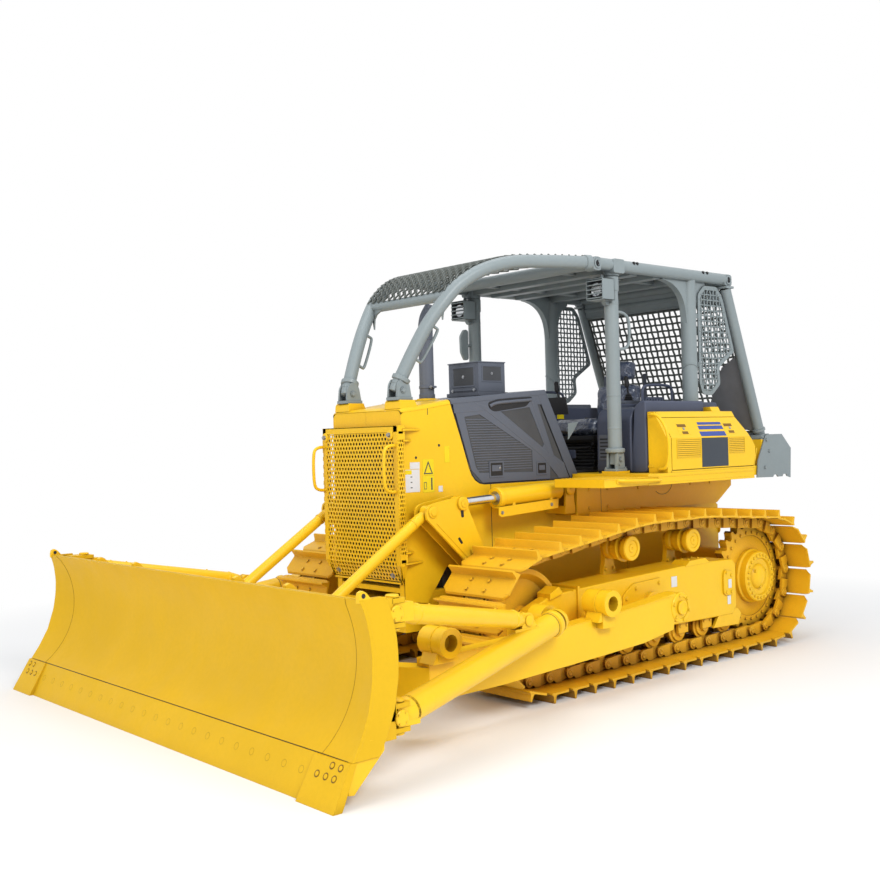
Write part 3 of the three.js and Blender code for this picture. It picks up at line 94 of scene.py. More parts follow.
# ---------------------------------------------------------------- finishes
class NodeTree:
    """Short way to add and wire shader nodes in one material."""

    def __init__(self, name: str) -> None:
        """Args:
            name: Name of the new material.
        """
        self.material = bpy.data.materials.new(name)
        self.material.use_nodes = True
        self.tree = self.material.node_tree
        self.shader = next(n for n in self.tree.nodes if n.type == "BSDF_PRINCIPLED")
        self.place = self.add("ShaderNodeTexCoord").outputs["Object"]

    def add(self, kind: str, **values: object) -> bpy.types.Node:
        """Adds a node.

        Args:
            kind: Blender's node type.
            **values: Attributes of the node, or values of its inputs by name.

        Returns:
            The new node.
        """
        node = self.tree.nodes.new(kind)
        for key, value in values.items():
            if key in node.inputs:
                node.inputs[key].default_value = value
            else:
                setattr(node, key, value)
        return node

    def link(self, source: bpy.types.NodeSocket, target: bpy.types.NodeSocket) -> None:
        """Wires one socket to another."""
        self.tree.links.new(source, target)

    def noise(self, scale: float, detail: float = 3.0) -> bpy.types.NodeSocket:
        """Noise on Object coordinates.

        Args:
            scale: Cells a metre.
            detail: Octaves.

        Returns:
            The factor socket.
        """
        node = self.add("ShaderNodeTexNoise", Scale=scale, Detail=detail)
        self.link(self.place, node.inputs["Vector"])
        return node.outputs["Fac"]

    def ranged(self, source: bpy.types.NodeSocket, low: float, high: float,
               start: float = 0.3, end: float = 0.7) -> bpy.types.NodeSocket:
        """Maps start..end of a factor to low..high.

        Returns:
            The mapped socket.
        """
        node = self.add("ShaderNodeMapRange")
        for key, value in (("From Min", start), ("From Max", end), ("To Min", low), ("To Max", high)):
            node.inputs[key].default_value = value
        self.link(source, node.inputs["Value"])
        return node.outputs["Result"]

    def mix(self, factor: bpy.types.NodeSocket, first: Sequence[float] | bpy.types.NodeSocket,
            second: Sequence[float] | bpy.types.NodeSocket) -> bpy.types.NodeSocket:
        """Mixes two colours by a factor.

        Returns:
            The colour socket.
        """
        node = self.add("ShaderNodeMix", data_type="RGBA")
        self.link(factor, node.inputs[0])
        for socket, value in ((node.inputs[6], first), (node.inputs[7], second)):
            if isinstance(value, bpy.types.NodeSocket):
                self.link(value, socket)
            else:
                socket.default_value = (*value, 1.0)
        return node.outputs[2]

    def bump(self, height: bpy.types.NodeSocket, strength: float, distance: float,
             normal: bpy.types.NodeSocket | None = None) -> bpy.types.NodeSocket:
        """Bump from a height.

        Returns:
            The normal socket.
        """
        node = self.add("ShaderNodeBump", Strength=strength, Distance=distance)
        self.link(height, node.inputs["Height"])
        if normal is not None:
            self.link(normal, node.inputs["Normal"])
        return node.outputs["Normal"]


_made: dict[str, bpy.types.Material] = {}


@dataclass(frozen=True)
class Paint:
    """Sprayed paint on steel: slight mottling, orange peel, softened edges, and painted shade in corners,
    where ambient occlusion mixes the colour toward the shade colour.
    """

    name: str
    colour: Point
    shade: Point
    roughness: float = 0.38
    metallic: float = 0.0
    peel: float = 0.05
    # Strength and reach of the painted shade that darkens corners, creases and gaps.
    grime: float = 0.75
    grime_reach: float = 0.12
    coat: float = 0.10
    specular: float = 0.30
    edge: float = 0.004

    def material(self) -> bpy.types.Material:
        """Builds the material once and returns it."""
        if self.name in _made:
            return _made[self.name]
        n = NodeTree(self.name)
        wide = n.mix(n.ranged(n.noise(2.2, 4), 0.0, 1.0), self.colour, tuple(0.93 * c for c in self.colour))
        fine = n.mix(n.ranged(n.noise(38, 2), 0.0, 0.35), wide, tuple(0.88 * c for c in self.colour))
        # Painted shade: ambient occlusion mixes the colour toward the shade colour in corners, creases and
        # gaps.
        corner = n.add("ShaderNodeAmbientOcclusion", samples=6)
        corner.inputs["Distance"].default_value = self.grime_reach
        grime = n.ranged(corner.outputs["AO"], self.grime, 0.0, 0.25, 0.85)
        n.link(n.mix(grime, fine, self.shade), n.shader.inputs["Base Color"])
        n.link(n.ranged(n.noise(7, 3), self.roughness - 0.05, self.roughness + 0.08),
               n.shader.inputs["Roughness"])
        n.shader.inputs["Metallic"].default_value = self.metallic
        n.shader.inputs["Coat Weight"].default_value = self.coat
        n.shader.inputs["Coat Roughness"].default_value = 0.2
        n.shader.inputs["Specular IOR Level"].default_value = self.specular
        soft = n.add("ShaderNodeBevel", samples=4)
        soft.inputs["Radius"].default_value = self.edge
        waves = n.bump(n.noise(5, 2), 0.06, 0.02, soft.outputs["Normal"])
        n.link(n.bump(n.noise(240, 2), self.peel, 0.002, waves), n.shader.inputs["Normal"])
        _made[self.name] = n.material
        return n.material


@dataclass(frozen=True)
class Bright:
    """Polished metal with faint mottling and fine bumps."""

    name: str
    colour: Point = (0.78, 0.79, 0.82)
    roughness: float = 0.12

    def material(self) -> bpy.types.Material:
        """Builds the material once and returns it."""
        if self.name in _made:
            return _made[self.name]
        n = NodeTree(self.name)
        n.link(n.mix(n.ranged(n.noise(12), 0, 1), self.colour, tuple(0.85 * c for c in self.colour)),
               n.shader.inputs["Base Color"])
        n.shader.inputs["Metallic"].default_value = 1.0
        n.link(n.ranged(n.noise(90), self.roughness, self.roughness + 0.1), n.shader.inputs["Roughness"])
        n.link(n.bump(n.noise(300), 0.02, 0.001), n.shader.inputs["Normal"])
        _made[self.name] = n.material
        return n.material


@dataclass(frozen=True)
class Moulded:
    """Moulded plastic or rubber with a pebbled surface."""

    name: str
    colour: Point
    roughness: float = 0.55
    grain: float = 420.0
    depth: float = 0.25

    def material(self) -> bpy.types.Material:
        """Builds the material once and returns it."""
        if self.name in _made:
            return _made[self.name]
        n = NodeTree(self.name)
        n.link(n.mix(n.ranged(n.noise(6), 0, 1), self.colour, tuple(0.8 * c for c in self.colour)),
               n.shader.inputs["Base Color"])
        n.shader.inputs["Roughness"].default_value = self.roughness
        cells = n.add("ShaderNodeTexVoronoi", Scale=self.grain)
        n.link(n.place, cells.inputs["Vector"])
        n.link(n.bump(cells.outputs["Distance"], self.depth, 0.001), n.shader.inputs["Normal"])
        _made[self.name] = n.material
        return n.material


@dataclass(frozen=True)
class FilmCover:
    """Woven seat cover under clear crinkled film, with the film's glints painted into the base colour as
    pale patches along its creases.
    """

    name: str
    colour: Point
    thread: Point

    def material(self) -> bpy.types.Material:
        """Builds the material once and returns it."""
        if self.name in _made:
            return _made[self.name]
        n = NodeTree(self.name)
        weave = n.add("ShaderNodeTexWave", Scale=260.0, Distortion=1.5)
        n.link(n.place, weave.inputs["Vector"])
        crease = n.add("ShaderNodeTexNoise", Scale=9.0, Detail=5.0, Distortion=2.4)
        n.link(n.place, crease.inputs["Vector"])
        cloth = n.mix(weave.outputs["Fac"], self.colour, self.thread)
        # Painted reflection: pale blue-grey patches of the crinkled film's glints are mixed into the base
        # colour.
        painted_glint = n.ranged(crease.outputs["Fac"], 0.0, 0.5, 0.56, 0.66)
        n.link(n.mix(painted_glint, cloth, (0.42, 0.48, 0.58)), n.shader.inputs["Base Color"])
        n.shader.inputs["Roughness"].default_value = 0.32
        n.shader.inputs["Coat Weight"].default_value = 0.9
        n.shader.inputs["Coat Roughness"].default_value = 0.1
        folds = n.bump(crease.outputs["Fac"], 0.9, 0.03)
        n.link(n.bump(weave.outputs["Fac"], 0.15, 0.0006, folds), n.shader.inputs["Normal"])
        _made[self.name] = n.material
        return n.material


# Each paint's second colour is the colour of its painted shade in corners.
YELLOW = Paint("body_yellow", (0.985, 0.600, 0.012), (0.36, 0.21, 0.006))
BLADE_YELLOW = Paint("blade_yellow", (0.80, 0.475, 0.010), (0.30, 0.17, 0.004), roughness=0.5, coat=0.0,
                     specular=0.2)
# The tracks wear the body's paint: this darker, more orange base is painted shade with some dust, and its
# stronger, browner corner shade is painted shade with rust in the recesses.
TRACK_YELLOW = Paint("track_yellow", (0.90, 0.50, 0.014), (0.20, 0.08, 0.006), roughness=0.5, grime=0.95,
                     grime_reach=0.16, coat=0.1)
CANOPY_GREY = Paint("canopy_grey", (0.27, 0.315, 0.325), (0.05, 0.055, 0.055), roughness=0.42)
PANEL_GREY = Paint("panel_grey", (0.125, 0.14, 0.175), (0.02, 0.02, 0.025), roughness=0.5, peel=0.12,
                   coat=0.1)
CONSOLE_BLUE = Paint("console_blue", (0.075, 0.088, 0.135), (0.012, 0.014, 0.02), roughness=0.5, peel=0.1,
                     coat=0.1)
MESH_GREY = Paint("mesh_steel", (0.13, 0.145, 0.135), (0.03, 0.03, 0.025), roughness=0.5, edge=0.001)
INSET_GREY = Moulded("inset_grille", (0.075, 0.078, 0.085), 0.7, 260.0, 0.7)
STRIPE_BLUE = Paint("stripe_blue", (0.035, 0.075, 0.34), (0.01, 0.015, 0.05), grime=0.1)
PLATE_DARK = Paint("plate_dark", (0.045, 0.055, 0.07), (0.01, 0.01, 0.01), grime=0.1)
LABEL_WHITE = Paint("label_white", (0.80, 0.80, 0.80), (0.4, 0.4, 0.4), grime=0.1)
LABEL_YELLOW = Paint("label_yellow", (0.93, 0.72, 0.01), (0.4, 0.3, 0.01), grime=0.1)
BLACK = Moulded("satin_black", (0.012, 0.012, 0.014), 0.5)
RUBBER = Moulded("rubber_black", (0.018, 0.018, 0.02), 0.75, 180.0, 0.4)
CHROME = Bright("chrome_rod")
STEEL = Bright("zinc_steel", (0.42, 0.43, 0.45), 0.32)
CASTING = Paint("cast_grey", (0.06, 0.062, 0.065), (0.01, 0.01, 0.01), roughness=0.65, peel=0.3, coat=0.0)
SEAT_COVER = FilmCover("seat_cover", (0.035, 0.05, 0.095), (0.07, 0.09, 0.15))
LAMP_GLASS = Bright("lamp_lens", (0.62, 0.64, 0.66), 0.08)

Finish = Paint | Bright | Moulded | FilmCover


# ---------------------------------------------------------------- shapes
def smooth_line(points: Sequence[Point], steps: int) -> list[Vector]:
    """Even points on a centripetal curve through the given ones.

    Args:
        points: Points the curve passes.
        steps: Pieces the curve is split in.

    Returns:
        steps + 1 points.
    """
    p = [Vector(q) for q in points]
    ends = [2 * p[0] - p[1], *p, 2 * p[-1] - p[-2]]
    dense: list[Vector] = []
    for a, b, c, d in zip(ends, ends[1:], ends[2:], ends[3:]):
        t = [0.0]
        for one, two in ((a, b), (b, c), (c, d)):
            t.append(t[-1] + max((two - one).length, 1e-6) ** 0.5)
        for i in range(24):
            s = t[1] + (t[2] - t[1]) * i / 24
            ab = a.lerp(b, (s - t[0]) / (t[1] - t[0]))
            bc = b.lerp(c, (s - t[1]) / (t[2] - t[1]))
            cd = c.lerp(d, (s - t[2]) / (t[3] - t[2]))
            abc = ab.lerp(bc, (s - t[0]) / (t[2] - t[0]))
            bcd = bc.lerp(cd, (s - t[1]) / (t[3] - t[1]))
            dense.append(abc.lerp(bcd, (s - t[1]) / (t[2] - t[1])))
    dense.append(p[-1])
    reach = [0.0]
    for one, two in zip(dense, dense[1:]):
        reach.append(reach[-1] + (two - one).length)
    line, k = [], 0
    for i in range(steps + 1):
        want = reach[-1] * i / steps
        while k < len(dense) - 2 and reach[k + 1] < want:
            k += 1
        line.append(dense[k].lerp(dense[k + 1], (want - reach[k]) / max(reach[k + 1] - reach[k], 1e-9)))
    return line


def rounded(corners: Sequence[Flat], radius: float, steps: int = 4) -> list[Flat]:
    """A flat outline with its corners rounded.

    Args:
        corners: Corners in order.
        radius: Largest length taken off each side of a corner.
        steps: Pieces of each round.

    Returns:
        The new outline.
    """
    out: list[Flat] = []
    count = len(corners)
    for i, at in enumerate(corners):
        here = Vector(at)
        back, ahead = Vector(corners[i - 1]) - here, Vector(corners[(i + 1) % count]) - here
        r = min(radius, back.length * 0.45, ahead.length * 0.45)
        a, b = here + back.normalized() * r, here + ahead.normalized() * r
        for k in range(steps + 1):
            t = k / steps
            out.append(tuple((1 - t) ** 2 * a + 2 * t * (1 - t) * here + t * t * b))
    return out


class Shape:
    """One piece's mesh, put together from closed solids at the machine's stations."""

    def __init__(self) -> None:
        """Starts an empty mesh."""
        self.bm = bmesh.new()

    def solid(self, rings: Sequence[Sequence[Vector]], closed: bool = False) -> "Shape":
        """Joins rings of equal length to a closed solid."""
        rows = [[self.bm.verts.new(p) for p in ring] for ring in rings]
        n = len(rows[0])
        pairs = list(zip(rows, rows[1:])) + ([(rows[-1], rows[0])] if closed else [])
        for low, high in pairs:
            for i in range(n):
                self.bm.faces.new((low[i], low[(i + 1) % n], high[(i + 1) % n], high[i]))
        if not closed:
            self.bm.faces.new(rows[0])
            self.bm.faces.new(rows[-1])
        return self

    def box(self, x0: float, x1: float, y0: float, y1: float, z0: float, z1: float) -> "Shape":
        """A block between two corners."""
        ring = [(x0, y0), (x1, y0), (x1, y1), (x0, y1)]
        return self.solid([[Vector((x, y, z)) for x, y in ring] for z in (z0, z1)])

    def prism(self, outline: Sequence[Flat], axis: str, low: float, high: float) -> "Shape":
        """An outline carried along an axis.

        Args:
            outline: Points in the plane across the axis: (y, z) for x, (x, z) for y, (x, y) for z.
            axis: "x", "y" or "z".
            low: Where it starts.
            high: Where it ends.

        Returns:
            The shape itself.
        """
        place: dict[str, Callable[[Flat, float], Vector]] = {
            "x": lambda p, t: Vector((t, p[0], p[1])),
            "y": lambda p, t: Vector((p[0], t, p[1])),
            "z": lambda p, t: Vector((p[0], p[1], t)),
        }
        return self.solid([[place[axis](p, t) for p in outline] for t in (low, high)])

    def bar(self, a: Point, b: Point, radius: float, sides: int = 24,
            end_radius: float | None = None) -> "Shape":
        """A round bar between two points, or a cone if the end radius differs."""
        return self.tube([a, b], radius, sides, end_radius=end_radius)

    def tube(self, points: Iterable[Point | Vector], radius: float, sides: int = 12,
             end_radius: float | None = None, closed: bool = False) -> "Shape":
        """A round bar along a line of points.

        Args:
            points: The line.
            radius: Bar radius.
            sides: Facets round it.
            end_radius: Radius at the far end, if it tapers.
            closed: True for a ring.

        Returns:
            The shape itself.
        """
        line = [Vector(p) for p in points]
        count = len(line)
        rings: list[list[Vector]] = []
        side: Vector | None = None
        for i, p in enumerate(line):
            before = line[i - 1] if i or closed else p
            after = line[(i + 1) % count] if i < count - 1 or closed else p
            along = (after - before).normalized()
            if side is None:
                side = along.orthogonal().normalized()
            side = (side - along * side.dot(along)).normalized()
            other = along.cross(side)
            r = radius if end_radius is None else radius + (end_radius - radius) * i / (count - 1)
            rings.append([p + r * (math.cos(t) * side + math.sin(t) * other)
                          for t in (2 * math.pi * k / sides for k in range(sides))])
        return self.solid(rings, closed)

    def turned(self, profile: Sequence[Flat], centre: Point, axis: Point = (0, 1, 0),
               sides: int = 40) -> "Shape":
        """A turned solid.

        Args:
            profile: (radius, distance along the axis) points; the first and last are closed with flat ends.
            centre: Where distance 0 is.
            axis: Direction of the axis.
            sides: Facets round it.

        Returns:
            The shape itself.
        """
        along = Vector(axis).normalized()
        side = along.orthogonal().normalized()
        other = along.cross(side)
        mid = Vector(centre)
        return self.solid([[mid + along * d + max(r, 1e-4) * (math.cos(t) * side + math.sin(t) * other)
                             for t in (2 * math.pi * k / sides for k in range(sides))] for r, d in profile])

    def ring(self, outer: float, inner: float, centre: Point, axis: Point, depth: float,
             sides: int = 40) -> "Shape":
        """A flat ring or short sleeve that starts at its centre point and runs along the axis."""
        along = Vector(axis).normalized()
        side = along.orthogonal().normalized()
        other = along.cross(side)
        mid = Vector(centre)
        rings = []
        for k in range(sides):
            t = 2 * math.pi * k / sides
            out = math.cos(t) * side + math.sin(t) * other
            rings.append([mid + out * r + along * d for r, d in
                          ((inner, 0), (outer, 0), (outer, depth), (inner, depth))])
        return self.solid(rings, closed=True)

    def bolt(self, at: Point, axis: Point, radius: float = 0.012, height: float = 0.01) -> "Shape":
        """A hexagonal bolt head on a washer."""
        mid, along = Vector(at), Vector(axis).normalized()
        self.turned([(radius * 1.35, 0), (radius * 1.35, height * 0.25)], at, axis, 14)
        return self.tube([mid, mid + along * height], radius, 6)

    def frame(self, outline: Sequence[Flat], inner: Sequence[Flat], axis: str, low: float,
              high: float) -> "Shape":
        """A flat frame between an outline and an inner outline with as many points."""
        place = {"x": lambda p, t: Vector((t, p[0], p[1])), "y": lambda p, t: Vector((p[0], t, p[1])),
                 "z": lambda p, t: Vector((p[0], p[1], t))}[axis]
        rings = [[place(b, low), place(a, low), place(a, high), place(b, high)]
                 for a, b in zip(outline, inner)]
        return self.solid(rings, closed=True)

    def mirror(self) -> "Shape":
        """Adds the same solids on the machine's other side."""
        made = bmesh.ops.duplicate(self.bm, geom=[*self.bm.verts, *self.bm.edges, *self.bm.faces])["geom"]
        for v in made:
            if isinstance(v, bmesh.types.BMVert):
                v.co.y = -v.co.y
        return self

    def flip(self) -> "Shape":
        """Moves all solids to the machine's other side."""
        for v in self.bm.verts:
            v.co.y = -v.co.y
        return self

    def on(self, side: Side) -> "Shape":
        """Leaves a left-hand piece as it is, or moves it to the right."""
        return self if side is Side.LEFT else self.flip()

    def mesh(self, name: str) -> bpy.types.Mesh:
        """Ends the shape as a mesh in the row frame.

        Args:
            name: Name of the mesh.

        Returns:
            The mesh.
        """
        bmesh.ops.recalc_face_normals(self.bm, faces=self.bm.faces)
        bmesh.ops.translate(self.bm, verts=self.bm.verts, vec=(ROW_SHIFT, 0, 0))
        return close_mesh(self.bm, name)

    def piece(self, name: str, finish: Finish, body: str, slot: str = "", replaces: Sequence[str] = (),
              bevel: float = 0.0) -> bpy.types.Object:
        """Ends the shape as a piece that rides on a body.

        Args:
            name: Piece name.
            finish: Its finish.
            body: CAD body it rides on.
            slot: Material slot of the record; not used.
            replaces: CAD nodes it stands for.
            bevel: Width of rounded edges, 0 for none.

        Returns:
            The new object.
        """
        return place_piece(self.mesh(name), name, finish, body, slot, replaces, bevel)


def close_mesh(bm: bmesh.types.BMesh, name: str) -> bpy.types.Mesh:
    """Marks hard edges and frees the bmesh.

    Returns:
        The finished mesh.
    """
    for face in bm.faces:
        face.smooth = True
    for edge in bm.edges:
        edge.smooth = len(edge.link_faces) == 2 and edge.calc_face_angle(0.0) < SMOOTH_ANGLE
    mesh = bpy.data.meshes.new(name)
    bm.to_mesh(mesh)
    bm.free()
    return mesh


def place_piece(mesh: bpy.types.Mesh, name: str, finish: Finish, body: str, slot: str = "",
                replaces: Sequence[str] = (), bevel: float = 0.0) -> bpy.types.Object:
    """Links a mesh as a piece on a body.

    Returns:
        The new object.
    """
    piece = bpy.data.objects.new(name, mesh)
    bpy.context.scene.collection.objects.link(piece)
    mesh.materials.clear()
    mesh.materials.append(finish.material())
    if bevel:
        rounding = piece.modifiers.new("rounded_edges", "BEVEL")
        rounding.width, rounding.segments = bevel, 2
        rounding.limit_method, rounding.angle_limit = "ANGLE", math.radians(38)
        rounding.harden_normals = True
    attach(piece, body)
    if replaces:
        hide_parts(*replaces)
    return piece


def refine(node: str, finish: Finish, body: str, slot: str) -> bpy.types.Object:
    """A smooth-shaded copy of a CAD node that stands for it.

    Args:
        node: The CAD node.
        finish: Finish of the copy.
        body: Body it rides on.
        slot: Material slot of the record; not used.

    Returns:
        The copy.
    """
    bm = bmesh.new()
    bm.from_mesh(frame["nodes"][node].data)
    bmesh.ops.remove_doubles(bm, verts=bm.verts, dist=2e-5)
    bmesh.ops.dissolve_limit(bm, angle_limit=math.radians(0.4), verts=bm.verts, edges=bm.edges)
    return place_piece(close_mesh(bm, f"{node}_skin"), f"{node}_skin", finish, body, slot, [node])


# ---------------------------------------------------------------- repeats
class Repeat:
    """Geometry Nodes tree that sets copies of one small part at marked points."""

    def __init__(self) -> None:
        """Builds the tree once."""
        tree = bpy.data.node_groups.new("repeat_part", "GeometryNodeTree")
        face = tree.interface
        face.new_socket("Geometry", in_out="INPUT", socket_type="NodeSocketGeometry")
        self.part_id = face.new_socket("Part", in_out="INPUT", socket_type="NodeSocketObject").identifier
        size = face.new_socket("Size", in_out="INPUT", socket_type="NodeSocketFloat")
        size.default_value = 1.0
        self.size_id = size.identifier
        self.spread_id = face.new_socket("Size spread", in_out="INPUT",
                                         socket_type="NodeSocketFloat").identifier
        self.finish_id = face.new_socket("Finish", in_out="INPUT",
                                         socket_type="NodeSocketMaterial").identifier
        face.new_socket("Geometry", in_out="OUTPUT", socket_type="NodeSocketGeometry")
        add, link = tree.nodes.new, tree.links.new
        start, end = add("NodeGroupInput"), add("NodeGroupOutput")
        part, turn, spin = add("GeometryNodeObjectInfo"), add("GeometryNodeInputNamedAttribute"), add(
            "FunctionNodeEulerToRotation")
        turn.data_type = "FLOAT_VECTOR"
        turn.inputs["Name"].default_value = "turn"
        chance = add("FunctionNodeRandomValue")
        chance.inputs["Seed"].default_value = 11
        low, high, scale = add("ShaderNodeMath"), add("ShaderNodeMath"), add("ShaderNodeMath")
        low.operation, high.operation, scale.operation = "SUBTRACT", "ADD", "MULTIPLY"
        low.inputs[0].default_value = high.inputs[0].default_value = 1.0
        put, real, dress = add("GeometryNodeInstanceOnPoints"), add("GeometryNodeRealizeInstances"), add(
            "GeometryNodeSetMaterial")
        link(start.outputs["Part"], part.inputs["Object"])
        link(start.outputs["Size spread"], low.inputs[1])
        link(start.outputs["Size spread"], high.inputs[1])
        link(low.outputs[0], chance.inputs[2])
        link(high.outputs[0], chance.inputs[3])
        link(chance.outputs[1], scale.inputs[0])
        link(start.outputs["Size"], scale.inputs[1])
        link(start.outputs["Geometry"], put.inputs["Points"])
        link(part.outputs["Geometry"], put.inputs["Instance"])
        link(turn.outputs["Attribute"], spin.inputs["Euler"])
        link(spin.outputs["Rotation"], put.inputs["Rotation"])
        link(scale.outputs[0], put.inputs["Scale"])
        link(put.outputs["Instances"], real.inputs["Geometry"])
        link(real.outputs["Geometry"], dress.inputs["Geometry"])
        link(start.outputs["Finish"], dress.inputs["Material"])
        link(dress.outputs["Geometry"], end.inputs["Geometry"])
        self.tree = tree

    def piece(self, part: Shape, places: Sequence[tuple[Vector | Point, Point]], name: str, finish: Finish,
              body: str, slot: str = "", replaces: Sequence[str] = (), size: float = 1.0,
              spread: float = 0.0, weld: bool = False) -> bpy.types.Object:
        """Copies of a small part as one piece.

        Args:
            part: The small part round its own origin.
            places: Station and turn of each copy.
            name: Piece name.
            finish: Its finish.
            body: Body it rides on.
            slot: Material slot of the record; not used.
            replaces: CAD nodes it stands for.
            size: Scale of the copies.
            spread: Random share by which copies differ in size.
            weld: True to merge copies that share an edge.

        Returns:
            The new object.
        """
        bmesh.ops.recalc_face_normals(part.bm, faces=part.bm.faces)
        small = bpy.data.objects.new(f"{name}_part", close_mesh(part.bm, f"{name}_part"))
        marks = bpy.data.meshes.new(f"{name}_marks")
        marks.from_pydata([(p[0] + ROW_SHIFT, p[1], p[2]) for p, _ in places], [], [])
        turns = marks.attributes.new("turn", "FLOAT_VECTOR", "POINT")
        turns.data.foreach_set("vector", [v for _, turn in places for v in turn])
        holder = bpy.data.objects.new(f"{name}_marks", marks)
        for thing in (small, holder):
            bpy.context.scene.collection.objects.link(thing)
        repeat = holder.modifiers.new("repeat", "NODES")
        repeat.node_group = self.tree
        repeat[self.part_id], repeat[self.size_id] = small, size
        repeat[self.spread_id], repeat[self.finish_id] = spread, finish.material()
        bpy.context.view_layer.update()
        graph = bpy.context.evaluated_depsgraph_get()
        mesh = bpy.data.meshes.new_from_object(holder.evaluated_get(graph))
        holder.modifiers.remove(repeat)
        for thing in (small, holder):
            bpy.data.objects.remove(thing)
        if weld:
            bm = bmesh.new()
            bm.from_mesh(mesh)
            bmesh.ops.remove_doubles(bm, verts=bm.verts, dist=2e-4)
            bm.to_mesh(mesh)
            bm.free()
        return place_piece(mesh, name, finish, body, slot, replaces)


REPEAT = Repeat()
NO_TURN: Point = (0.0, 0.0, 0.0)


# ---------------------------------------------------------------- studio
@dataclass
class Studio:
    """Camera, pale floor and soft lamps."""

    camera_at: Point = (7.77944, 6.25629, 1.74593)
    yaw: float = -130.99304
    pitch: float = 0.26415
    roll: float = -1.52301
    lens: float = 45.719
    shift: Flat = (0.01834, -0.004375)
    floor_half: float = 60.0

    def camera(self) -> None:
        """Makes the camera at its station and sets it as the scene's."""
        data = bpy.data.cameras.new("camera")
        data.lens, data.sensor_width = self.lens, 36.0
        data.shift_x, data.shift_y = self.shift
        data.clip_end = 200.0
        camera = bpy.data.objects.new("camera", data)
        yaw, pitch, roll = (math.radians(v) for v in (self.yaw, self.pitch, self.roll))
        ahead = Vector((math.cos(yaw) * math.cos(pitch), math.sin(yaw) * math.cos(pitch), math.sin(pitch)))
        right = ahead.cross(Vector((0, 0, 1))).normalized()
        up = right.cross(ahead)
        side = math.cos(roll) * right + math.sin(roll) * up
        top = -math.sin(roll) * right + math.cos(roll) * up
        turn = Matrix((side, top, -ahead)).transposed().to_4x4()
        camera.matrix_world = Matrix.Translation(Vector(self.camera_at) + Vector((ROW_SHIFT, 0, 0))) @ turn
        bpy.context.scene.collection.objects.link(camera)
        bpy.context.scene.camera = camera

    def floor(self) -> None:
        """A pale floor that shows white and keeps the machine's shadow."""
        mesh = bpy.data.meshes.new("floor")
        h = self.floor_half
        mesh.from_pydata([(-h, -h, 0), (h, -h, 0), (h, h, 0), (-h, h, 0)], [], [(0, 1, 2, 3)])
        floor = bpy.data.objects.new("floor", mesh)
        bpy.context.scene.collection.objects.link(floor)
        n = NodeTree("floor_white")
        n.shader.inputs["Base Color"].default_value = (0.90, 0.90, 0.90, 1)
        n.shader.inputs["Roughness"].default_value = 0.9
        reach, white, ray, both, blend = (n.add(k) for k in (
            "ShaderNodeVectorMath", "ShaderNodeEmission", "ShaderNodeLightPath", "ShaderNodeMath",
            "ShaderNodeMixShader"))
        reach.operation, both.operation = "LENGTH", "MULTIPLY"
        n.link(n.place, reach.inputs[0])
        n.link(n.ranged(reach.outputs["Value"], 0.0, 1.0, 3.2, 6.5), both.inputs[0])
        n.link(ray.outputs["Is Camera Ray"], both.inputs[1])
        n.link(both.outputs[0], blend.inputs[0])
        n.link(n.shader.outputs[0], blend.inputs[1])
        n.link(white.outputs[0], blend.inputs[2])
        n.link(blend.outputs[0], next(o for o in n.tree.nodes
                                      if o.type == "OUTPUT_MATERIAL").inputs["Surface"])
        mesh.materials.append(n.material)

    def lamps(self) -> None:
        """A white world and three large soft lamps."""
        scene = bpy.context.scene
        scene.view_settings.view_transform = "Standard"
        world = bpy.data.worlds.new("studio")
        scene.world = world
        world.use_nodes = True
        tree = world.node_tree
        tree.nodes.clear()
        out, seen = tree.nodes.new("ShaderNodeOutputWorld"), tree.nodes.new("ShaderNodeMixShader")
        glow, white, ray = (tree.nodes.new(k) for k in ("ShaderNodeBackground", "ShaderNodeBackground",
                                                        "ShaderNodeLightPath"))
        either, any_ray = tree.nodes.new("ShaderNodeMath"), tree.nodes.new("ShaderNodeMath")
        either.operation = any_ray.operation = "MAXIMUM"
        glow.inputs["Color"].default_value = (0.93, 0.96, 1.0, 1)
        glow.inputs["Strength"].default_value = 0.62
        white.inputs["Color"].default_value = (1, 1, 1, 1)
        link = tree.links.new
        link(ray.outputs["Is Camera Ray"], either.inputs[0])
        link(ray.outputs["Is Glossy Ray"], either.inputs[1])
        link(either.outputs[0], any_ray.inputs[0])
        link(ray.outputs["Is Transmission Ray"], any_ray.inputs[1])
        link(any_ray.outputs[0], seen.inputs[0])
        link(glow.outputs[0], seen.inputs[1])
        link(white.outputs[0], seen.inputs[2])
        link(seen.outputs[0], out.inputs["Surface"])
        for name, at, size, power in (("key", (3.0, 9.5, 7.5), 4.0, 620.0),
                                      ("front", (11.0, 1.0, 5.0), 5.0, 260.0),
                                      ("top", (0.0, 0.0, 10.0), 7.0, 260.0)):
            data = bpy.data.lights.new(name, "AREA")
            data.size, data.energy, data.shape = size, power, "DISK"
            lamp = bpy.data.objects.new(name, data)
            lamp.location = at
            lamp.rotation_euler = (Vector((0, 0, 1.2)) - Vector(at)).to_track_quat("-Z", "Y").to_euler()
            scene.collection.objects.link(lamp)


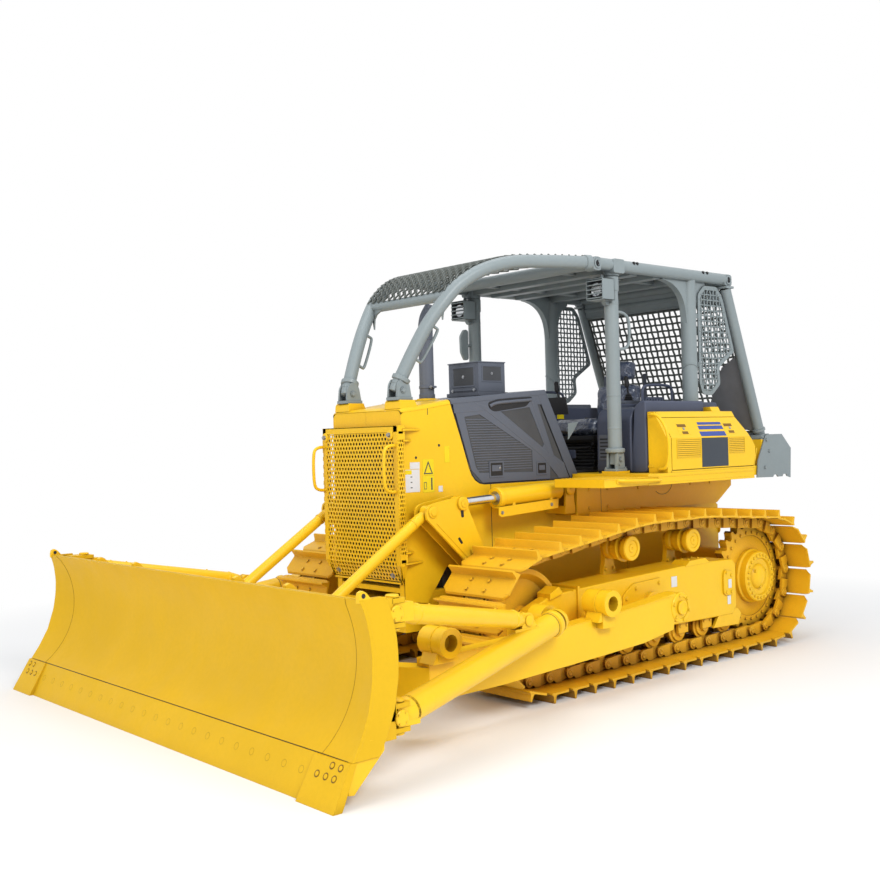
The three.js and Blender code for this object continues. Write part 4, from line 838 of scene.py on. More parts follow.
# ---------------------------------------------------------------- tracks
@dataclass
class Belt:
    """Line of the chain pins round sprocket, carrier rollers and idler."""

    wheels: tuple[Point, ...] = ((-0.375, 0.555, 0.440), (0.55, 0.925, 0.138), (1.3, 0.925, 0.138),
                                 (2.37, 0.517, 0.402))
    link_pitch: float = 0.2032
    runs: list[tuple[Point, float, float, float]] = field(default_factory=list)

    def __post_init__(self) -> None:
        """Works out the arcs and the straights between them."""
        normals, lengths = [], []
        for i, (x, z, r) in enumerate(self.wheels):
            nx, nz, nr = self.wheels[(i + 1) % len(self.wheels)]
            reach = math.hypot(nx - x, nz - z)
            ux, uz = (nx - x) / reach, (nz - z) / reach
            s = (r - nr) / reach
            c = math.sqrt(1 - s * s)
            normals.append(math.atan2(c * ux + s * uz, -c * uz + s * ux))
            lengths.append(reach * c)
        for i, wheel in enumerate(self.wheels):
            turn = (normals[i - 1] - normals[i]) % (2 * math.pi)
            self.runs.append((wheel, normals[i - 1], turn, turn * wheel[2]))
            self.runs.append((wheel, normals[i], 0.0, lengths[i]))
        self.length = sum(run[3] for run in self.runs)
        self.count = round(self.length / self.link_pitch)
        self.pitch = self.length / self.count

    def at(self, distance: float) -> Flat:
        """Station and height of the pin line.

        Args:
            distance: Length along the line from the sprocket's rear.

        Returns:
            (x, z).
        """
        rest = distance % self.length
        for (x, z, r), start, turn, length in self.runs:
            if rest <= length:
                break
            rest -= length
        normal = start - (rest / length * turn if turn else 0.0)
        slide = 0.0 if turn else rest
        return (x + r * math.cos(normal) + slide * math.sin(normal),
                z + r * math.sin(normal) - slide * math.cos(normal))

    def link(self, index: int) -> tuple[Flat, float]:
        """Middle and pitch angle of one link, from pin to pin."""
        a, b = self.at((index - 0.5) * self.pitch), self.at((index + 0.5) * self.pitch)
        return ((a[0] + b[0]) / 2, (a[1] + b[1]) / 2), math.atan2(a[1] - b[1], b[0] - a[0])


@dataclass
class Track:
    """One side's shoes, chain, wheels and track frame."""

    side: Side
    gauge: float = 0.94
    shoe_half: float = 0.305
    plate_out: float = 0.060
    tip_out: float = 0.115
    beam: Flat = (0.82, 1.12)
    teeth: int = 27
    belt: Belt = field(default_factory=Belt)

    def build(self) -> None:
        """Builds all pieces of the side."""
        self.loop()
        self.sprocket()
        self.idler()
        self.rollers()
        self.frame()

    def _name(self, part: str) -> str:
        """Name of a piece on this side."""
        return f"{part}_{self.side.word}"

    def shoe(self) -> Shape:
        """A single-grouser shoe round its link's middle, with clipped corners and four bolts."""
        p, t, out = self.belt.pitch, self.tip_out, self.plate_out
        profile = [(-0.49, out - 0.014), (-0.50, out - 0.002), (-0.435, out + 0.002), (-0.40, out + 0.012),
                   (-0.385, t - 0.003), (-0.375, t), (-0.31, t), (-0.30, t - 0.004), (-0.27, out + 0.012),
                   (-0.235, out + 0.001), (0.0, out), (0.33, out), (0.47, out - 0.005), (0.53, out - 0.016),
                   (0.52, out - 0.022), (0.42, out - 0.016), (0.0, out - 0.014), (-0.35, out - 0.014)]
        h = self.shoe_half
        rings = []
        for y, front, rear in ((-h, 0.34, -0.46), (-h + 0.035, 0.53, -0.50), (h - 0.035, 0.53, -0.50),
                               (h, 0.34, -0.46)):
            rings.append([Vector((p * max(rear, min(front, x)), y, z)) for x, z in profile])
        shape = Shape().solid(rings)
        for x in (-0.013, 0.062):
            for y in (-0.084, 0.084):
                shape.bolt((x, y, out - 0.001), (0, 0, 1), 0.0125, 0.011)
        return shape

    def chain_link(self) -> Shape:
        """A pair of link plates that step in towards the next link, with pin and bush."""
        half = self.belt.pitch / 2
        shape = Shape()
        rear = [(-half - 0.036, -0.014), (-half - 0.028, -0.033), (-half, -0.040), (-0.02, -0.044),
                (0.012, -0.044), (0.012, 0.044), (-0.045, 0.044), (-0.055, 0.030), (-half + 0.02, 0.022),
                (-half - 0.03, 0.016)]
        front = [(0.0, -0.045), (half - 0.03, -0.043), (half + 0.012, -0.038), (half + 0.034, -0.020),
                 (half + 0.036, 0.012), (half + 0.015, 0.034), (half - 0.02, 0.036), (0.045, 0.044),
                 (0.0, 0.044)]
        for s in (-1, 1):
            for outline, near, far in ((rear, 0.082, 0.105), (front, 0.060, 0.086)):
                low, high = sorted((s * near, s * far))
                shape.prism(outline, "y", low, high)
            shape.turned([(0.021, 0), (0.021, 0.010), (0.015, 0.012), (0.008, 0.009)],
                         (-half, s * 0.104, 0), (0, s, 0), 16)
            shape.turned([(0.036, 0), (0.036, 0.004), (0.026, 0.006)], (-half, s * 0.104, 0), (0, s, 0), 20)
        shape.bar((-half, -0.07, 0), (-half, 0.07, 0), 0.032, 16)
        return shape

    def loop(self) -> None:
        """Shoes and chain on the belt line."""
        y = self.gauge * self.side.value
        spots = [self.belt.link(i) for i in range(self.belt.count)]
        places = [((x, y, z), (0.0, angle, 0.0)) for (x, z), angle in spots]
        body = "chassis"
        REPEAT.piece(self.shoe(), places, self._name("shoes"), TRACK_YELLOW, body, "track_yellow",
                     [self._name("track")])
        REPEAT.piece(self.chain_link(), places, self._name("chain"), TRACK_YELLOW, body, "track_yellow")

    def sprocket(self) -> None:
        """Toothed rim in bolted segments, dished disc and hub cover."""
        (x, z, _), g = self.belt.wheels[0], self.gauge
        step = 2 * math.pi / self.teeth
        start = math.atan2(self.belt.link(0)[0][1] - z, self.belt.link(0)[0][0] - x)
        flank = ((-0.5, 0.402), (-0.33, 0.407), (-0.2, 0.430), (-0.12, 0.452), (0.12, 0.452), (0.2, 0.430),
                 (0.33, 0.407))
        rim, bore = [], []
        for k in range(self.teeth):
            for turn, reach in flank:
                a = start + (k + turn) * step
                rim.append((x + reach * math.cos(a), z + reach * math.sin(a)))
                bore.append((x + 0.335 * math.cos(a), z + 0.335 * math.sin(a)))
        shape = Shape().frame(rim, bore, "y", g - 0.034, g + 0.034)
        shape.turned([(0.21, -0.02), (0.352, -0.02), (0.352, 0.02), (0.33, 0.028), (0.25, 0.034),
                      (0.21, 0.034)],
                     (x, g, z), sides=48)
        for k in range(self.teeth):
            a = start + k * step
            shape.bolt((x + 0.358 * math.cos(a), g + 0.033, z + 0.358 * math.sin(a)), (0, 1, 0), 0.011,
                       0.012)
        shape.on(self.side).piece(self._name("sprocket_rim"), TRACK_YELLOW, "chassis", "track_yellow",
                                  [self._name("sprocket")])
        hub = Shape().turned([(0.2, -0.08), (0.2, -0.03), (0.222, -0.025), (0.222, 0.06), (0.208, 0.07),
                              (0.208, 0.122), (0.198, 0.132), (0.155, 0.136), (0.148, 0.120),
                              (0.105, 0.112), (0.098, 0.124),
                              (0.075, 0.141), (0.045, 0.151), (0.018, 0.154)], (x, g, z), sides=56)
        for k in range(24):
            a = 2 * math.pi * k / 24
            hub.bolt((x + 0.177 * math.cos(a), g + 0.133, z + 0.177 * math.sin(a)), (0, 1, 0), 0.0095,
                     0.011)
        for k in range(3):
            a = 0.6 + 2 * math.pi * k / 3
            hub.bolt((x + 0.085 * math.cos(a), g + 0.128, z + 0.085 * math.sin(a)), (0, 1, 0), 0.012, 0.014)
        hub.on(self.side).piece(self._name("hub_cover"), YELLOW, "chassis", "track_yellow")

    def idler(self) -> None:
        """Front idler wheel with its axle caps."""
        x, z, r = self.belt.wheels[3]
        rim = r - 0.047
        profile = [(0.045, -0.0895), (0.045, -0.075), (0.095, -0.072), (0.105, -0.035),
                   (rim - 0.07, -0.028), (rim - 0.05, -0.05), (rim - 0.035, -0.071), (rim, -0.071),
                   (rim, -0.04), (rim + 0.012, -0.034)]
        shape = Shape().turned(profile + [(a, -b) for a, b in reversed(profile)], (x, self.gauge, z),
                               sides=56)
        shape.on(self.side).piece(self._name("idler_wheel"), TRACK_YELLOW, "chassis", "track_yellow",
                                  [self._name("idler")])

    def rollers(self) -> None:
        """Track rollers under the frame and carrier rollers over it."""
        g = self.gauge
        low = [(0.0, -0.14), (0.045, -0.138), (0.05, -0.12), (0.082, -0.112), (0.086, -0.098),
               (0.103, -0.094), (0.103, -0.082), (0.088, -0.076), (0.088, -0.052), (0.072, -0.045)]
        wheels = Shape()
        for i in range(7):
            x = 0.11 + i * (1.95 - 0.11) / 6
            wheels.turned(low + [(a, -b) for a, b in reversed(low)], (x, g, 0.2525), sides=32)
            for s in (-1, 1):
                wheels.box(x - 0.06, x + 0.06, g + s * 0.141 - 0.012, g + s * 0.141 + 0.012, 0.235, 0.31)
                for dx in (-0.04, 0.04):
                    wheels.bolt((x + dx, g + s * 0.152, 0.29), (0, s, 0), 0.01, 0.009)
        wheels.on(self.side).piece(self._name("track_rollers"), TRACK_YELLOW, "chassis", "track_yellow")
        caps, stands = Shape(), Shape()
        for x, z, _ in self.belt.wheels[1:3]:
            caps.turned([(0.03, -0.075), (0.084, -0.07), (0.09, -0.06), (0.09, -0.028), (0.076, -0.02),
                         (0.076, 0.0), (0.09, 0.01), (0.09, 0.05), (0.102, 0.056), (0.102, 0.068),
                         (0.072, 0.074), (0.072, 0.096), (0.090, 0.1), (0.092, 0.138), (0.086, 0.146),
                         (0.062, 0.146), (0.059, 0.139), (0.034, 0.139),
                         (0.030, 0.145), (0.012, 0.145), (0.008, 0.139)], (x, g, z), sides=44)
            stands.prism([(x - 0.075, 0.70), (x + 0.075, 0.70), (x + 0.05, 0.82), (x + 0.045, z),
                          (x - 0.045, z), (x - 0.05, 0.82)], "y", g - 0.115, g - 0.075)
            stands.bar((x, g - 0.12, z), (x, g - 0.06, z), 0.05, 24)
            for dx in (-0.045, 0.045):
                stands.bolt((x + dx, g - 0.074, 0.765), (0, 1, 0), 0.012, 0.012)
        caps.on(self.side).piece(self._name("carrier_rollers"), YELLOW, "chassis", "track_yellow")
        stands.on(self.side).piece(self._name("carrier_stands"), YELLOW, "chassis", "track_yellow")

    def frame(self) -> None:
        """Welded track frame with its covers, guards, cheeks and labels."""
        inner, outer = self.beam
        end = 1.993
        beam = Shape()
        beam.prism([(0.10, 0.305), (0.05, 0.36), (0.05, 0.70), (0.09, 0.742), (0.52, 0.755), (1.46, 0.722),
                    (end, 0.70), (end, 0.33)], "y", inner, outer)
        for low, high in ((self.gauge + 0.09, outer), (inner - 0.05, self.gauge - 0.09)):
            beam.prism(rounded([(end - 0.02, 0.33), (end - 0.02, 0.70), (end + 0.232, 0.685), (2.46, 0.60),
                                (2.46, 0.43), (end + 0.232, 0.33)], 0.05), "y", low, high)
        beam.box(0.25, 0.42, 0.405, inner + 0.01, 0.43, 0.62)
        beam.on(self.side).piece(self._name("frame_beam"), YELLOW, "chassis", "body_yellow",
                                 [self._name("track_frame")], bevel=0.010)
        trim = Shape()
        trim.box(end - 0.05, end - 0.03, inner - 0.004, outer + 0.012, 0.31, 0.722)
        trim.prism(rounded([(1.02, 0.45), (1.02, 0.69), (1.36, 0.675), (1.48, 0.60), (1.48, 0.45)], 0.03),
                   "y", outer - 0.002, outer + 0.012)
        trim.prism([(0.40, 0.745), (0.72, 0.738), (0.66, 0.778), (0.46, 0.784)], "y", outer - 0.14,
                   outer + 0.004)
        trim.prism(rounded([(0.095, 0.46), (0.095, 0.64), (0.215, 0.67), (0.235, 0.62), (0.235, 0.47)],
                           0.035), "y",
                   outer - 0.002, outer + 0.014)
        trim.prism([(0.30, 0.30), (0.36, 0.225), (0.02, 0.215), (-0.02, 0.30), (0.03, 0.345),
                    (0.25, 0.345)], "y",
                   outer - 0.03, outer - 0.005)
        trim.prism([(1.70, 0.345), (1.62, 0.245), (2.24, 0.235), (2.36, 0.30), (2.30, 0.345)], "y",
                   outer - 0.03, outer - 0.006)
        trim.prism([(2.12, 0.69), (2.16, 0.74), (2.25, 0.70), (2.25, 0.66)], "y", outer - 0.10,
                   outer + 0.02)
        trim.turned([(0.092, -0.01), (0.092, 0.038), (0.078, 0.044)], (1.16, outer, 0.507), sides=36)
        trim.turned([(0.05, 0.03), (0.05, 0.294), (0.042, 0.298), (0.03, 0.292)], (1.16, outer, 0.507),
                    sides=36)
        bolts = [(0.135, 0.49), (0.135, 0.62), (0.20, 0.645), (0.20, 0.49)]
        bolts += [(1.06, 0.655), (1.33, 0.64), (1.44, 0.575), (1.06, 0.49), (1.44, 0.49)]
        for x, z in bolts:
            trim.bolt((x, outer + 0.012, z), (0, 1, 0), 0.012, 0.011)
        for x, y, z in ((0.50, 1.02, 0.784), (0.62, 1.02, 0.780), (0.50, 1.08, 0.784), (0.62, 1.08, 0.78)):
            trim.bolt((x, y, z - 0.003), (0, 0, 1), 0.011, 0.011)
        trim.on(self.side).piece(self._name("frame_covers"), YELLOW, "chassis", "body_yellow", bevel=0.003)
        labels = Shape()
        for x, z, w, h in ((0.155, 0.555, 0.045, 0.07), (0.15, 0.425, 0.045, 0.07),
                           (1.70, 0.60, 0.06, 0.09), (1.70, 0.50, 0.055, 0.05), (0.86, 0.64, 0.07, 0.08)):
            y = outer + (0.0148 if x == 0.155 else 0.0005)
            labels.box(x - w / 2, x + w / 2, y, y + 0.0008, z - h / 2, z + h / 2)
        labels.on(self.side).piece(self._name("frame_labels"), LABEL_WHITE, "chassis", "body_yellow")


# ---------------------------------------------------------------- body
HOOD_TOP: tuple[Flat, ...] = ((1.43, 2.118), (2.42, 2.040), (2.67, 2.003), (2.884, 1.980))


def hood_top(x: float) -> float:
    """Height of the hood's top sheet at a station."""
    for (x0, z0), (x1, z1) in zip(HOOD_TOP, HOOD_TOP[1:]):
        if x <= x1:
            return z0 + (z1 - z0) * (x - x0) / (x1 - x0)
    return HOOD_TOP[-1][1]


def cell(width: float, height: float, hole: Flat, thick: float, sides: int = 12) -> Shape:
    """One closed cell of perforated sheet that faces forward, with a hole through it.

    Args:
        width: Cell width across the machine.
        height: Cell height.
        hole: Half width and half height of the hole.
        thick: Sheet thickness.
        sides: Facets round the hole; a multiple of four.

    Returns:
        The cell round its own middle.
    """
    shape = Shape()
    rings = []
    for k in range(sides):
        t = 2 * math.pi * (k + 0.5) / sides
        c, s = math.cos(t), math.sin(t)
        reach = max(abs(c), abs(s))
        edge = (c / reach * width / 2, s / reach * height / 2)
        rim = (c * hole[0], s * hole[1])
        rings.append([Vector((0, *rim)), Vector((0, *edge)), Vector((-thick, *edge)),
                      Vector((-thick, *rim))])
    return shape.solid(rings, closed=True)


@dataclass
class Nose:
    """Hood shell with nose, pads, hinge ears, seams and labels."""

    half: float = 0.388
    sheet: float = 0.008
    front: float = 2.884
    low: float = 0.655

    def build(self) -> None:
        """Builds the pieces."""
        self.shell()
        self.fittings()
        self.labels()

    def shell(self) -> None:
        """Top sheet with rounded shoulders, nose sides and front band."""
        shape = Shape()
        side = [(2.043, 0.855), (2.50, 0.855), (2.68, 0.62), (self.front, self.low), (self.front, 1.953),
                (2.67, hood_top(2.67) - 0.031), (2.424, hood_top(2.424) - 0.031), (2.247, 1.535)]
        for k in range(1, 9):
            t = k / 8
            side.append(((1 - t) ** 2 * 2.247 + 2 * t * (1 - t) * 2.212 + t * t * 2.110,
                         (1 - t) ** 2 * 1.535 + 2 * t * (1 - t) * 1.426 + t * t * 1.422))
        side.append((2.043, 1.422))
        shape.prism(side, "y", self.half - self.sheet, self.half)
        shape.prism([(y, z) for y, z in ((0.0, 1.845), (0.38, 1.845), (0.38, 1.94), (0.36, 1.962),
                                         (0.0, 1.962))], "x",
                    self.front - 0.016, self.front - 0.001)
        shape.box(self.front - 0.016, self.front, 0.33, 0.386, self.low, 1.858)
        shape.box(self.front - 0.19, self.front - 0.001, 0.0, 0.386, 0.705, 0.74)
        shape.mirror()
        self.top(shape, ((2.424, 0.034), (2.67, 0.034), (2.862, 0.034), (2.884, 0.022)))
        shape.piece("hood_shell", YELLOW, "chassis", "body_yellow", ["hood"])
        self.top(Shape(), ((1.43, 0.006), (1.9, 0.006), (2.422, 0.006))).piece("hood_top_rear", PANEL_GREY,
                                                                               "chassis", "body_yellow")

    def top(self, shape: Shape, stations: Sequence[Flat]) -> Shape:
        """Adds the top sheet between stations given with their shoulder radius."""
        rings = []
        for x, radius in stations:
            top = hood_top(x) - (0.012 if x > 2.88 else 0.0)
            outer = [(self.half, top - 0.035)]
            for k in range(6):
                a = math.pi / 2 * k / 5
                outer.append((self.half - radius + radius * math.cos(a),
                              top - radius + radius * math.sin(a)))
            inner = [(y - 0.006, z - 0.005 * (i > 0)) for i, (y, z) in enumerate(outer)]
            path = outer + [(-y, z) for y, z in reversed(outer)] + [(-y, z) for y, z in inner] + inner[::-1]
            rings.append([Vector((x, y, z)) for y, z in path])
        return shape.solid(rings)

    def fittings(self) -> None:
        """Pads for sweeps, exhaust and air box, and the guard's hinge fins."""
        shape = Shape()
        for s in (1, -1):
            low, high = sorted((s * 0.205, s * 0.372))
            shape.prism([(2.715, 1.985), (2.735, 2.024), (2.745, 2.035), (2.86, 2.035), (2.872, 2.022),
                         (2.878, 1.975)],
                        "y", low, high)
            for x in (2.735, 2.858):
                for y in (0.222, 0.356):
                    shape.bolt((x, s * y, 2.026), (0, 0, 1), 0.009, 0.010)
        fin = [(2.914, 0.438), (2.90, 0.444), (2.868, 0.440), (2.72, 0.394), (2.715, 0.386), (2.89, 0.386)]
        for z in (0.9075, 1.8205):
            shape.prism(fin, "z", z, z + 0.012)
        ear = [(2.908, 0.438), (2.868, 0.438), (2.80, 0.394), (2.80, 0.386), (2.90, 0.386)]
        for z in (0.9805, 1.7475):
            shape.prism(ear, "z", z, z + 0.012)
        for z in (0.905, 1.745):
            shape.turned([(0.007, -0.004), (0.007, 0.092), (0.011, 0.092), (0.011, 0.100)],
                         (*GUARD_PIN, z), (0, 0, 1), 16)
        shape.turned([(0.105, -0.02), (0.105, 0.006), (0.075, 0.012), (0.075, 0.016)], (2.30, 0, 2.046),
                     (0, 0, 1), 36)
        for k in range(6):
            a = math.pi * k / 3
            shape.bolt((2.30 + 0.09 * math.cos(a), 0.09 * math.sin(a), 2.05), (0, 0, 1), 0.008, 0.008)
        shape.piece("hood_fittings", YELLOW, "chassis", "body_yellow", bevel=0.003)
        seams = Shape()
        y = self.half + 0.0006
        for x, z0, z1 in ((2.043, 0.86, 1.42), (2.64, 1.93, 1.975)):
            seams.box(x - 0.0025, x + 0.0025, y - 0.003, y, z0, z1)
        seams.mirror()
        for x, z in ((2.757, 1.634), (2.541, 1.715)):
            seams.turned([(0.010, -0.002), (0.010, 0.0008)], (x, self.half, z), (0, 1, 0), 18)
        seams.box(self.front - 0.0005, self.front + 0.0006, -0.385, 0.385, 1.843, 1.847)
        seams.piece("hood_seams", BLACK, "chassis", "body_yellow")

    def labels(self) -> None:
        """Blank labels on the nose's left side."""
        y = self.half
        white, warm = Shape(), Shape()
        for x0, x1, z0, z1 in ((2.728, 2.872, 1.397, 1.553), (2.726, 2.814, 1.556, 1.603),
                               (2.517, 2.556, 1.388, 1.430)):
            white.box(x0, x1, y + 0.0002, y + 0.001, z0, z1)
        for x0, x1, z0, z1 in ((2.595, 2.700, 1.508, 1.622), (2.595, 2.700, 1.389, 1.505),
                               (2.443, 2.492, 1.592, 1.711)):
            warm.box(x0, x1, y + 0.0002, y + 0.001, z0, z1)
        warm.box(2.800, 2.868, y + 0.001, y + 0.0014, 1.520, 1.549)
        white.piece("nose_labels_white", LABEL_WHITE, "chassis", "body_yellow")
        warm.piece("nose_labels_yellow", LABEL_YELLOW, "chassis", "body_yellow")
        marks = Shape()
        marks.frame([(2.690, 1.517), (2.605, 1.517), (2.6475, 1.610)],
                    [(2.677, 1.524), (2.618, 1.524), (2.6475, 1.590)], "y", y + 0.001, y + 0.0013)
        marks.box(2.612, 2.624, y + 0.001, y + 0.0013, 1.405, 1.490)
        marks.frame([(2.690, 1.412), (2.665, 1.412), (2.665, 1.462), (2.690, 1.462)],
                    [(2.686, 1.416), (2.669, 1.416), (2.669, 1.458), (2.686, 1.458)], "y", y + 0.001,
                    y + 0.0013)
        for z in (1.425, 1.462, 1.499):
            marks.box(2.796, 2.812, y + 0.001, y + 0.0013, z, z + 0.007)
        marks.piece("nose_label_marks", PLATE_DARK, "chassis", "body_yellow")


@dataclass
class Guard:
    """Perforated radiator guard with folded foot, side returns, handles and knuckles."""

    half: float = 0.43
    front: float = 2.956
    rear: float = 2.891
    top: float = 1.858
    fold: float = 0.90
    low: float = 0.772
    cell_width: float = 0.034
    cell_height: float = 0.0294

    def build(self) -> None:
        """Builds rim, sheets and handles."""
        self.rim()
        self.sheets()
        self.handles()

    def rim(self) -> None:
        """Folded edge strips and returns."""
        shape = Shape()
        f, r, h = self.front, self.rear, self.half
        for s in (1, -1):
            shape.box(f - 0.010, f, *sorted((s * 0.386, s * (h - 0.004))), self.fold, self.top)
            shape.box(f - 0.012, f - 0.004, *sorted((s * (h - 0.012), s * h)), self.fold, self.top)
            shape.box(r, r + 0.008, *sorted((s * (h - 0.006), s * h)), self.fold, self.top)
            shape.box(r, f - 0.006, *sorted((s * (h - 0.0055), s * (h + 0.0005))), 1.80, self.top)
            shape.box(r, f - 0.006, *sorted((s * (h - 0.0055), s * (h + 0.0005))), self.fold - 0.002, 0.945)
            rings = [[Vector((x, s * y, z)) for x, z in ((f, self.fold), (f - 0.01, self.fold),
                                                         (f - 0.062, self.low),
                                                         (f - 0.052, self.low))] for y in (0.386, h)]
            rings[1] = [Vector((p.x, s * (h - (0.055 if p.z < 0.8 else 0.0)), p.z)) for p in rings[1]]
            shape.solid(rings)
            side = [(f, self.fold), (f - 0.052, self.low), (r, self.low), (r, self.fold)]
            shape.solid([[Vector((x, s * (h - (0.055 if z < 0.8 else 0.0) - d), z)) for x, z in side]
                          for d in (0.0, 0.006)])
        shape.box(r, f, -h, h, self.top - 0.008, self.top)
        shape.box(f - 0.010, f, -h + 0.004, h - 0.004, self.top - 0.045, self.top)
        shape.box(f - 0.064, f - 0.044, -0.376, 0.376, self.low - 0.001, self.low + 0.012)
        for z in (0.920, 1.760):
            shape.turned([(0.0095, 0), (0.0095, 0.06)], (*GUARD_PIN, z), (0, 0, 1), 18)
            shape.box(2.896, 2.946, 0.421, 0.4305, z, z + 0.06)
        for y, z in ((0.352, 1.795), (-0.395, 1.79)):
            shape.turned([(0.034, -0.008), (0.034, 0.004), (0.026, 0.008)], (f, y, z), (1, 0, 0), 24)
        shape.piece("guard_rim", YELLOW, "guard_door", "body_yellow", ["radiator_guard"], bevel=0.002)

    def sheets(self) -> None:
        """Perforated sheet on the front, the folded foot and both returns."""
        w, h = self.cell_width, self.cell_height
        spots: list[tuple[Point, Point]] = []
        rows = int((self.top - 0.03 - self.fold) / h)
        for j in range(rows):
            shift = w / 4 if j % 2 else -w / 4
            for i in range(24):
                spots.append(((self.front - 0.003, -0.391 + shift + w * i, self.fold + h * (j + 0.5)),
                              NO_TURN))
        drop = math.atan2(0.052, self.fold - self.low)
        for j in range(4):
            along = h * (j + 0.5)
            count = 24 - round(0.8 * j)
            shift = w / 4 if j % 2 else -w / 4
            for i in range(count):
                y = shift + w * (i - (count - 1) / 2)
                spots.append(((self.front - 0.003 - along * math.sin(drop), y,
                               self.fold - along * math.cos(drop)),
                              (0.0, drop, 0.0)))
        REPEAT.piece(cell(w, h, (0.0108, 0.0108), 0.005), spots, "guard_sheet", YELLOW, "guard_door",
                     "body_yellow", weld=True)
        side: list[tuple[Point, Point]] = []
        for j in range(int((1.80 - 0.945) / h)):
            shift = 0.0047 if j % 2 else -0.0047
            for i in range(3):
                x = self.rear + 0.014 + shift + 0.0187 * i
                for s in (1, -1):
                    side.append(((x, s * (self.half - 0.0005), 0.945 + h * (j + 0.5)),
                                 (0.0, 0.0, s * math.pi / 2)))
        REPEAT.piece(cell(0.0187, h, (0.0062, 0.0108), 0.004), side, "guard_returns", YELLOW, "guard_door",
                     "body_yellow", weld=True)

    def handles(self) -> None:
        """Two grab handles and the corner bolts."""
        shape = Shape()
        f = self.front
        for y in (0.402, -0.412):
            line = [(f - 0.004, y, 1.722), (f + 0.045, y, 1.720), (f + 0.082, y, 1.702),
                    (f + 0.095, y, 1.66), (f + 0.095, y, 1.47), (f + 0.082, y, 1.428), (f + 0.045, y, 1.41),
                    (f - 0.004, y, 1.408)]
            shape.tube(smooth_line(line, 30), 0.0115, 14)
            for z in (1.722, 1.408):
                shape.turned([(0.018, -0.002), (0.018, 0.004)], (f, y, z), (1, 0, 0), 18)
        shape.piece("guard_handles", YELLOW, "guard_door", "body_yellow")
        bolts = Shape()
        for y, z in ((0.352, 1.795), (-0.395, 1.79)):
            bolts.bolt((f + 0.007, y, z), (1, 0, 0), 0.013, 0.016)
        for y in (0.31, -0.31):
            bolts.bolt((f - 0.032, y, 0.832), (1, 0, -0.35), 0.013, 0.014)
            bolts.turned([(0.022, 0), (0.022, 0.004)], (f - 0.034, y, 0.833), (1, 0, -0.35), 18)
        bolts.piece("guard_bolts", STEEL, "guard_door", "body_yellow")


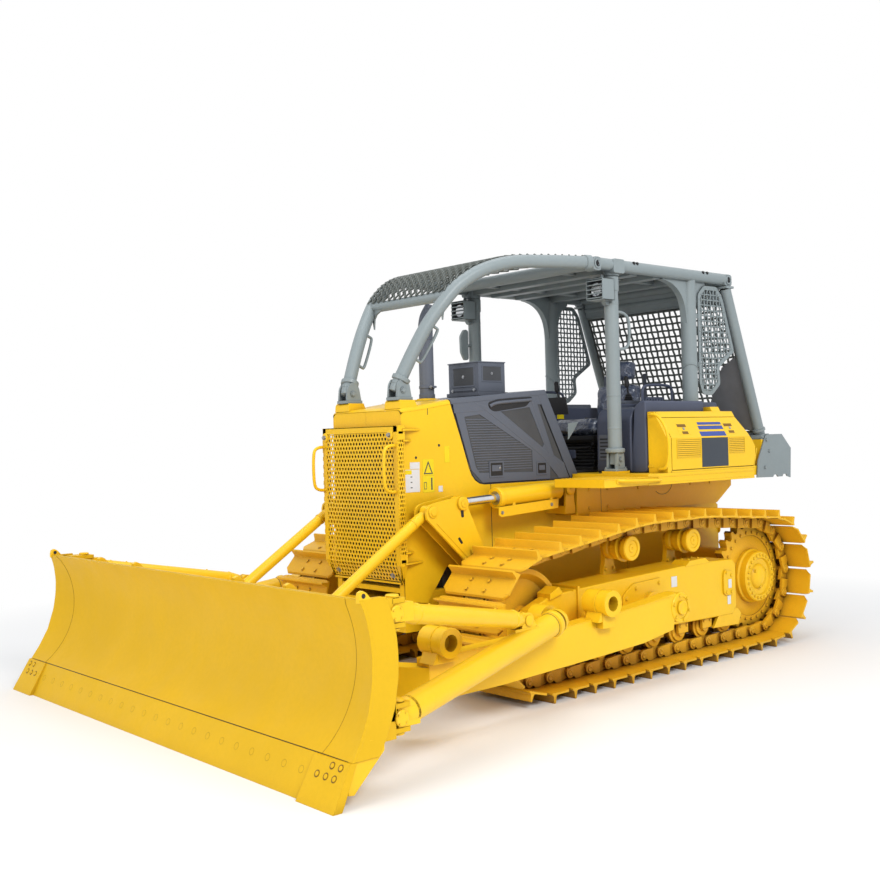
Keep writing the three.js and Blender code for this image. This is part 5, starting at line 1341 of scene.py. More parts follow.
@dataclass
class SidePanel:
    """Engine side cover: pressed bands round three grilles, a grab scoop and two latches."""

    side: Side
    outside: float = 0.3872

    def build(self) -> None:
        """Builds the cover's pieces on its own hinge body."""
        word = self.side.word
        body = f"side_panel_{word}"
        out = self.outside
        edge = [(1.539, hood_top(1.539) - HINGE_DROP), (1.177, 1.430), (2.101, 1.430), (2.150, 1.438),
                (2.190, 1.462), (2.216, 1.492), (2.238, 1.535), (2.404, hood_top(2.404) - HINGE_DROP)]
        skin = Shape().prism(edge, "y", out - 0.0082, out - 0.0045)
        skin.bar((1.544, 0.379, hood_top(1.544) - HINGE_DROP), (2.404, 0.379, hood_top(2.404) - HINGE_DROP),
                 0.008, 16)
        skin.on(self.side).piece(f"panel_skin_{word}", INSET_GREY, body, "dark_grey",
                                 [f"side_panel_{word}"])
        bands = Shape()
        level = out - 0.001
        low_grille = [(2.288, 1.912), (2.135, 1.930), (1.592, 1.655), (1.587, 1.492), (2.150, 1.505),
                      (2.186, 1.55)]
        outer = [(2.400, 2.020), (2.196, 2.034), (1.392, 1.600), (1.40, 1.431), (2.120, 1.432),
                 (2.232, 1.53)]
        bands.frame(outer, low_grille, "y", out - 0.006, level)
        triangle = [(1.920, 1.952), (1.880, 1.953), (1.610, 1.984), (1.458, 1.699), (1.476, 1.676)]
        around = [(2.215, 2.035), (1.860, 2.060), (1.566, 2.083), (1.366, 1.600), (1.405, 1.598)]
        bands.frame(around, triangle, "y", out - 0.006, level + 0.0002)
        strip = [(1.520, 2.004), (1.462, 2.004), (1.206, 1.560), (1.218, 1.540), (1.350, 1.612)]
        sill = [(1.578, 2.085), (1.500, 2.085), (1.180, 1.432), (1.30, 1.431), (1.420, 1.60)]
        bands.frame(sill, strip, "y", out - 0.006, level + 0.0001)
        bands.prism([(2.400, 2.026), (2.196, 2.034), (2.068, 1.960), (2.384, 1.940)], "y", out - 0.006,
                    level + 0.0004)
        ridge = [(2.150, 2.010), (2.075, 2.010), (1.36, 1.598), (1.10 + 0.09, 1.436), (1.30, 1.436),
                 (1.47, 1.600)]
        bands.prism(ridge, "y", out - 0.006, out)
        bands.prism([(1.585, 2.02), (1.555, 2.02), (1.345, 1.60), (1.40, 1.60)], "y", out - 0.006,
                    out + 0.0002)
        bands.on(self.side).piece(f"panel_bands_{word}", PANEL_GREY, body, "dark_grey", bevel=0.0018)
        self.trim(word, body, out)

    def trim(self, word: str, body: str, out: float) -> None:
        """Scoop, latches, gasket and louvres."""
        dark, grey = Shape(), Shape()
        # Painted shade: flat black patches stand for the shaded hollows of the grab scoop and the two latch
        # recesses.
        dark.prism(rounded([(2.046, 2.020), (1.93, 2.046), (1.57, 2.064), (1.640, 1.990), (1.99, 1.950),
                            (2.040, 1.975)],
                           0.03), "y", out - 0.004, out + 0.0006)
        for x0, x1, z0, z1 in ((1.916, 2.038, 1.478, 1.573), (1.445, 1.535, 1.478, 1.556)):
            dark.box(x0, x1, out - 0.004, out + 0.0012, z0, z1)
            middle = (z0 + z1) / 2
            grey.box(x0 + 0.014, x1 - 0.012, out, out + 0.003, middle - 0.014, z1 - 0.016)
            frame_out = [(x0 - 0.014, z0 - 0.013), (x1 + 0.014, z0 - 0.013), (x1 + 0.014, z1 + 0.013),
                         (x0 - 0.014, z1 + 0.013)]
            grey.frame(frame_out, [(x0, z0), (x1, z0), (x1, z1), (x0, z1)], "y", out - 0.004, out + 0.0022)
        dark.on(self.side).piece(f"panel_recesses_{word}", BLACK, body, "dark_grey")
        grey.tube(smooth_line([(2.030, out - 0.002, 1.990), (1.98, out + 0.0025, 2.010),
                               (1.80, out + 0.004, 2.026),
                               (1.640, out + 0.0025, 2.036), (1.590, out - 0.002, 2.040)], 14), 0.013, 10)
        grey.on(self.side).piece(f"panel_trim_{word}", PANEL_GREY, body, "dark_grey", bevel=0.001)
        louvres = Shape()
        for k in range(21):
            z = 1.520 + 0.0185 * k
            front = 2.165 + (z - 1.52) * 0.30
            rear = 1.598 if z < 1.655 else 1.598 + (z - 1.655) * 1.93
            if front - rear > 0.05:
                louvres.box(rear, front, out - 0.0055, out - 0.0030, z, z + 0.0075)
        louvres.on(self.side).piece(f"panel_louvres_{word}", PANEL_GREY, body, "dark_grey")
        latch = Shape().turned([(0.010, 0), (0.010, 0.004), (0.006, 0.006)], (1.945, out + 0.002, 1.535),
                               (0, 1, 0), 18)
        latch.on(self.side).piece(f"panel_lock_{word}", STEEL, body, "dark_grey")
        gasket = [Vector((x, 0.3835, z)) for x, z in
                  ((2.420, 2.022), (2.255, 1.545), (2.232, 1.495), (2.200, 1.456), (2.155, 1.430),
                   (2.104, 1.4215), (1.62, 1.4215), (1.100, 1.4215))]
        Shape().tube(gasket, 0.0055, 8).on(self.side).piece(f"panel_gasket_{word}", RUBBER, "chassis",
                                                            "dark_grey")


@dataclass
class TopOfHood:
    """Exhaust stack and air box."""

    exhaust: float = 0.056

    def build(self) -> None:
        """Builds both."""
        r = self.exhaust
        line = [(2.30, 0, 2.0625), (2.30, 0, 2.35), (2.30, 0, 2.56), (2.296, 0, 2.62), (2.283, 0, 2.665),
                (2.262, 0, 2.70), (2.236, 0, 2.735)]
        shape = Shape().tube(smooth_line(line, 40), r - 0.001, 32)
        shape.turned([(r + 0.004, 0), (r + 0.004, 0.03), (r, 0.034)], (2.30, 0, 2.063), (0, 0, 1), 32)
        shape.turned([(r, 0), (r + 0.003, 0.003), (r + 0.003, 0.020), (r, 0.023)], (2.30, 0, 2.135),
                     (0, 0, 1), 32)
        shape.turned([(r, 0), (r + 0.003, 0.003), (r + 0.003, 0.012), (r, 0.015)], (2.30, 0, 2.50),
                     (0, 0, 1), 32)
        shape.box(2.285, 2.315, r - 0.005, r + 0.032, 2.138, 2.154)
        shape.piece("exhaust_pipe", PANEL_GREY, "chassis", "dark_grey", ["exhaust_stack"])
        clamp = Shape().bar((2.275, r + 0.022, 2.146), (2.325, r + 0.022, 2.146), 0.006, 10)
        clamp.bolt((2.325, r + 0.022, 2.146), (1, 0, 0), 0.009, 0.010)
        clamp.piece("exhaust_clamp", STEEL, "chassis", "dark_grey")
        # Painted shade and soot: a flat black disc at the capped pipe's mouth stands for its dark bore.
        mouth = Shape().turned([(r - 0.008, 0.0), (r - 0.008, 0.003)], (2.2353, 0, 2.7362),
                               (-0.60, 0, 0.80), 32)
        mouth.piece("exhaust_mouth", BLACK, "chassis", "dark_grey")
        self.air_box()

    def air_box(self) -> None:
        """Box with framed mesh on all four sides and an overhanging lid."""
        x0, x1, h, low, high = 1.640, 1.929, 0.171, 2.1085, 2.336
        box = Shape().box(x0 + 0.004, x1 - 0.004, -h + 0.004, h - 0.004, low, high)
        box.box(1.63, 1.94, -0.18, 0.18, 2.08, 2.108)
        box.box(x0, x1 + 0.002, -h - 0.002, h + 0.002, high - 0.004, high + 0.0045)
        mesh = Shape()
        for s in (1, -1):
            out, inn = [(1.676, 2.185), (1.893, 2.185), (1.893, 2.312), (1.676, 2.312)], [
                (1.688, 2.195), (1.881, 2.195), (1.881, 2.302), (1.688, 2.302)]
            box.frame(out, inn, "y", *sorted((s * (h - 0.006), s * (h - 0.0005))))
            mesh.box(1.682, 1.887, *sorted((s * (h - 0.006), s * (h - 0.003))), 2.190, 2.307)
        for x, y in ((x1 - 0.004, 0.0), (x0 + 0.004, 0.0)):
            outward = 1 if x > 1.8 else -1
            out, inn = [(-0.125, 2.150), (0.125, 2.150), (0.125, 2.310), (-0.125, 2.310)], [
                (-0.112, 2.163), (0.112, 2.163), (0.112, 2.297), (-0.112, 2.297)]
            box.frame(out, inn, "x", *sorted((x - outward * 0.001, x + outward * 0.0035)))
            mesh.box(*sorted((x - outward * 0.001, x + outward * 0.0012)), -0.118, 0.118, 2.157, 2.303)
        box.box(x1 - 0.004, x1 + 0.001, -0.14, 0.14, 2.120, 2.134)
        box.piece("air_box_body", PANEL_GREY, "chassis", "dark_grey", ["air_box"], bevel=0.003)
        mesh.piece("air_box_mesh", INSET_GREY, "chassis", "dark_grey")
        bolts = Shape()
        for y in (-0.12, 0.12):
            bolts.bolt((x1, y, 2.127), (1, 0, 0), 0.009, 0.009)
        bolts.bolt((x1 - 0.001, 0.0, 2.230), (1, 0, 0), 0.010, 0.006)
        bolts.bolt((1.785, h - 0.003, 2.250), (0, 1, 0), 0.008, 0.005)
        bolts.piece("air_box_bolts", STEEL, "chassis", "dark_grey")


# ---------------------------------------------------------------- canopy
def inset(points: Sequence[Flat], distance: float) -> list[Flat]:
    """A flat outline moved in by a distance.

    Args:
        points: Corners in order, either way round.
        distance: How far each edge moves in.

    Returns:
        As many corners.
    """
    area = sum(a[0] * b[1] - b[0] * a[1] for a, b in zip(points, [*points[1:], points[0]]))
    sign = 1.0 if area > 0 else -1.0
    out = []
    for i, at in enumerate(points):
        here = Vector(at)
        u = (here - Vector(points[i - 1])).normalized()
        v = (Vector(points[(i + 1) % len(points)]) - here).normalized()
        n1, n2 = Vector((-u.y, u.x)) * sign, Vector((-v.y, v.x)) * sign
        out.append(tuple(here + (n1 + n2) * distance / max(1.0 + n1.dot(n2), 0.4)))
    return out


def crossings(outline: Sequence[Flat], level: float, axis: int) -> list[float]:
    """Where a grid line crosses an outline.

    Args:
        outline: Corners of the outline.
        level: Coordinate of the line on the axis.
        axis: 0 for a line of constant first coordinate, 1 for the second.

    Returns:
        Sorted values of the other coordinate.
    """
    found = []
    for a, b in zip(outline, [*outline[1:], outline[0]]):
        if (a[axis] - level) * (b[axis] - level) < 0:
            t = (level - a[axis]) / (b[axis] - a[axis])
            found.append(a[1 - axis] + t * (b[1 - axis] - a[1 - axis]))
    return sorted(found)


def weave(shape: Shape, outline: Sequence[Flat], pitch: float, radius: float,
          place: Callable[[float, float, float], Vector]) -> Shape:
    """Adds woven wires inside an outline.

    Args:
        shape: Shape the wires are added to.
        outline: Edge of the mesh.
        pitch: Distance of the wires.
        radius: Wire radius.
        place: Makes a point from the two flat coordinates and the height off the plane.

    Returns:
        The shape.
    """
    for axis in (0, 1):
        values = [p[axis] for p in outline]
        first = math.ceil(min(values) / pitch)
        for k in range(first, math.floor(max(values) / pitch) + 1):
            ends = crossings(outline, k * pitch + 1e-5, axis)
            for low, high in zip(ends[::2], ends[1::2]):
                steps = max(2, round((high - low) / pitch * 3))
                line = []
                for i in range(steps + 1):
                    t = low + (high - low) * i / steps
                    wave = radius * 0.9 * math.cos(math.pi * (t / pitch + k + axis))
                    line.append(place(k * pitch, t, wave) if axis == 0 else place(t, k * pitch, wave))
                shape.tube(line, radius, 6)
    return shape


@dataclass
class Canopy:
    """Tube canopy with roof, posts, front sweeps, meshes, windows and lamps."""

    post_y: float = 0.76
    half: float = 0.797
    rail_z: float = 3.045
    rail: float = 0.047
    front_x: float = 1.303
    rear_x: float = -0.372
    sweep_r: float = 0.048
    sweep: tuple[Point, ...] = ((2.819, 0.285, 2.142), (2.705, 0.335, 2.384), (2.605, 0.375, 2.567),
                                (2.455, 0.439, 2.773), (2.384, 0.465, 2.846), (2.222, 0.520, 2.951),
                                (2.001, 0.590, 3.021), (1.700, 0.688, 3.041), (1.345, 0.787, 3.048))
    crossbar: Point = (2.455, 0.439, 2.773)

    def build(self) -> None:
        """Builds the canopy."""
        self.roof()
        self.rear_posts()
        for side in Side:
            self.front_post(side)
            self.lamp(side)
            self.window(side)
            self.rear_plate(side)
        self.sweeps()
        self.sweep_mesh()
        self.rear()

    def roof(self) -> None:
        """Rails, cross beams, roof sheet and corner nodes."""
        z, h = self.rail_z, self.half
        shape, lugs = Shape(), Shape()
        for s in (1, -1):
            shape.bar((self.rear_x, s * h, z + 0.003), (self.front_x, s * h, z + 0.003), self.rail, 28)
            for x0, x1, z0, z1 in ((-0.438, -0.332, 2.992, 3.088), (1.264, 1.352, 2.988, 3.092)):
                shape.prism(rounded([(x0, z0), (x1, z0), (x1, z1), (x0, z1)], 0.03), "y",
                            *sorted((s * (h - 0.055), s * (h + 0.040))))
                middle = ((x0 + x1) / 2, s * (h + 0.040), (z0 + z1) / 2)
                shape.ring(0.037, 0.024, (middle[0], s * (h + 0.036), middle[2]), (0, s, 0), 0.012, 28)
                lugs.turned([(0.0235, -0.002), (0.0235, 0.001)], middle, (0, s, 0), 24)
                lugs.bolt(middle, (0, s, 0), 0.013, 0.008)
            for x in (0.835, 0.875, -0.085, -0.030):
                lugs.bolt((x, s * (h + 0.036), z + 0.030), (0, s * 0.8, 0.6), 0.011, 0.012)
            shape.prism(rounded([(1.00, z - 0.06), (1.13, z - 0.06), (1.13, z + 0.048), (1.00, z + 0.048)],
                                0.02), "y",
                        *sorted((s * (h - 0.052), s * (h + 0.049))))
            shape.bar((1.067, s * (self.post_y + 0.005), z - 0.075), (1.067, s * (self.post_y + 0.005), z),
                      0.062, 28)
        for x in (self.rear_x, self.front_x):
            shape.bar((x, -h, z), (x, h, z), self.rail - 0.001, 24)
        shape.prism([(-0.405, 2.880), (-0.397, 2.880), (-0.362, 3.025), (-0.370, 3.025)], "y", -0.745,
                    0.745)
        shape.bar((-0.392, -0.745, 2.945), (-0.392, 0.745, 2.945), 0.022, 18)
        shape.piece("canopy_frame", CANOPY_GREY, "chassis", "canopy_grey", ["canopy"], bevel=0.003)
        lugs.piece("canopy_lugs", BLACK, "chassis", "canopy_grey")
        under = Shape()
        under.box(self.rear_x, self.front_x, -h + 0.005, h - 0.005, z + 0.012, z + 0.024)
        for x in (0.085, 0.50, 0.80, 1.067):
            under.prism([(x - 0.045, z - 0.052), (x + 0.045, z - 0.052), (x + 0.045, z + 0.013),
                         (x - 0.045, z + 0.013)],
                        "y", -h + 0.03, h - 0.03)
        for y in (-0.42, 0.42):
            under.box(self.rear_x + 0.03, self.front_x - 0.03, y - 0.03, y + 0.03, z - 0.03, z + 0.013)
        for k in range(5):
            x = -0.25 + 0.32 * k
            under.box(x, x + 0.02, -h + 0.05, h - 0.05, z + 0.023, z + 0.027)
        under.piece("roof_sheet", CANOPY_GREY, "chassis", "canopy_grey", bevel=0.003)

    def rear_posts(self) -> None:
        """Rear posts with arched gussets, foot flanges and bolts."""
        y, base = self.post_y, 1.9605
        shape = Shape()
        for s in (1, -1):
            shape.bar((0.085, s * y, base), (0.085, s * y, 3.01), 0.063, 32)
            low, high = sorted((s * (y - 0.028), s * (y + 0.028)))
            arch = [(0.085, 3.03), (0.085, 2.64), (0.147, 2.66)]
            arch += [((1 - t) ** 2 * 0.150 + 2 * t * (1 - t) * 0.168 + t * t * 0.450,
                      (1 - t) ** 2 * 2.70 + 2 * t * (1 - t) * 2.965 + t * t * 2.992)
                      for t in (k / 10 for k in range(11))]
            shape.prism([*arch, (0.450, 3.03)], "y", low, high)
            back = [(0.085, 3.03), (-0.115, 3.03), (-0.115, 2.985)]
            back += [((1 - t) ** 2 * -0.115 + 2 * t * (1 - t) * 0.015 + t * t * 0.030,
                      (1 - t) ** 2 * 2.975 + 2 * t * (1 - t) * 2.93 + t * t * 2.70)
                      for t in (k / 8 for k in range(9))]
            shape.prism([*back, (0.085, 2.60)], "y", low, high)
            shape.prism(rounded([(0.015, s * (y - 0.065)), (0.155, s * (y - 0.065)),
                                 (0.155, s * (y + 0.068)),
                                 (0.015, s * (y + 0.068))], 0.02), "z", base, base + 0.020)
            for dx in (-0.055, 0.055):
                for dy in (-0.05, 0.052):
                    shape.bolt((0.085 + dx, s * (y + dy), base + 0.019), (0, 0, 1), 0.012, 0.012)
            seam = [(0.085 + 0.0635 * math.cos(a), s * (y + 0.0635 * math.sin(a)),
                     2.27 + 0.05 * math.cos(a - 0.8))
                    for a in (2 * math.pi * k / 28 for k in range(28))]
            shape.tube(seam, 0.005, 6, closed=True)
        shape.piece("rear_posts", CANOPY_GREY, "chassis", "canopy_grey")

    def front_post(self, side: Side) -> None:
        """Front post with forked foot, handle and top sleeve."""
        x, y, base = 1.067, self.post_y, 1.4805
        shape = Shape().bar((x, y, base + 0.145), (x, y, 2.985), 0.054, 32)
        shape.prism(rounded([(x - 0.067, y - 0.067), (x + 0.067, y - 0.067), (x + 0.067, y + 0.067),
                             (x - 0.067, y + 0.067)],
                            0.02), "z", base, base + 0.018)
        for dx in (-0.05, 0.05):
            for dy in (-0.05, 0.05):
                shape.bolt((x + dx, y + dy, base + 0.017), (0, 0, 1), 0.011, 0.013)
        shape.turned([(0.060, 0.138), (0.072, 0.142), (0.074, 0.150), (0.074, 0.166), (0.070, 0.172),
                      (0.055, 0.176)],
                     (x, y, base), (0, 0, 1), 36)
        for s in (-1, 1):
            shape.prism(rounded([(x - 0.05, base + 0.015), (x + 0.05, base + 0.015),
                                 (x + 0.042, base + 0.14),
                                 (x - 0.042, base + 0.14)], 0.012), "y", y + s * 0.040 - 0.010,
                                 y + s * 0.040 + 0.010)
        shape.prism([(x - 0.035, base + 0.05), (x + 0.035, base + 0.05), (x + 0.03, base + 0.14),
                     (x - 0.03, base + 0.14)],
                    "y", y - 0.026, y + 0.026)
        shape.bar((x, y - 0.058, base + 0.088), (x, y + 0.058, base + 0.088), 0.014, 18)
        shape.bolt((x, y + 0.056, base + 0.088), (0, 1, 0), 0.014, 0.008)
        shape.bar((x + 0.02, y + 0.05, base + 0.05), (x + 0.02, y + 0.062, base + 0.05), 0.006, 10)
        shape.turned([(0.054, -0.01), (0.060, 0.0), (0.060, 0.10), (0.054, 0.11)], (x, y, 2.86), (0, 0, 1),
                     32)
        if side is Side.LEFT:
            handle = [(x - 0.045, y, 2.702), (x - 0.130, y, 2.698), (x - 0.190, y, 2.665),
                      (x - 0.205, y, 2.61), (x - 0.205, y, 2.51), (x - 0.190, y, 2.45),
                      (x - 0.130, y, 2.420), (x - 0.045, y, 2.416)]
            shape.tube(smooth_line(handle, 26), 0.012, 14)
        for z in (1.80, 2.05, 2.75):
            shape.turned([(0.054, 0), (0.0555, 0.002), (0.0555, 0.010), (0.054, 0.012)], (x, y, z),
                         (0, 0, 1), 32)
        if side is Side.RIGHT:
            shape.prism(rounded([(x + 0.088, 2.44), (x + 0.13, 2.43), (x + 0.170, 2.50), (x + 0.173, 2.64),
                                 (x + 0.13, 2.70), (x + 0.088, 2.69)], 0.02), "y", y - 0.012, y + 0.012)
            shape.bar((x + 0.04, y, 2.56), (x + 0.10, y, 2.56), 0.012, 12)
        shape.on(side).piece(f"front_post_tube_{side.word}", CANOPY_GREY, "chassis", "canopy_grey",
                             [f"front_post_{side.word}"])

    def lamp(self, side: Side) -> None:
        """Work lamp in a plate box with guard bars."""
        x0, x1, y0, y1, z0, z1 = 1.1215, 1.271, 0.681, 0.839, 2.776, 2.939
        shape = Shape()
        for y in (y0, y1 - 0.006):
            shape.prism(rounded([(x0, z0), (x1 - 0.01, z0), (x1 - 0.01, z1), (x0, z1)], 0.012), "y", y,
                        y + 0.006)
        shape.box(x0, x1 - 0.01, y0, y1, z1 - 0.006, z1)
        shape.box(x0, x1 - 0.01, y0, y1, z0, z0 + 0.006)
        shape.box(x0, x0 + 0.006, y0, y1, z0, z1)
        for k in range(5):
            z = z0 + 0.016 + 0.0325 * k
            shape.box(x1 - 0.016, x1 - 0.004, y0 - 0.0, y1, z - 0.004, z + 0.004)
            shape.box(x1 - 0.035, x1 - 0.012, y1 - 0.008, y1 - 0.001, z - 0.004, z + 0.004)
        shape.prism([(x0 - 0.045, 2.735), (x0 + 0.02, 2.745), (x0 + 0.05, z0 + 0.002),
                     (x0 - 0.045, z0 + 0.002)], "y",
                    self.post_y - 0.02, self.post_y + 0.02)
        shape.box(x0 - 0.05, x0 + 0.05, self.post_y - 0.03, self.post_y + 0.03, z1 - 0.002, z1 + 0.008)
        shape.prism([(x0 + 0.03, z1), (x0 + 0.07, z1), (x0 + 0.06, z1 + 0.035), (x0 + 0.035, z1 + 0.035)],
                    "y", self.post_y - 0.006, self.post_y + 0.006)
        shape.on(side).piece(f"lamp_box_{side.word}", CANOPY_GREY, "chassis", "canopy_grey",
                             [f"work_lamp_{side.word}"], bevel=0.0015)
        cup = Shape().turned([(0.030, 0.0), (0.055, 0.04), (0.062, 0.075), (0.066, 0.080), (0.066, 0.095),
                              (0.058, 0.097)],
                             (1.14, self.post_y, 2.857), (1, 0, 0), 32)
        cup.on(side).piece(f"lamp_cup_{side.word}", BLACK, "chassis", "canopy_grey")
        lens = Shape().turned([(0.056, 0.0), (0.05, 0.006), (0.03, 0.010), (0.01, 0.011)],
                              (1.236, self.post_y, 2.857), (1, 0, 0), 32)
        lens.on(side).piece(f"lamp_lens_{side.word}", LAMP_GLASS, "chassis", "canopy_grey")

    def window(self, side: Side) -> None:
        """Rear quarter window of woven wire in a plate frame."""
        outline = rounded([(0.008, 2.60), (0.004, 2.90), (-0.08, 2.975), (-0.265, 2.978), (-0.345, 2.89),
                           (-0.50, 2.44),
                           (-0.27, 2.30), (-0.285, 2.16), (-0.16, 2.065), (-0.03, 2.075), (0.010, 2.17)],
                           0.03, 3)
        inner = inset(outline, 0.034)
        shape = Shape().frame(outline, inner, "y", 0.7905, 0.8015)
        for x in (-0.03, -0.02):
            shape.box(x, x + 0.05, 0.785, 0.797, 2.30 + 4 * (x + 0.03) * 10, 2.34 + 4 * (x + 0.03) * 10)
        weave(shape, inset(outline, 0.012), 0.044, 0.0070, lambda u, v, w: Vector((u, 0.7955 + w * 0.6, v)))
        shape.on(side).piece(f"window_mesh_{side.word}", CANOPY_GREY, "chassis", "canopy_grey",
                             [f"side_window_{side.word}"])

    def rear_plate(self, side: Side) -> None:
        """Shield plate behind the deck with a notched foot."""
        outline = [(-0.705, 1.357), (-0.725, 1.50), (-0.850, 1.715), (-0.885, 1.728), (-1.11, 1.728),
                   (-1.253, 1.60), (-1.236, 1.338), (-1.18, 1.352), (-1.165, 1.372), (-1.12, 1.372),
                   (-1.105, 1.352), (-1.03, 1.352), (-1.015, 1.372), (-0.97, 1.372), (-0.955, 1.352)]
        shape = Shape().prism(outline, "y", 0.8505, 0.8615)
        for x, z in ((-0.86, 1.68), (-0.83, 1.44), (-0.90, 1.58)):
            shape.bolt((x, 0.861, z), (0, 1, 0), 0.013, 0.010)
        shape.on(side).piece(f"shield_plate_{side.word}", CANOPY_GREY, "chassis", "canopy_grey",
                             [f"rear_plate_{side.word}"], bevel=0.002)

    def sweeps(self) -> None:
        """Front sweeps with collars, clevis feet, handles, crossbar and gussets."""
        shape = Shape()
        r = self.sweep_r
        line = smooth_line(self.sweep, 44)
        cx, cy, cz = self.crossbar
        shape.bar((cx, -cy, cz), (cx, cy, cz), r - 0.009, 28)
        for s in (1, -1):
            shape.tube([(p.x, s * p.y, p.z) for p in line], r, 28)
            foot, up = Vector((2.815, s * 0.285, 2.140)), (line[3] - line[0]).normalized()
            up = Vector((up.x, s * up.y, up.z))
            shape.turned([(r, 0.028), (r + 0.016, 0.034), (r + 0.018, 0.042), (r + 0.018, 0.062),
                          (r, 0.070)], foot, up, 32)
            shape.turned([(0.03, -0.055), (0.044, -0.05), (0.050, -0.02), (0.052, 0.03)], foot, up, 28)
            for dy in (-0.047, 0.047):
                y = s * 0.285 + dy
                shape.prism(rounded([(2.740, 2.050), (2.872, 2.050), (2.862, 2.145), (2.835, 2.185),
                                     (2.785, 2.185), (2.758, 2.145)], 0.015), "y", y - 0.009, y + 0.009)
            shape.box(2.735, 2.876, *sorted((s * 0.225, s * 0.345)), 2.0355, 2.057)
            shape.bar((2.818, s * 0.285 - 0.062, 2.105), (2.818, s * 0.285 + 0.062, 2.105), 0.016, 20)
            shape.bolt((2.818, s * 0.285 + 0.060, 2.105), (0, 1, 0), 0.017, 0.008)
            for x, y in ((2.762, 0.243), (2.762, 0.327), (2.853, 0.243), (2.853, 0.327)):
                shape.bolt((x, s * y, 2.054), (0, 0, 1), 0.008, 0.009)
            shape.prism([(s * (cy - 0.02), cz - 0.01), (s * (cy - 0.15), cz - 0.03),
                         (s * (cy - 0.085), cz - 0.060),
                         (s * (cy - 0.060), cz - 0.095), (s * (cy - 0.052), cz - 0.17)], "x", cx + 0.012,
                         cx + 0.026)
            near = [min(line, key=lambda p: abs(p.z - level)) for level in (2.341, 2.587)]
            a, b = (Vector((p.x, s * p.y, p.z)) for p in near)
            out = Vector((-0.082, 0.0, -0.040))
            path = [a + out * 0.3, a + out * 0.85, a + out * 1.02, a.lerp(b, 0.10) + out * 1.10,
                    a.lerp(b, 0.90) + out * 1.10, b + out * 1.02, b + out * 0.85, b + out * 0.3]
            shape.tube(smooth_line(path, 30), 0.0110, 12)
            top = line[-2]
            shape.turned([(r, 0.0), (r + 0.009, 0.004), (r + 0.009, 0.05), (r, 0.056)],
                         (top.x, s * top.y, top.z), (-1, s * 0.27, 0.02), 32)
        shape.piece("sweep_tubes", CANOPY_GREY, "chassis", "canopy_grey", ["front_sweeps"])

    def sweep_mesh(self) -> None:
        """Expanded mesh over the sweeps, from the crossbar to the roof."""
        line = [p for p in smooth_line(self.sweep, 80) if p.x <= self.crossbar[0] + 0.01]
        shape = Shape()
        rows, half = 21, 14
        for j in range(rows):
            strand = []
            for side_step in range(-half, half + 1):
                v = (j + (0.5 if side_step % 2 else -0.5) * 0.92 + 0.5) / rows
                at = max(0.0, min(1.0, v)) * (len(line) - 1)
                k = min(int(at), len(line) - 2)
                p, q = line[k], line[k + 1]
                mid = p.lerp(q, at - k)
                run = Vector((p.x - q.x, 0, p.z - q.z)).normalized()
                lift = Vector((-run.z, 0, run.x)) * (self.sweep_r + 0.001)
                strand.append(Vector((mid.x, (mid.y - 0.002) * side_step / half, mid.z)) + lift)
            shape.tube(strand, 0.0085, 6)
        shape.piece("sweep_mesh_strands", MESH_GREY, "chassis", "mesh_grey", ["sweep_mesh"])

    def rear(self) -> None:
        """Rear guard tubes, feet and coarse woven mesh."""
        shape = Shape()
        for s in (1, -1):
            shape.bar((-0.397, s * self.half, 2.972), (-0.868, s * self.half, 1.715), 0.0448, 28)
            shape.prism(rounded([(-0.448, 2.97), (-0.342, 2.97), (-0.342, 2.9895), (-0.448, 2.9895)],
                                0.004), "y",
                        *sorted((s * 0.742, s * 0.848)))
            shape.prism(rounded([(-0.926, 1.686), (-0.80, 1.686), (-0.80, 1.720), (-0.84, 1.734),
                                 (-0.926, 1.734)], 0.01),
                        "y", *sorted((s * 0.749, s * 0.848)))
            for x in (-0.905, -0.82):
                shape.bolt((x, s * 0.848, 1.705), (0, s, 0), 0.012, 0.008)
            shape.turned([(0.045, 0), (0.056, 0.004), (0.056, 0.022), (0.045, 0.026)],
                         (-0.852, s * self.half, 1.758), (0.351, 0, 0.936), 32)
        shape.bar((-0.868, -self.half, 1.715), (-0.868, self.half, 1.715), 0.030, 24)
        shape.bar((-0.432, -self.half, 2.890), (-0.432, self.half, 2.890), 0.028, 24)
        shape.piece("rear_guard_tubes", CANOPY_GREY, "chassis", "canopy_grey", ["rear_guard"])
        top, low, h = Vector((-0.440, 0, 2.853)), Vector((-0.848, 0, 1.753)), 0.749
        down = (low - top).normalized()
        out = Vector((down.z, 0, -down.x))
        length = (low - top).length

        def place(u: float, v: float, w: float) -> Vector:
            """Point u across the mesh, v down it and w behind it."""
            return top + down * v + Vector((0, u, 0)) - out * w * 0.6

        edge = [(-h, 0.0), (h, 0.0), (h, length), (-h, length)]
        mesh = Shape()
        weave(mesh, edge, 0.060, 0.0098, place)
        for a, b in zip(edge, [*edge[1:], edge[0]]):
            mesh.tube([place(*a, 0), place(*b, 0)], 0.010, 8)
        mesh.piece("rear_mesh_wires", MESH_GREY, "chassis", "mesh_grey", ["rear_mesh"])
        corners = [(0.433, 2.102), (0.589, 2.326), (0.765, 2.42), (0.765, 1.757), (0.60, 1.80),
                   (0.388, 2.025)]
        sheet = []
        for lift in (-0.013, -0.016):
            sheet.append([place(y, (2.853 - z) / (2.853 - 1.753) * length, 0) + out * lift
                          for y, z in corners])
        Shape().solid(sheet).piece("rear_blanking_sheet",
                                   Moulded("blanking_grey", (0.20, 0.205, 0.22), 0.7), "chassis",
                                    "mesh_grey")


# ---------------------------------------------------------------- deck and cab
def slant_y(z: float) -> float:
    """Outside of the fender boxes at a height: upright, then leaning in."""
    return 1.130 - 0.120 * max(0.0, z - 1.72) / 0.205


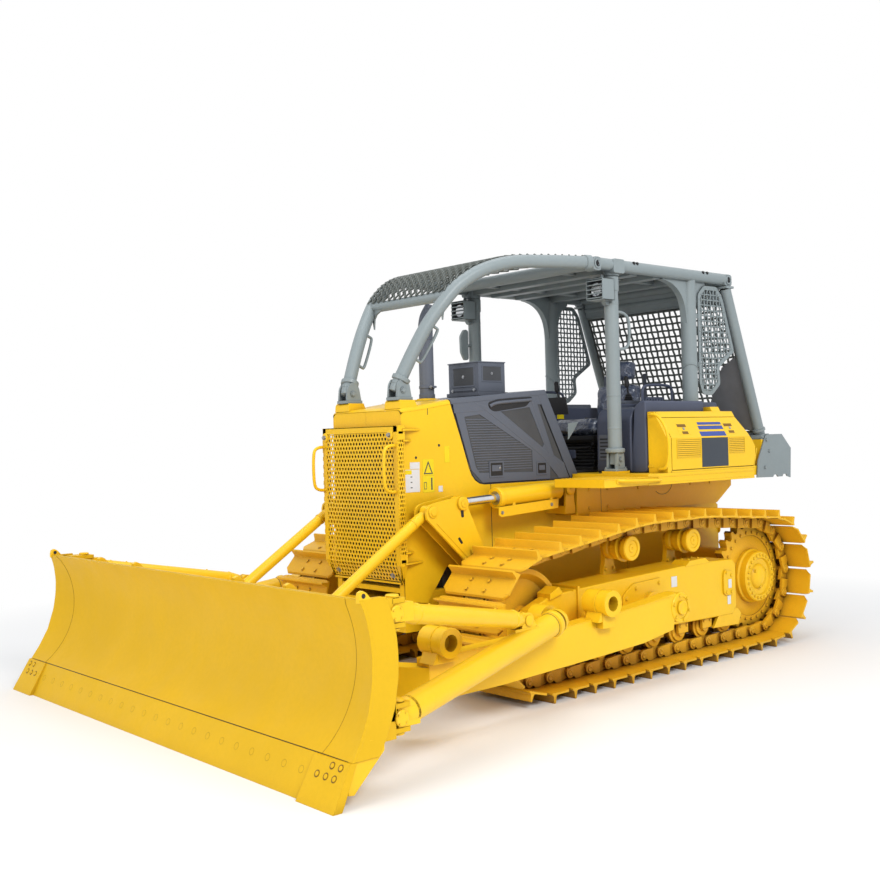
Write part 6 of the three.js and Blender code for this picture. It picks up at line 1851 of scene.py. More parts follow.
@dataclass
class FenderBox:
    """Box over the track with a swing-down door, louvres, stripes, latches and a grab bar."""

    side: Side
    floor: float = 1.4605
    top: float = 1.925
    front: float = 0.912
    inner: float = 0.690
    slim: float = 0.954
    slope: tuple[Flat, ...] = ((-0.125, 1.925), (-0.185, 1.750), (-0.292, 1.612))
    skin: float = 0.012

    def roof_line(self, x: float) -> float:
        """Height of the box's roof at a station."""
        for (x0, z0), (x1, z1) in zip(self.slope, self.slope[1:]):
            if x > x1:
                return z1 + (z0 - z1) * min(1.0, (x - x1) / (x0 - x1))
        return self.slope[-1][1]

    def build(self) -> None:
        """Builds box, door and trim."""
        word = self.side.word
        self.box(word)
        self.door(word)
        self.trim(word)
        self.bar(word)

    def ring(self, x: float, inset: float, bottom: float, rise: float = 0.0) -> list[Vector]:
        """Cross section of the box at a station."""
        roof = self.roof_line(x) - rise
        knee = min(1.72, roof - 0.001)
        inner = self.slim if x > 0.17 else self.inner
        return [Vector((x, y, z)) for y, z in ((inner, bottom), (1.130 - inset, bottom),
                                               (1.130 - inset, knee),
                                               (slant_y(roof) - inset, roof), (inner, roof))]

    def box(self, word: str) -> None:
        """Body behind the door, with end walls, roof lip and sill."""
        shape = Shape()
        shape.solid([self.ring(x, 0.020, self.floor) for x in (0.905, 0.172)])
        stations = (0.168, -0.125, -0.185, -0.236)
        shape.solid([self.ring(x, 0.020, self.floor) for x in stations]
                     + [self.ring(-0.286, 0.020, 1.600)])
        shape.solid([self.ring(x, 0.0, self.floor) for x in (0.912, 0.862)])
        lip = [(slant_y(1.880), 1.880), (slant_y(self.top), self.top), (slant_y(self.top) - 0.05, self.top),
               (slant_y(1.880) - 0.05, 1.872)]
        shape.solid([[Vector((x, y, z)) for y, z in lip] for x in (0.90, -0.120)])
        shape.box(-0.235, 0.87, 1.09, 1.130, self.floor, 1.474)
        end = [(-0.242, self.floor), (-0.293, 1.617), (-0.284, 1.625), (-0.2335, self.floor)]
        shape.prism(end, "y", 1.0, 1.129)
        for x in (0.05, 0.12):
            shape.box(x - 0.034, x + 0.034, 0.70, 0.83, self.top - 0.01, self.top + 0.033)
        shape.box(0.005, 0.165, 0.70, 0.84, self.top - 0.01, self.top + 0.035)
        shape.prism([(0.92, 1.895), (1.02, 1.895), (0.985, 1.962), (0.69, 1.962), (0.69, 1.925)], "x", 0.03,
                    0.145)
        shape.box(0.90, 0.914, 0.695, 1.0, 1.50, 1.515)
        shape.on(self.side).piece(f"fender_shell_{word}", YELLOW, "chassis", "body_yellow",
                                  [f"fender_box_{word}"], bevel=0.006)

    def door(self, word: str) -> None:
        """Door skin with folded edges, from the front edge to the slanted rear end."""
        rings = []
        for x, rise, low in ((0.855, 0.012, 1.480), (0.80, 0.012, 1.480), (-0.120, 0.012, 1.480),
                             (-0.185, 0.012, 1.480), (-0.232, 0.012, 1.480), (-0.262, 0.014, 1.56)):
            z1 = min(1.876, self.roof_line(x) - rise)
            knee = min(1.72, z1 - 0.001)
            rings.append([Vector((x, y, z)) for y, z in (
                (1.130, low), (1.130, knee), (slant_y(z1), z1), (slant_y(z1) - self.skin, z1),
                (1.130 - self.skin, knee), (1.130 - self.skin, low))])
        door = Shape().solid(rings)
        door.bar((0.0, 1.123, 1.486), (0.85, 1.123, 1.486), 0.007, 12)
        door.on(self.side).piece(f"fender_door_skin_{word}", YELLOW, f"fender_door_{word}", "body_yellow",
                                 [f"fender_door_{word}"], bevel=0.004)

    def sloped(self, shape: Shape, x0: float, x1: float, z0: float, z1: float, out: float,
               skew: float = 0.0) -> None:
        """A thin sheet on the leaning part of the door."""
        corners = [(x0, z0), (x1, z0), (x1 + skew, z1), (x0 + skew, z1)]
        shape.solid([[Vector((x, slant_y(z) + d * 0.86, z + d * 0.50)) for x, z in corners]
                     for d in (-0.004, out)])

    def trim(self, word: str) -> None:
        """Stripes, blank plate, louvres and latches."""
        body = f"fender_door_{word}"
        blue = Shape()
        for x0, x1, z0, z1 in ((0.126, 0.440, 1.818, 1.838), (0.126, 0.452, 1.781, 1.809),
                               (0.130, 0.468, 1.728, 1.764)):
            self.sloped(blue, x0, x1, z0, z1, 0.0011)
        blue.on(self.side).piece(f"fender_stripes_{word}", STRIPE_BLUE, body, "body_yellow")
        plate = Shape().box(0.122, 0.474, 1.129, 1.1314, 1.489, 1.715)
        plate.on(self.side).piece(f"fender_plate_{word}", PLATE_DARK, body, "body_yellow")
        slats, dark = Shape(), Shape()
        for x0, x1, z0, z1 in ((0.486, 0.795, 1.565, 1.712), (-0.115, 0.108, 1.585, 1.712)):
            out = [(x0, z0), (x1, z0), (x1, z1), (x0, z1)]
            slats.frame(out, inset(out, 0.006), "y", 1.1285, 1.1325)
            rows = round((z1 - z0) / 0.0168)
            pitch = (z1 - z0 - 0.012) / rows
            for k in range(rows):
                z = z0 + 0.006 + pitch * k
                slats.solid([[Vector((x, y, h))
                              for y, h in ((1.1290, z + 0.002), (1.1325, z + 0.002),
                                           (1.1292, z + pitch - 0.003))]
                              for x in (x0 + 0.008, x1 - 0.008)])
                # Painted shade: a dark yellow strip under each slat stands for the shade between the
                # louvres.
                dark.box(x0 + 0.008, x1 - 0.008, 1.129, 1.1304, z + pitch - 0.0035, z + pitch + 0.001)
        slats.on(self.side).piece(f"fender_louvres_{word}", YELLOW, body, "body_yellow")
        dark.on(self.side).piece(f"fender_louvre_gaps_{word}", Paint(
            "deep_yellow", (0.55, 0.30, 0.01), (0.25, 0.12, 0.004), roughness=0.5), body, "body_yellow")
        wells, steel, pads = Shape(), Shape(), Shape()
        for x, z in ((0.660, 1.788), (0.045, 1.788)):
            self.sloped(pads, x - 0.075, x + 0.075, z - 0.045, z + 0.045, 0.0012, -0.02)
            # Painted shade: dark brown sheets stand for the shaded recesses of each latch.
            self.sloped(wells, x - 0.055, x + 0.055, z + 0.014, z + 0.036, 0.0022)
            self.sloped(wells, x - 0.045, x + 0.028, z - 0.040, z - 0.020, 0.0022)
            out = Vector((0, 0.86, 0.50))
            at = Vector((x - 0.01, slant_y(z), z))
            steel.turned([(0.012, 0.0), (0.012, 0.004), (0.008, 0.006)], at + out * 0.001, tuple(out), 18)
        pads.on(self.side).piece(f"fender_latch_pads_{word}", YELLOW, body, "body_yellow", bevel=0.001)
        wells.on(self.side).piece(f"fender_latch_wells_{word}", Paint(
            "well_brown", (0.22, 0.11, 0.012), (0.05, 0.03, 0.01), roughness=0.6), body, "body_yellow")
        steel.on(self.side).piece(f"fender_latches_{word}", STEEL, body, "body_yellow")

    def bar(self, word: str) -> None:
        """Grab bar up the front of the box and its two bolts."""
        line = [(0.908, 0.985, 1.900), (0.950, 1.010, 1.903), (0.956, 1.075, 1.893), (0.956, 1.140, 1.822),
                (0.956, 1.172, 1.730), (0.956, 1.170, 1.560), (0.954, 1.140, 1.502), (0.945, 1.080, 1.487),
                (0.908, 1.060, 1.486)]
        bar = Shape().tube(smooth_line(line, 44), 0.0115, 14)
        for y, z in ((0.985, 1.900), (1.060, 1.486)):
            bar.turned([(0.020, -0.002), (0.020, 0.004)], (0.912, y, z), (1, 0, 0), 18)
        bar.on(self.side).piece(f"fender_bar_{word}", YELLOW, "chassis", "body_yellow")


@dataclass
class Deck:
    """Floor details: side lips, grips, seams and covers."""

    half: float = 1.130
    under: float = 0.600

    def build(self) -> None:
        """Builds the details of both sides."""
        lip = Shape()
        h = self.half
        lip.box(-0.238, 1.148, h - 0.02, h + 0.004, 1.376, 1.392)
        lip.box(-0.238, 1.640, h - 0.02, h + 0.003, 1.4325, 1.4395)
        lip.tube(smooth_line([(1.02, h + 0.001, 1.415), (1.05, h + 0.034, 1.415), (1.10, h + 0.042, 1.415),
                              (1.42, h + 0.042, 1.424), (1.47, h + 0.034, 1.425), (1.50, h + 0.001, 1.426)],
                              30), 0.0115, 12)
        for x in (1.02, 1.50):
            lip.turned([(0.02, -0.001), (0.02, 0.005)], (x, h, 1.42), (0, 1, 0), 16)
        lip.mirror()
        lip.piece("deck_lips", YELLOW, "chassis", "body_yellow", bevel=0.002)
        studs: list[tuple[Point, Point]] = []
        for i in range(11):
            for j in range(11):
                for s in (1, -1):
                    x = 1.185 + 0.042 * i + (0.021 if j % 2 else 0.0)
                    studs.append(((x, s * (0.70 + 0.038 * j), 1.4398), NO_TURN))
        stud = Shape().turned([(0.009, 0.0), (0.008, 0.003), (0.004, 0.0042)], (0, 0, 0), (0, 0, 1), 8)
        REPEAT.piece(stud, studs, "step_studs", YELLOW, "chassis", "body_yellow")
        mat = Shape()
        mat.box(0.72, 1.045, -0.315, 0.315, 1.4602, 1.472)
        for k in range(12):
            mat.box(0.735 + 0.025 * k, 0.745 + 0.025 * k, -0.305, 0.305, 1.471, 1.4755)
        mat.piece("floor_mat", RUBBER, "chassis", "body_yellow", bevel=0.003)
        pedals = Shape()
        for y in (-0.20, 0.0, 0.20):
            pedals.tube([(1.04, y, 1.475), (1.01, y, 1.56), (0.955, y, 1.60)], 0.010, 10)
            pedals.prism(rounded([(y - 0.05, 1.575), (y + 0.05, 1.575), (y + 0.045, 1.645),
                                  (y - 0.045, 1.645)], 0.012),
                         "x", 0.935, 0.948)
        pedals.piece("pedals", CONSOLE_BLUE, "chassis", "body_yellow", bevel=0.002)
        self.seams()

    def seams(self) -> None:
        """Plate seams, bolts and the lifting hole under the deck."""
        dark = Shape()
        under = self.under
        dark.box(1.058, 1.062, under - 0.002, under + 0.0008, 1.16, 1.376)
        arc = [(0.28 + 0.13 * math.cos(a), under + 0.0005, 1.36 - 0.10 * math.sin(a)) for a in
               (math.pi * (0.25 + 0.75 * k / 12) for k in range(13))]
        dark.tube(arc, 0.0018, 6)
        dark.mirror()
        dark.piece("deck_seams", BLACK, "chassis", "body_yellow")
        bolts = Shape()
        for x, z in ((1.20, 1.34), (1.20, 1.20), (0.98, 1.34), (0.98, 1.20), (0.60, 1.33), (-0.1, 1.33),
                     (-0.38, 1.33)):
            bolts.bolt((x, under, z), (0, 1, 0), 0.010, 0.008)
        bolts.mirror()
        bolts.piece("deck_bolts", YELLOW, "chassis", "body_yellow")


@dataclass
class Seat:
    """Padded seat under film on a black suspension."""

    voxel: float = 0.008
    steps: int = 20
    pressure: float = 4.0
    quality: int = 5

    def build(self) -> None:
        """Builds cushion, back, headrest and base."""
        cushion = [(0.185, 1.776), (0.69, 1.776), (0.708, 1.80), (0.704, 1.868), (0.675, 1.886),
                   (0.40, 1.874), (0.19, 1.868)]
        self.pad("seat_pad", cushion, -0.245, 0.245, 0.014, ["seat_cushion"])
        back = [(0.050, 1.780), (0.150, 1.780), (0.140, 2.00), (0.118, 2.16), (0.095, 2.20), (0.02, 2.20),
                (0.012, 2.16), (0.028, 2.0)]
        self.pad("seat_back_pad", back, -0.215, 0.215, 0.012, ["seat_back"])
        head = [(-0.005, 2.235), (0.098, 2.235), (0.092, 2.385), (0.055, 2.396), (-0.012, 2.388),
                (-0.018, 2.36)]
        self.pad("seat_head_pad", head, -0.135, 0.135, 0.010, [])
        self.frame()

    def pad(self, name: str, outline: Sequence[Flat], low: float, high: float, cap: float,
            replaces: Sequence[str]) -> None:
        """One cushion swollen by cloth pressure.

        Args:
            name: Piece name.
            outline: Side view of the smaller start form.
            low: Its right side.
            high: Its left side.
            cap: How far a point may move.
            replaces: CAD nodes it stands for.
        """
        shape = Shape()
        rounds = rounded(outline, 0.03, 5)
        middle = Vector((sum(p[0] for p in rounds), sum(p[1] for p in rounds))) / len(rounds)
        rings = []
        for y, shrink in ((low, 0.82), (low + 0.015, 0.93), (low + 0.05, 1.0), (high - 0.05, 1.0),
                          (high - 0.015, 0.93), (high, 0.82)):
            rings.append([Vector((middle.x + (p[0] - middle.x) * shrink, y,
                                  middle.y + (p[1] - middle.y) * shrink))
                          for p in rounds])
        shape.solid(rings)
        mesh = shape.mesh(name)
        mesh = self.swell(mesh, name, cap)
        for face in mesh.polygons:
            face.use_smooth = True
        piece = place_piece(mesh, name, SEAT_COVER, "chassis", "seat_cover", replaces)

    def swell(self, mesh: bpy.types.Mesh, name: str, cap: float) -> bpy.types.Mesh:
        """Remeshes a form and swells it as cloth under pressure.

        Returns:
            The swollen mesh.
        """
        scene = bpy.context.scene
        form = bpy.data.objects.new(f"{name}_form", mesh)
        scene.collection.objects.link(form)
        even = form.modifiers.new("even", "REMESH")
        even.mode, even.voxel_size = "VOXEL", self.voxel
        bpy.context.view_layer.update()
        start = bpy.data.meshes.new_from_object(form.evaluated_get(bpy.context.evaluated_depsgraph_get()))
        form.modifiers.remove(even)
        form.data = start
        rest = [v.co.copy() for v in start.vertices]
        cloth = form.modifiers.new("cloth", "CLOTH")
        cloth.settings.use_pressure = True
        cloth.settings.uniform_pressure_force = self.pressure
        cloth.settings.effector_weights.gravity = 0.0
        cloth.settings.quality = self.quality
        cloth.point_cache.frame_start, cloth.point_cache.frame_end = 1, self.steps
        for step in range(1, self.steps + 1):
            scene.frame_set(step)
        swollen = bpy.data.meshes.new_from_object(form.evaluated_get(bpy.context.evaluated_depsgraph_get()))
        form.modifiers.remove(cloth)
        scene.frame_set(1)
        for vertex, old in zip(swollen.vertices, rest):
            move = vertex.co - old
            if move.length > cap:
                vertex.co = old + move.normalized() * cap
        form.data = swollen
        finer = form.modifiers.new("finer", "SUBSURF")
        finer.levels = finer.render_levels = 1
        bpy.context.view_layer.update()
        done = bpy.data.meshes.new_from_object(form.evaluated_get(bpy.context.evaluated_depsgraph_get()))
        bpy.data.objects.remove(form)
        return done

    def frame(self) -> None:
        """Suspension, rails, brackets and piping."""
        base = Shape()
        base.prism(rounded([(0.06, 1.4608), (0.66, 1.4608), (0.66, 1.50), (0.06, 1.50)], 0.01), "y", -0.19,
                   0.19)
        for k in range(7):
            z, w = 1.505 + 0.028 * k, 0.17 + (0.012 if k % 2 else 0.0)
            base.prism(rounded([(0.10 - w * 0.1, z), (0.60 + w * 0.15, z), (0.60 + w * 0.15, z + 0.026),
                                (0.10 - w * 0.1, z + 0.026)],
                               0.012), "y", -w, w)
        base.prism([(0.06, 1.70), (0.67, 1.70), (0.69, 1.725), (0.69, 1.757), (0.05, 1.757), (0.05, 1.725)],
                   "y", -0.225, 0.225)
        for s in (1, -1):
            base.box(0.08, 0.68, *sorted((s * 0.19, s * 0.215)), 1.675, 1.70)
            base.tube([(0.60, s * 0.18, 1.69), (0.66, s * 0.18, 1.665), (0.685, s * 0.18, 1.64)], 0.008, 8)
            base.bar((0.05, s * 0.06, 2.18), (0.045, s * 0.06, 2.26), 0.007, 10)
        base.tube(smooth_line([(0.62, -0.19, 1.672), (0.678, -0.16, 1.66), (0.686, 0.0, 1.655),
                               (0.678, 0.16, 1.66), (0.62, 0.19, 1.672)], 20), 0.009, 10)
        base.prism([(0.015, 1.765), (0.055, 1.765), (0.04, 2.17), (0.005, 2.17)], "y", -0.19, 0.19)
        base.piece("seat_suspension", RUBBER, "chassis", "black_paint", ["seat_base"], bevel=0.003)
        belt = Shape()
        for s in (1, -1):
            belt.box(0.15, 0.22, *sorted((s * 0.238, s * 0.252)), 1.765, 1.83)
            belt.tube(smooth_line([(0.185, s * 0.247, 1.82), (0.22, s * 0.235, 1.888),
                                   (0.30, s * 0.19, 1.910), (0.36, s * 0.11, 1.907)], 14), 0.007, 8)
        belt.piece("seat_belt", BLACK, "chassis", "black_paint")


@dataclass
class Console:
    """Side console: armrest, pod, lever with bellows, rail, switches and labels."""

    side: Side

    def build(self) -> None:
        """Builds the console's pieces."""
        word = self.side.word
        shape = Shape()
        pod = rounded([(-0.208, 1.4608), (0.950, 1.4608), (0.940, 1.88), (0.892, 1.958), (0.150, 1.958),
                       (0.085, 2.008), (-0.208, 2.008)], 0.03, 5)
        shape.prism(pod, "y", 0.477, 0.815)
        slab = rounded([(0.794, 1.4608), (0.950, 1.4608), (0.950, 2.012), (0.905, 2.012), (0.842, 1.975),
                        (0.822, 1.76)], 0.03)
        shape.prism(slab, "x", 0.175, 0.930)
        rest = rounded([(-0.058, 1.4608), (0.638, 1.4608), (0.655, 1.60), (0.698, 1.86), (0.688, 1.975),
                        (0.640, 2.008), (-0.058, 2.008)], 0.035, 5)
        shape.prism(rest, "y", 0.327, 0.484)
        shape.on(self.side).piece(f"console_body_{word}", CONSOLE_BLUE, "chassis", "dark_grey",
                                  [f"console_{word}"], bevel=0.012)
        pads = Shape()
        pads.prism(rounded([(0.05, 1.995), (0.52, 1.995), (0.54, 2.015), (0.52, 2.036), (0.05, 2.036)],
                           0.015), "y", 0.335, 0.440)
        pads.prism(rounded([(0.16, 1.945), (0.88, 1.945), (0.88, 1.968), (0.16, 1.968)], 0.01), "y", 0.50,
                   0.66)
        for k in range(5):
            pads.box(0.28 + 0.07 * k, 0.325 + 0.07 * k, 0.52, 0.565, 1.966, 1.974)
        pads.box(0.943, 0.952, 0.50, 0.66, 1.56, 1.76)
        pads.on(self.side).piece(f"console_pads_{word}", PANEL_GREY, "chassis", "dark_grey", bevel=0.004)
        dark = Shape()
        for k in range(6):
            dark.box(0.9505, 0.9535, 0.515, 0.645, 1.58 + 0.028 * k, 1.590 + 0.028 * k)
        dark.box(0.10, 0.62, 0.3262, 0.3285, 1.86, 1.864)
        dark.box(0.638, 0.642, 0.3262, 0.3285, 1.50, 1.86)
        dark.turned([(0.040, 0), (0.042, 0.006), (0.034, 0.012), (0.040, 0.018), (0.030, 0.026),
                     (0.035, 0.032),
                     (0.025, 0.042), (0.028, 0.048), (0.014, 0.062)], (0.42, 0.385, 2.034), (0, 0, 1), 24)
        dark.bar((0.42, 0.385, 2.09), (0.437, 0.388, 2.15), 0.008, 12)
        dark.turned([(0.010, 0), (0.019, 0.008), (0.022, 0.030), (0.019, 0.062), (0.021, 0.082),
                     (0.010, 0.096)],
                    (0.437, 0.388, 2.145), (0.15, 0, 1), 20)
        dark.on(self.side).piece(f"console_controls_{word}", BLACK, "chassis", "dark_grey")
        rail = Shape()
        line = [(0.12, 0.60, 1.985), (0.12, 0.60, 2.10), (0.135, 0.60, 2.135), (0.17, 0.60, 2.15),
                (0.46, 0.60, 2.15), (0.495, 0.60, 2.135), (0.51, 0.60, 2.10), (0.51, 0.60, 1.955)]
        rail.tube(smooth_line(line, 36), 0.012, 12)
        rail.box(0.20, 0.43, 0.54, 0.575, 1.955, 2.06)
        for k in range(6):
            rail.box(0.215 + 0.036 * k, 0.235 + 0.036 * k, 0.574, 0.582, 1.975, 2.045)
        for x in (0.12, 0.51):
            rail.turned([(0.022, -0.01), (0.022, 0.004)], (x, 0.60, 1.958 if x > 0.2 else 1.99), (0, 0, 1),
                        16)
        rail.on(self.side).piece(f"console_rail_{word}", CONSOLE_BLUE, "chassis", "dark_grey", bevel=0.003)
        if self.side is Side.RIGHT:
            sticker = Shape().box(0.428, 0.514, -0.3267, -0.3252, 1.909, 1.995)
            sticker.piece("console_sticker", LABEL_YELLOW, "chassis", "dark_grey")


DASH_BRACKET: tuple[Flat, ...] = ((1.160, 1.856), (1.037, 1.869), (1.100, 1.790), (1.165, 1.726))


@dataclass
class Dash:
    """Dashboard details behind the hood."""

    rear: float = 1.068

    def build(self) -> None:
        """Builds the gauge panel, gauges and the pale brackets."""
        dark, glass = Shape(), Shape()
        x = self.rear
        dark.prism([(-0.30, 1.93), (0.30, 1.93), (0.27, 2.07), (-0.27, 2.07)], "x", x - 0.0025, x + 0.004)
        for y in (-0.18, -0.06, 0.06, 0.18):
            dark.turned([(0.045, 0.0), (0.045, 0.008), (0.040, 0.010)], (x - 0.001, y, 2.005), (-1, 0, 0),
                        28)
            glass.turned([(0.037, 0.0), (0.036, 0.002)], (x - 0.0095, y, 2.005), (-1, 0, 0), 28)
        dark.piece("dash_gauges", BLACK, "chassis", "dark_grey")
        glass.piece("dash_glass", LAMP_GLASS, "chassis", "dark_grey")
        pale = Shape()
        for s in (1, -1):
            pale.prism(DASH_BRACKET, "y", *sorted((s * 0.366, s * 0.372)))
        pale.piece("dash_brackets", CANOPY_GREY, "chassis", "dark_grey", bevel=0.002)


# ---------------------------------------------------------------- blade and its frame
def on_face(z: float, out: float = 0.0) -> Vector:
    """Point on the blade's curved face at a height, moved out along the normal."""
    circle = Vector(FACE_CENTRE)
    drop = z - circle.y
    x = circle.x - math.sqrt(max(FACE_RADIUS ** 2 - drop ** 2, 0.0))
    normal = (circle - Vector((x, z))).normalized()
    return Vector((x, z)) + normal * out


def circle_through(a: Flat, b: Flat, c: Flat) -> tuple[Flat, float]:
    """Centre and radius of the circle through three points."""
    d = 2 * (a[0] * (b[1] - c[1]) + b[0] * (c[1] - a[1]) + c[0] * (a[1] - b[1]))
    sq = [p[0] ** 2 + p[1] ** 2 for p in (a, b, c)]
    x = (sq[0] * (b[1] - c[1]) + sq[1] * (c[1] - a[1]) + sq[2] * (a[1] - b[1])) / d
    y = (sq[0] * (c[0] - b[0]) + sq[1] * (a[0] - c[0]) + sq[2] * (b[0] - a[0])) / d
    return (x, y), math.hypot(a[0] - x, a[1] - y)


FACE_CENTRE, FACE_RADIUS = circle_through((4.430, 0.972), (4.325, 0.640), (4.556, 0.2123))


EDGE_SHADE = Paint("edge_shadow", (0.52, 0.30, 0.008), (0.2, 0.1, 0.004), roughness=0.6)


@dataclass
class Blade:
    """Blade details: end strips, ears, edge bolts, joint line, end plates and pin caps."""

    top: float = 0.972
    low: float = 0.2123
    half_top: float = 1.885
    half_low: float = 1.966
    bolts: int = 22
    rim: tuple[Flat, ...] = ((0.972, 4.431), (0.92, 4.409), (0.865, 4.396), (0.778, 4.383), (0.68, 4.383),
                             (0.57, 4.396), (0.42, 4.438), (0.30, 4.500), (0.2123, 4.558))

    def build(self) -> None:
        """Builds the details on the blade's body."""
        self.board()
        self.edge()
        self.ends()

    def half(self, z: float) -> float:
        """Half width of the blade at a height."""
        return self.half_top + (self.half_low - self.half_top) * (self.top - z) / (self.top - self.low)

    def crease(self, z: float) -> float:
        """Distance from the middle at which the end wings turn forward."""
        return self.half(z) - 0.116 - 0.137 * math.sqrt(max(0.0, (self.top - z) / (self.top - self.low)))

    def edge_x(self, z: float) -> float:
        """Station of the wings' outer edge at a height."""
        for (z1, x1), (z0, x0) in zip(self.rim, self.rim[1:]):
            if z >= z0 - 1e-6:
                return x0 + (x1 - x0) * min(1.0, (z - z0) / (z1 - z0))
        return self.rim[-1][1]

    def board(self) -> None:
        """Curved board with wings that turn forward at its ends, top flange and back beams."""
        steps = 22
        heights = [self.top + (self.low - self.top) * k / steps for k in range(steps + 1)]
        shape = Shape()
        rings, lines = [], Shape()
        for z in heights:
            face, edge, turn, end = on_face(z).x, self.edge_x(z), self.crease(z), self.half(z)
            front = [(edge, -end), (face, -turn), (face, turn), (edge, end)]
            rings.append([Vector((x - d, y, z)) for d, row in ((0.0, front), (0.022, front[::-1]))
                          for x, y in row])
        shape.solid(rings)
        # Painted shade: a thin dark yellow line along each crease stands for the shade where the wings turn
        # forward.
        for s in (1, -1):
            lines.tube([Vector((on_face(z).x + 0.0004, s * self.crease(z), z)) for z in heights], 0.0022, 6)
        lines.piece("blade_creases", EDGE_SHADE, "blade_frame", "blade_yellow")
        shape.box(4.385, 4.416, -1.884, 1.884, 0.954, 0.972)
        shape.piece("blade_board", BLADE_YELLOW, "blade_frame", "blade_yellow", ["blade"], bevel=0.002)
        self.beams(heights)
        line = Shape()
        p = on_face(self.low, 0.001)
        line.box(p.x - 0.012, p.x + 0.0012, -1.93, 1.93, 0.2085, 0.2150)
        line.piece("blade_joint_line", BLACK, "blade_frame", "blade_yellow")

    def beams(self, heights: Sequence[float]) -> None:
        """Cross beams, ribs, end plates, ball socket and pin brackets on the back."""
        shape = Shape()
        for beam in (((4.250, 0.84), (4.348, 0.84), (4.388, 0.93), (4.250, 0.93)),
                     ((4.210, 0.34), (4.320, 0.34), (4.320, 0.54), (4.210, 0.54)),
                     ((4.305, 0.25), (4.470, 0.25), (4.392, 0.35), (4.305, 0.35))):
            shape.prism(rounded(beam, 0.008, 3), "y", -1.885, 1.885)
        for y in (-1.30, -0.70, -0.25, 0.25, 0.70, 1.30):
            shape.prism([(4.255, 0.90), (4.215, 0.52), (4.315, 0.52), (4.320, 0.70), (4.350, 0.90)], "y",
                        y - 0.01, y + 0.01)
        shape.prism(rounded([(4.150, -0.13), (4.325, -0.13), (4.325, 0.13), (4.150, 0.13)], 0.02), "z",
                    0.26, 0.44)
        for s in (1, -1):
            shape.box(4.215, 4.315, *sorted((s * 1.775, s * 1.885)), 0.25, 0.96)
            for x, z in ((4.170, 0.349), (4.185, 0.880)):
                for z0 in (z - 0.075, z + 0.050):
                    shape.prism(rounded([(x - 0.06, s * 1.780), (x + 0.06, s * 1.780),
                                         (x + 0.06, s * 1.885),
                                         (x - 0.06, s * 1.885)], 0.025), "z", z0, z0 + 0.025)
                shape.bar((x, s * 1.840, z - 0.075), (x, s * 1.840, z + 0.075), 0.028, 24)
            shape.solid([[Vector((self.edge_x(z) - d, s * y, z)) for d, y in
                           ((0.004, self.half(z) - 0.001), (0.170, self.half(z) - 0.001), (0.170, 1.870),
                            (0.022, 1.870))]
                          for z in heights])
        shape.piece("blade_beams", BLADE_YELLOW, "blade_frame", "blade_yellow", bevel=0.003)

    def edge(self) -> None:
        """Bolt heads of the cutting edge and the end bits."""
        along = Vector((0.106, 0, -0.212)).normalized()
        out = Vector((0.894, 0, 0.447))
        wells: list[tuple[Point, Point]] = []
        heads: list[tuple[Point, Point]] = []
        turn = (0.0, math.atan2(out.x, out.z), 0.0)
        start = Vector((4.562, 0, 0.212))
        for k in range(self.bolts):
            y = -1.612 + 3.214 * k / (self.bolts - 1)
            at = start + along * 0.098
            wells.append(((at.x, y, at.z), turn))
        bit_out = Vector((0.867, 0, 0.499))
        bit_turn = (0.0, math.atan2(bit_out.x, bit_out.z), 0.0)
        bit_start, bit_along = Vector((4.572, 0, 0.212)), Vector((0.122, 0, -0.212)).normalized()
        for s in (1, -1):
            for y, d in ((1.842, 0.030), (1.910, 0.030), (1.752, 0.088), (1.824, 0.088), (1.892, 0.088)):
                at = bit_start + bit_along * d
                heads.append(((at.x, s * y, at.z), bit_turn))
        # Painted shade: thin dark rims round the bolt heads and dark brown discs under the end-bit bolts
        # stand for the shade round the heads.
        ring = Shape().ring(0.0200, 0.0182, (0, 0, -0.001), (0, 0, 1), 0.0014, 20)
        slot = Shape().turned([(0.0185, -0.002), (0.0185, 0.0002), (0.010, 0.0004)], (0, 0, 0), (0, 0, 1),
                              16)
        REPEAT.piece(ring, wells + heads, "edge_bolt_rims", EDGE_SHADE, "blade_frame", "blade_yellow")
        REPEAT.piece(slot, wells, "edge_bolts", BLADE_YELLOW, "blade_frame", "blade_yellow")
        REPEAT.piece(Shape().turned([(0.0185, -0.001), (0.0185, 0.0006), (0.0145, 0.0008)], (0, 0, 0),
                                    (0, 0, 1), 16), heads,
                     "end_bit_wells", Paint("well_brown", (0.22, 0.11, 0.012), (0.05, 0.03, 0.01),
                                            roughness=0.6),
                     "blade_frame", "blade_yellow")
        REPEAT.piece(Shape().turned([(0.013, 0.0), (0.013, 0.004), (0.009, 0.006)], (0, 0.003, 0),
                                    (0, 0, 1), 12), heads,
                     "end_bit_bolts", BLADE_YELLOW, "blade_frame", "blade_yellow")

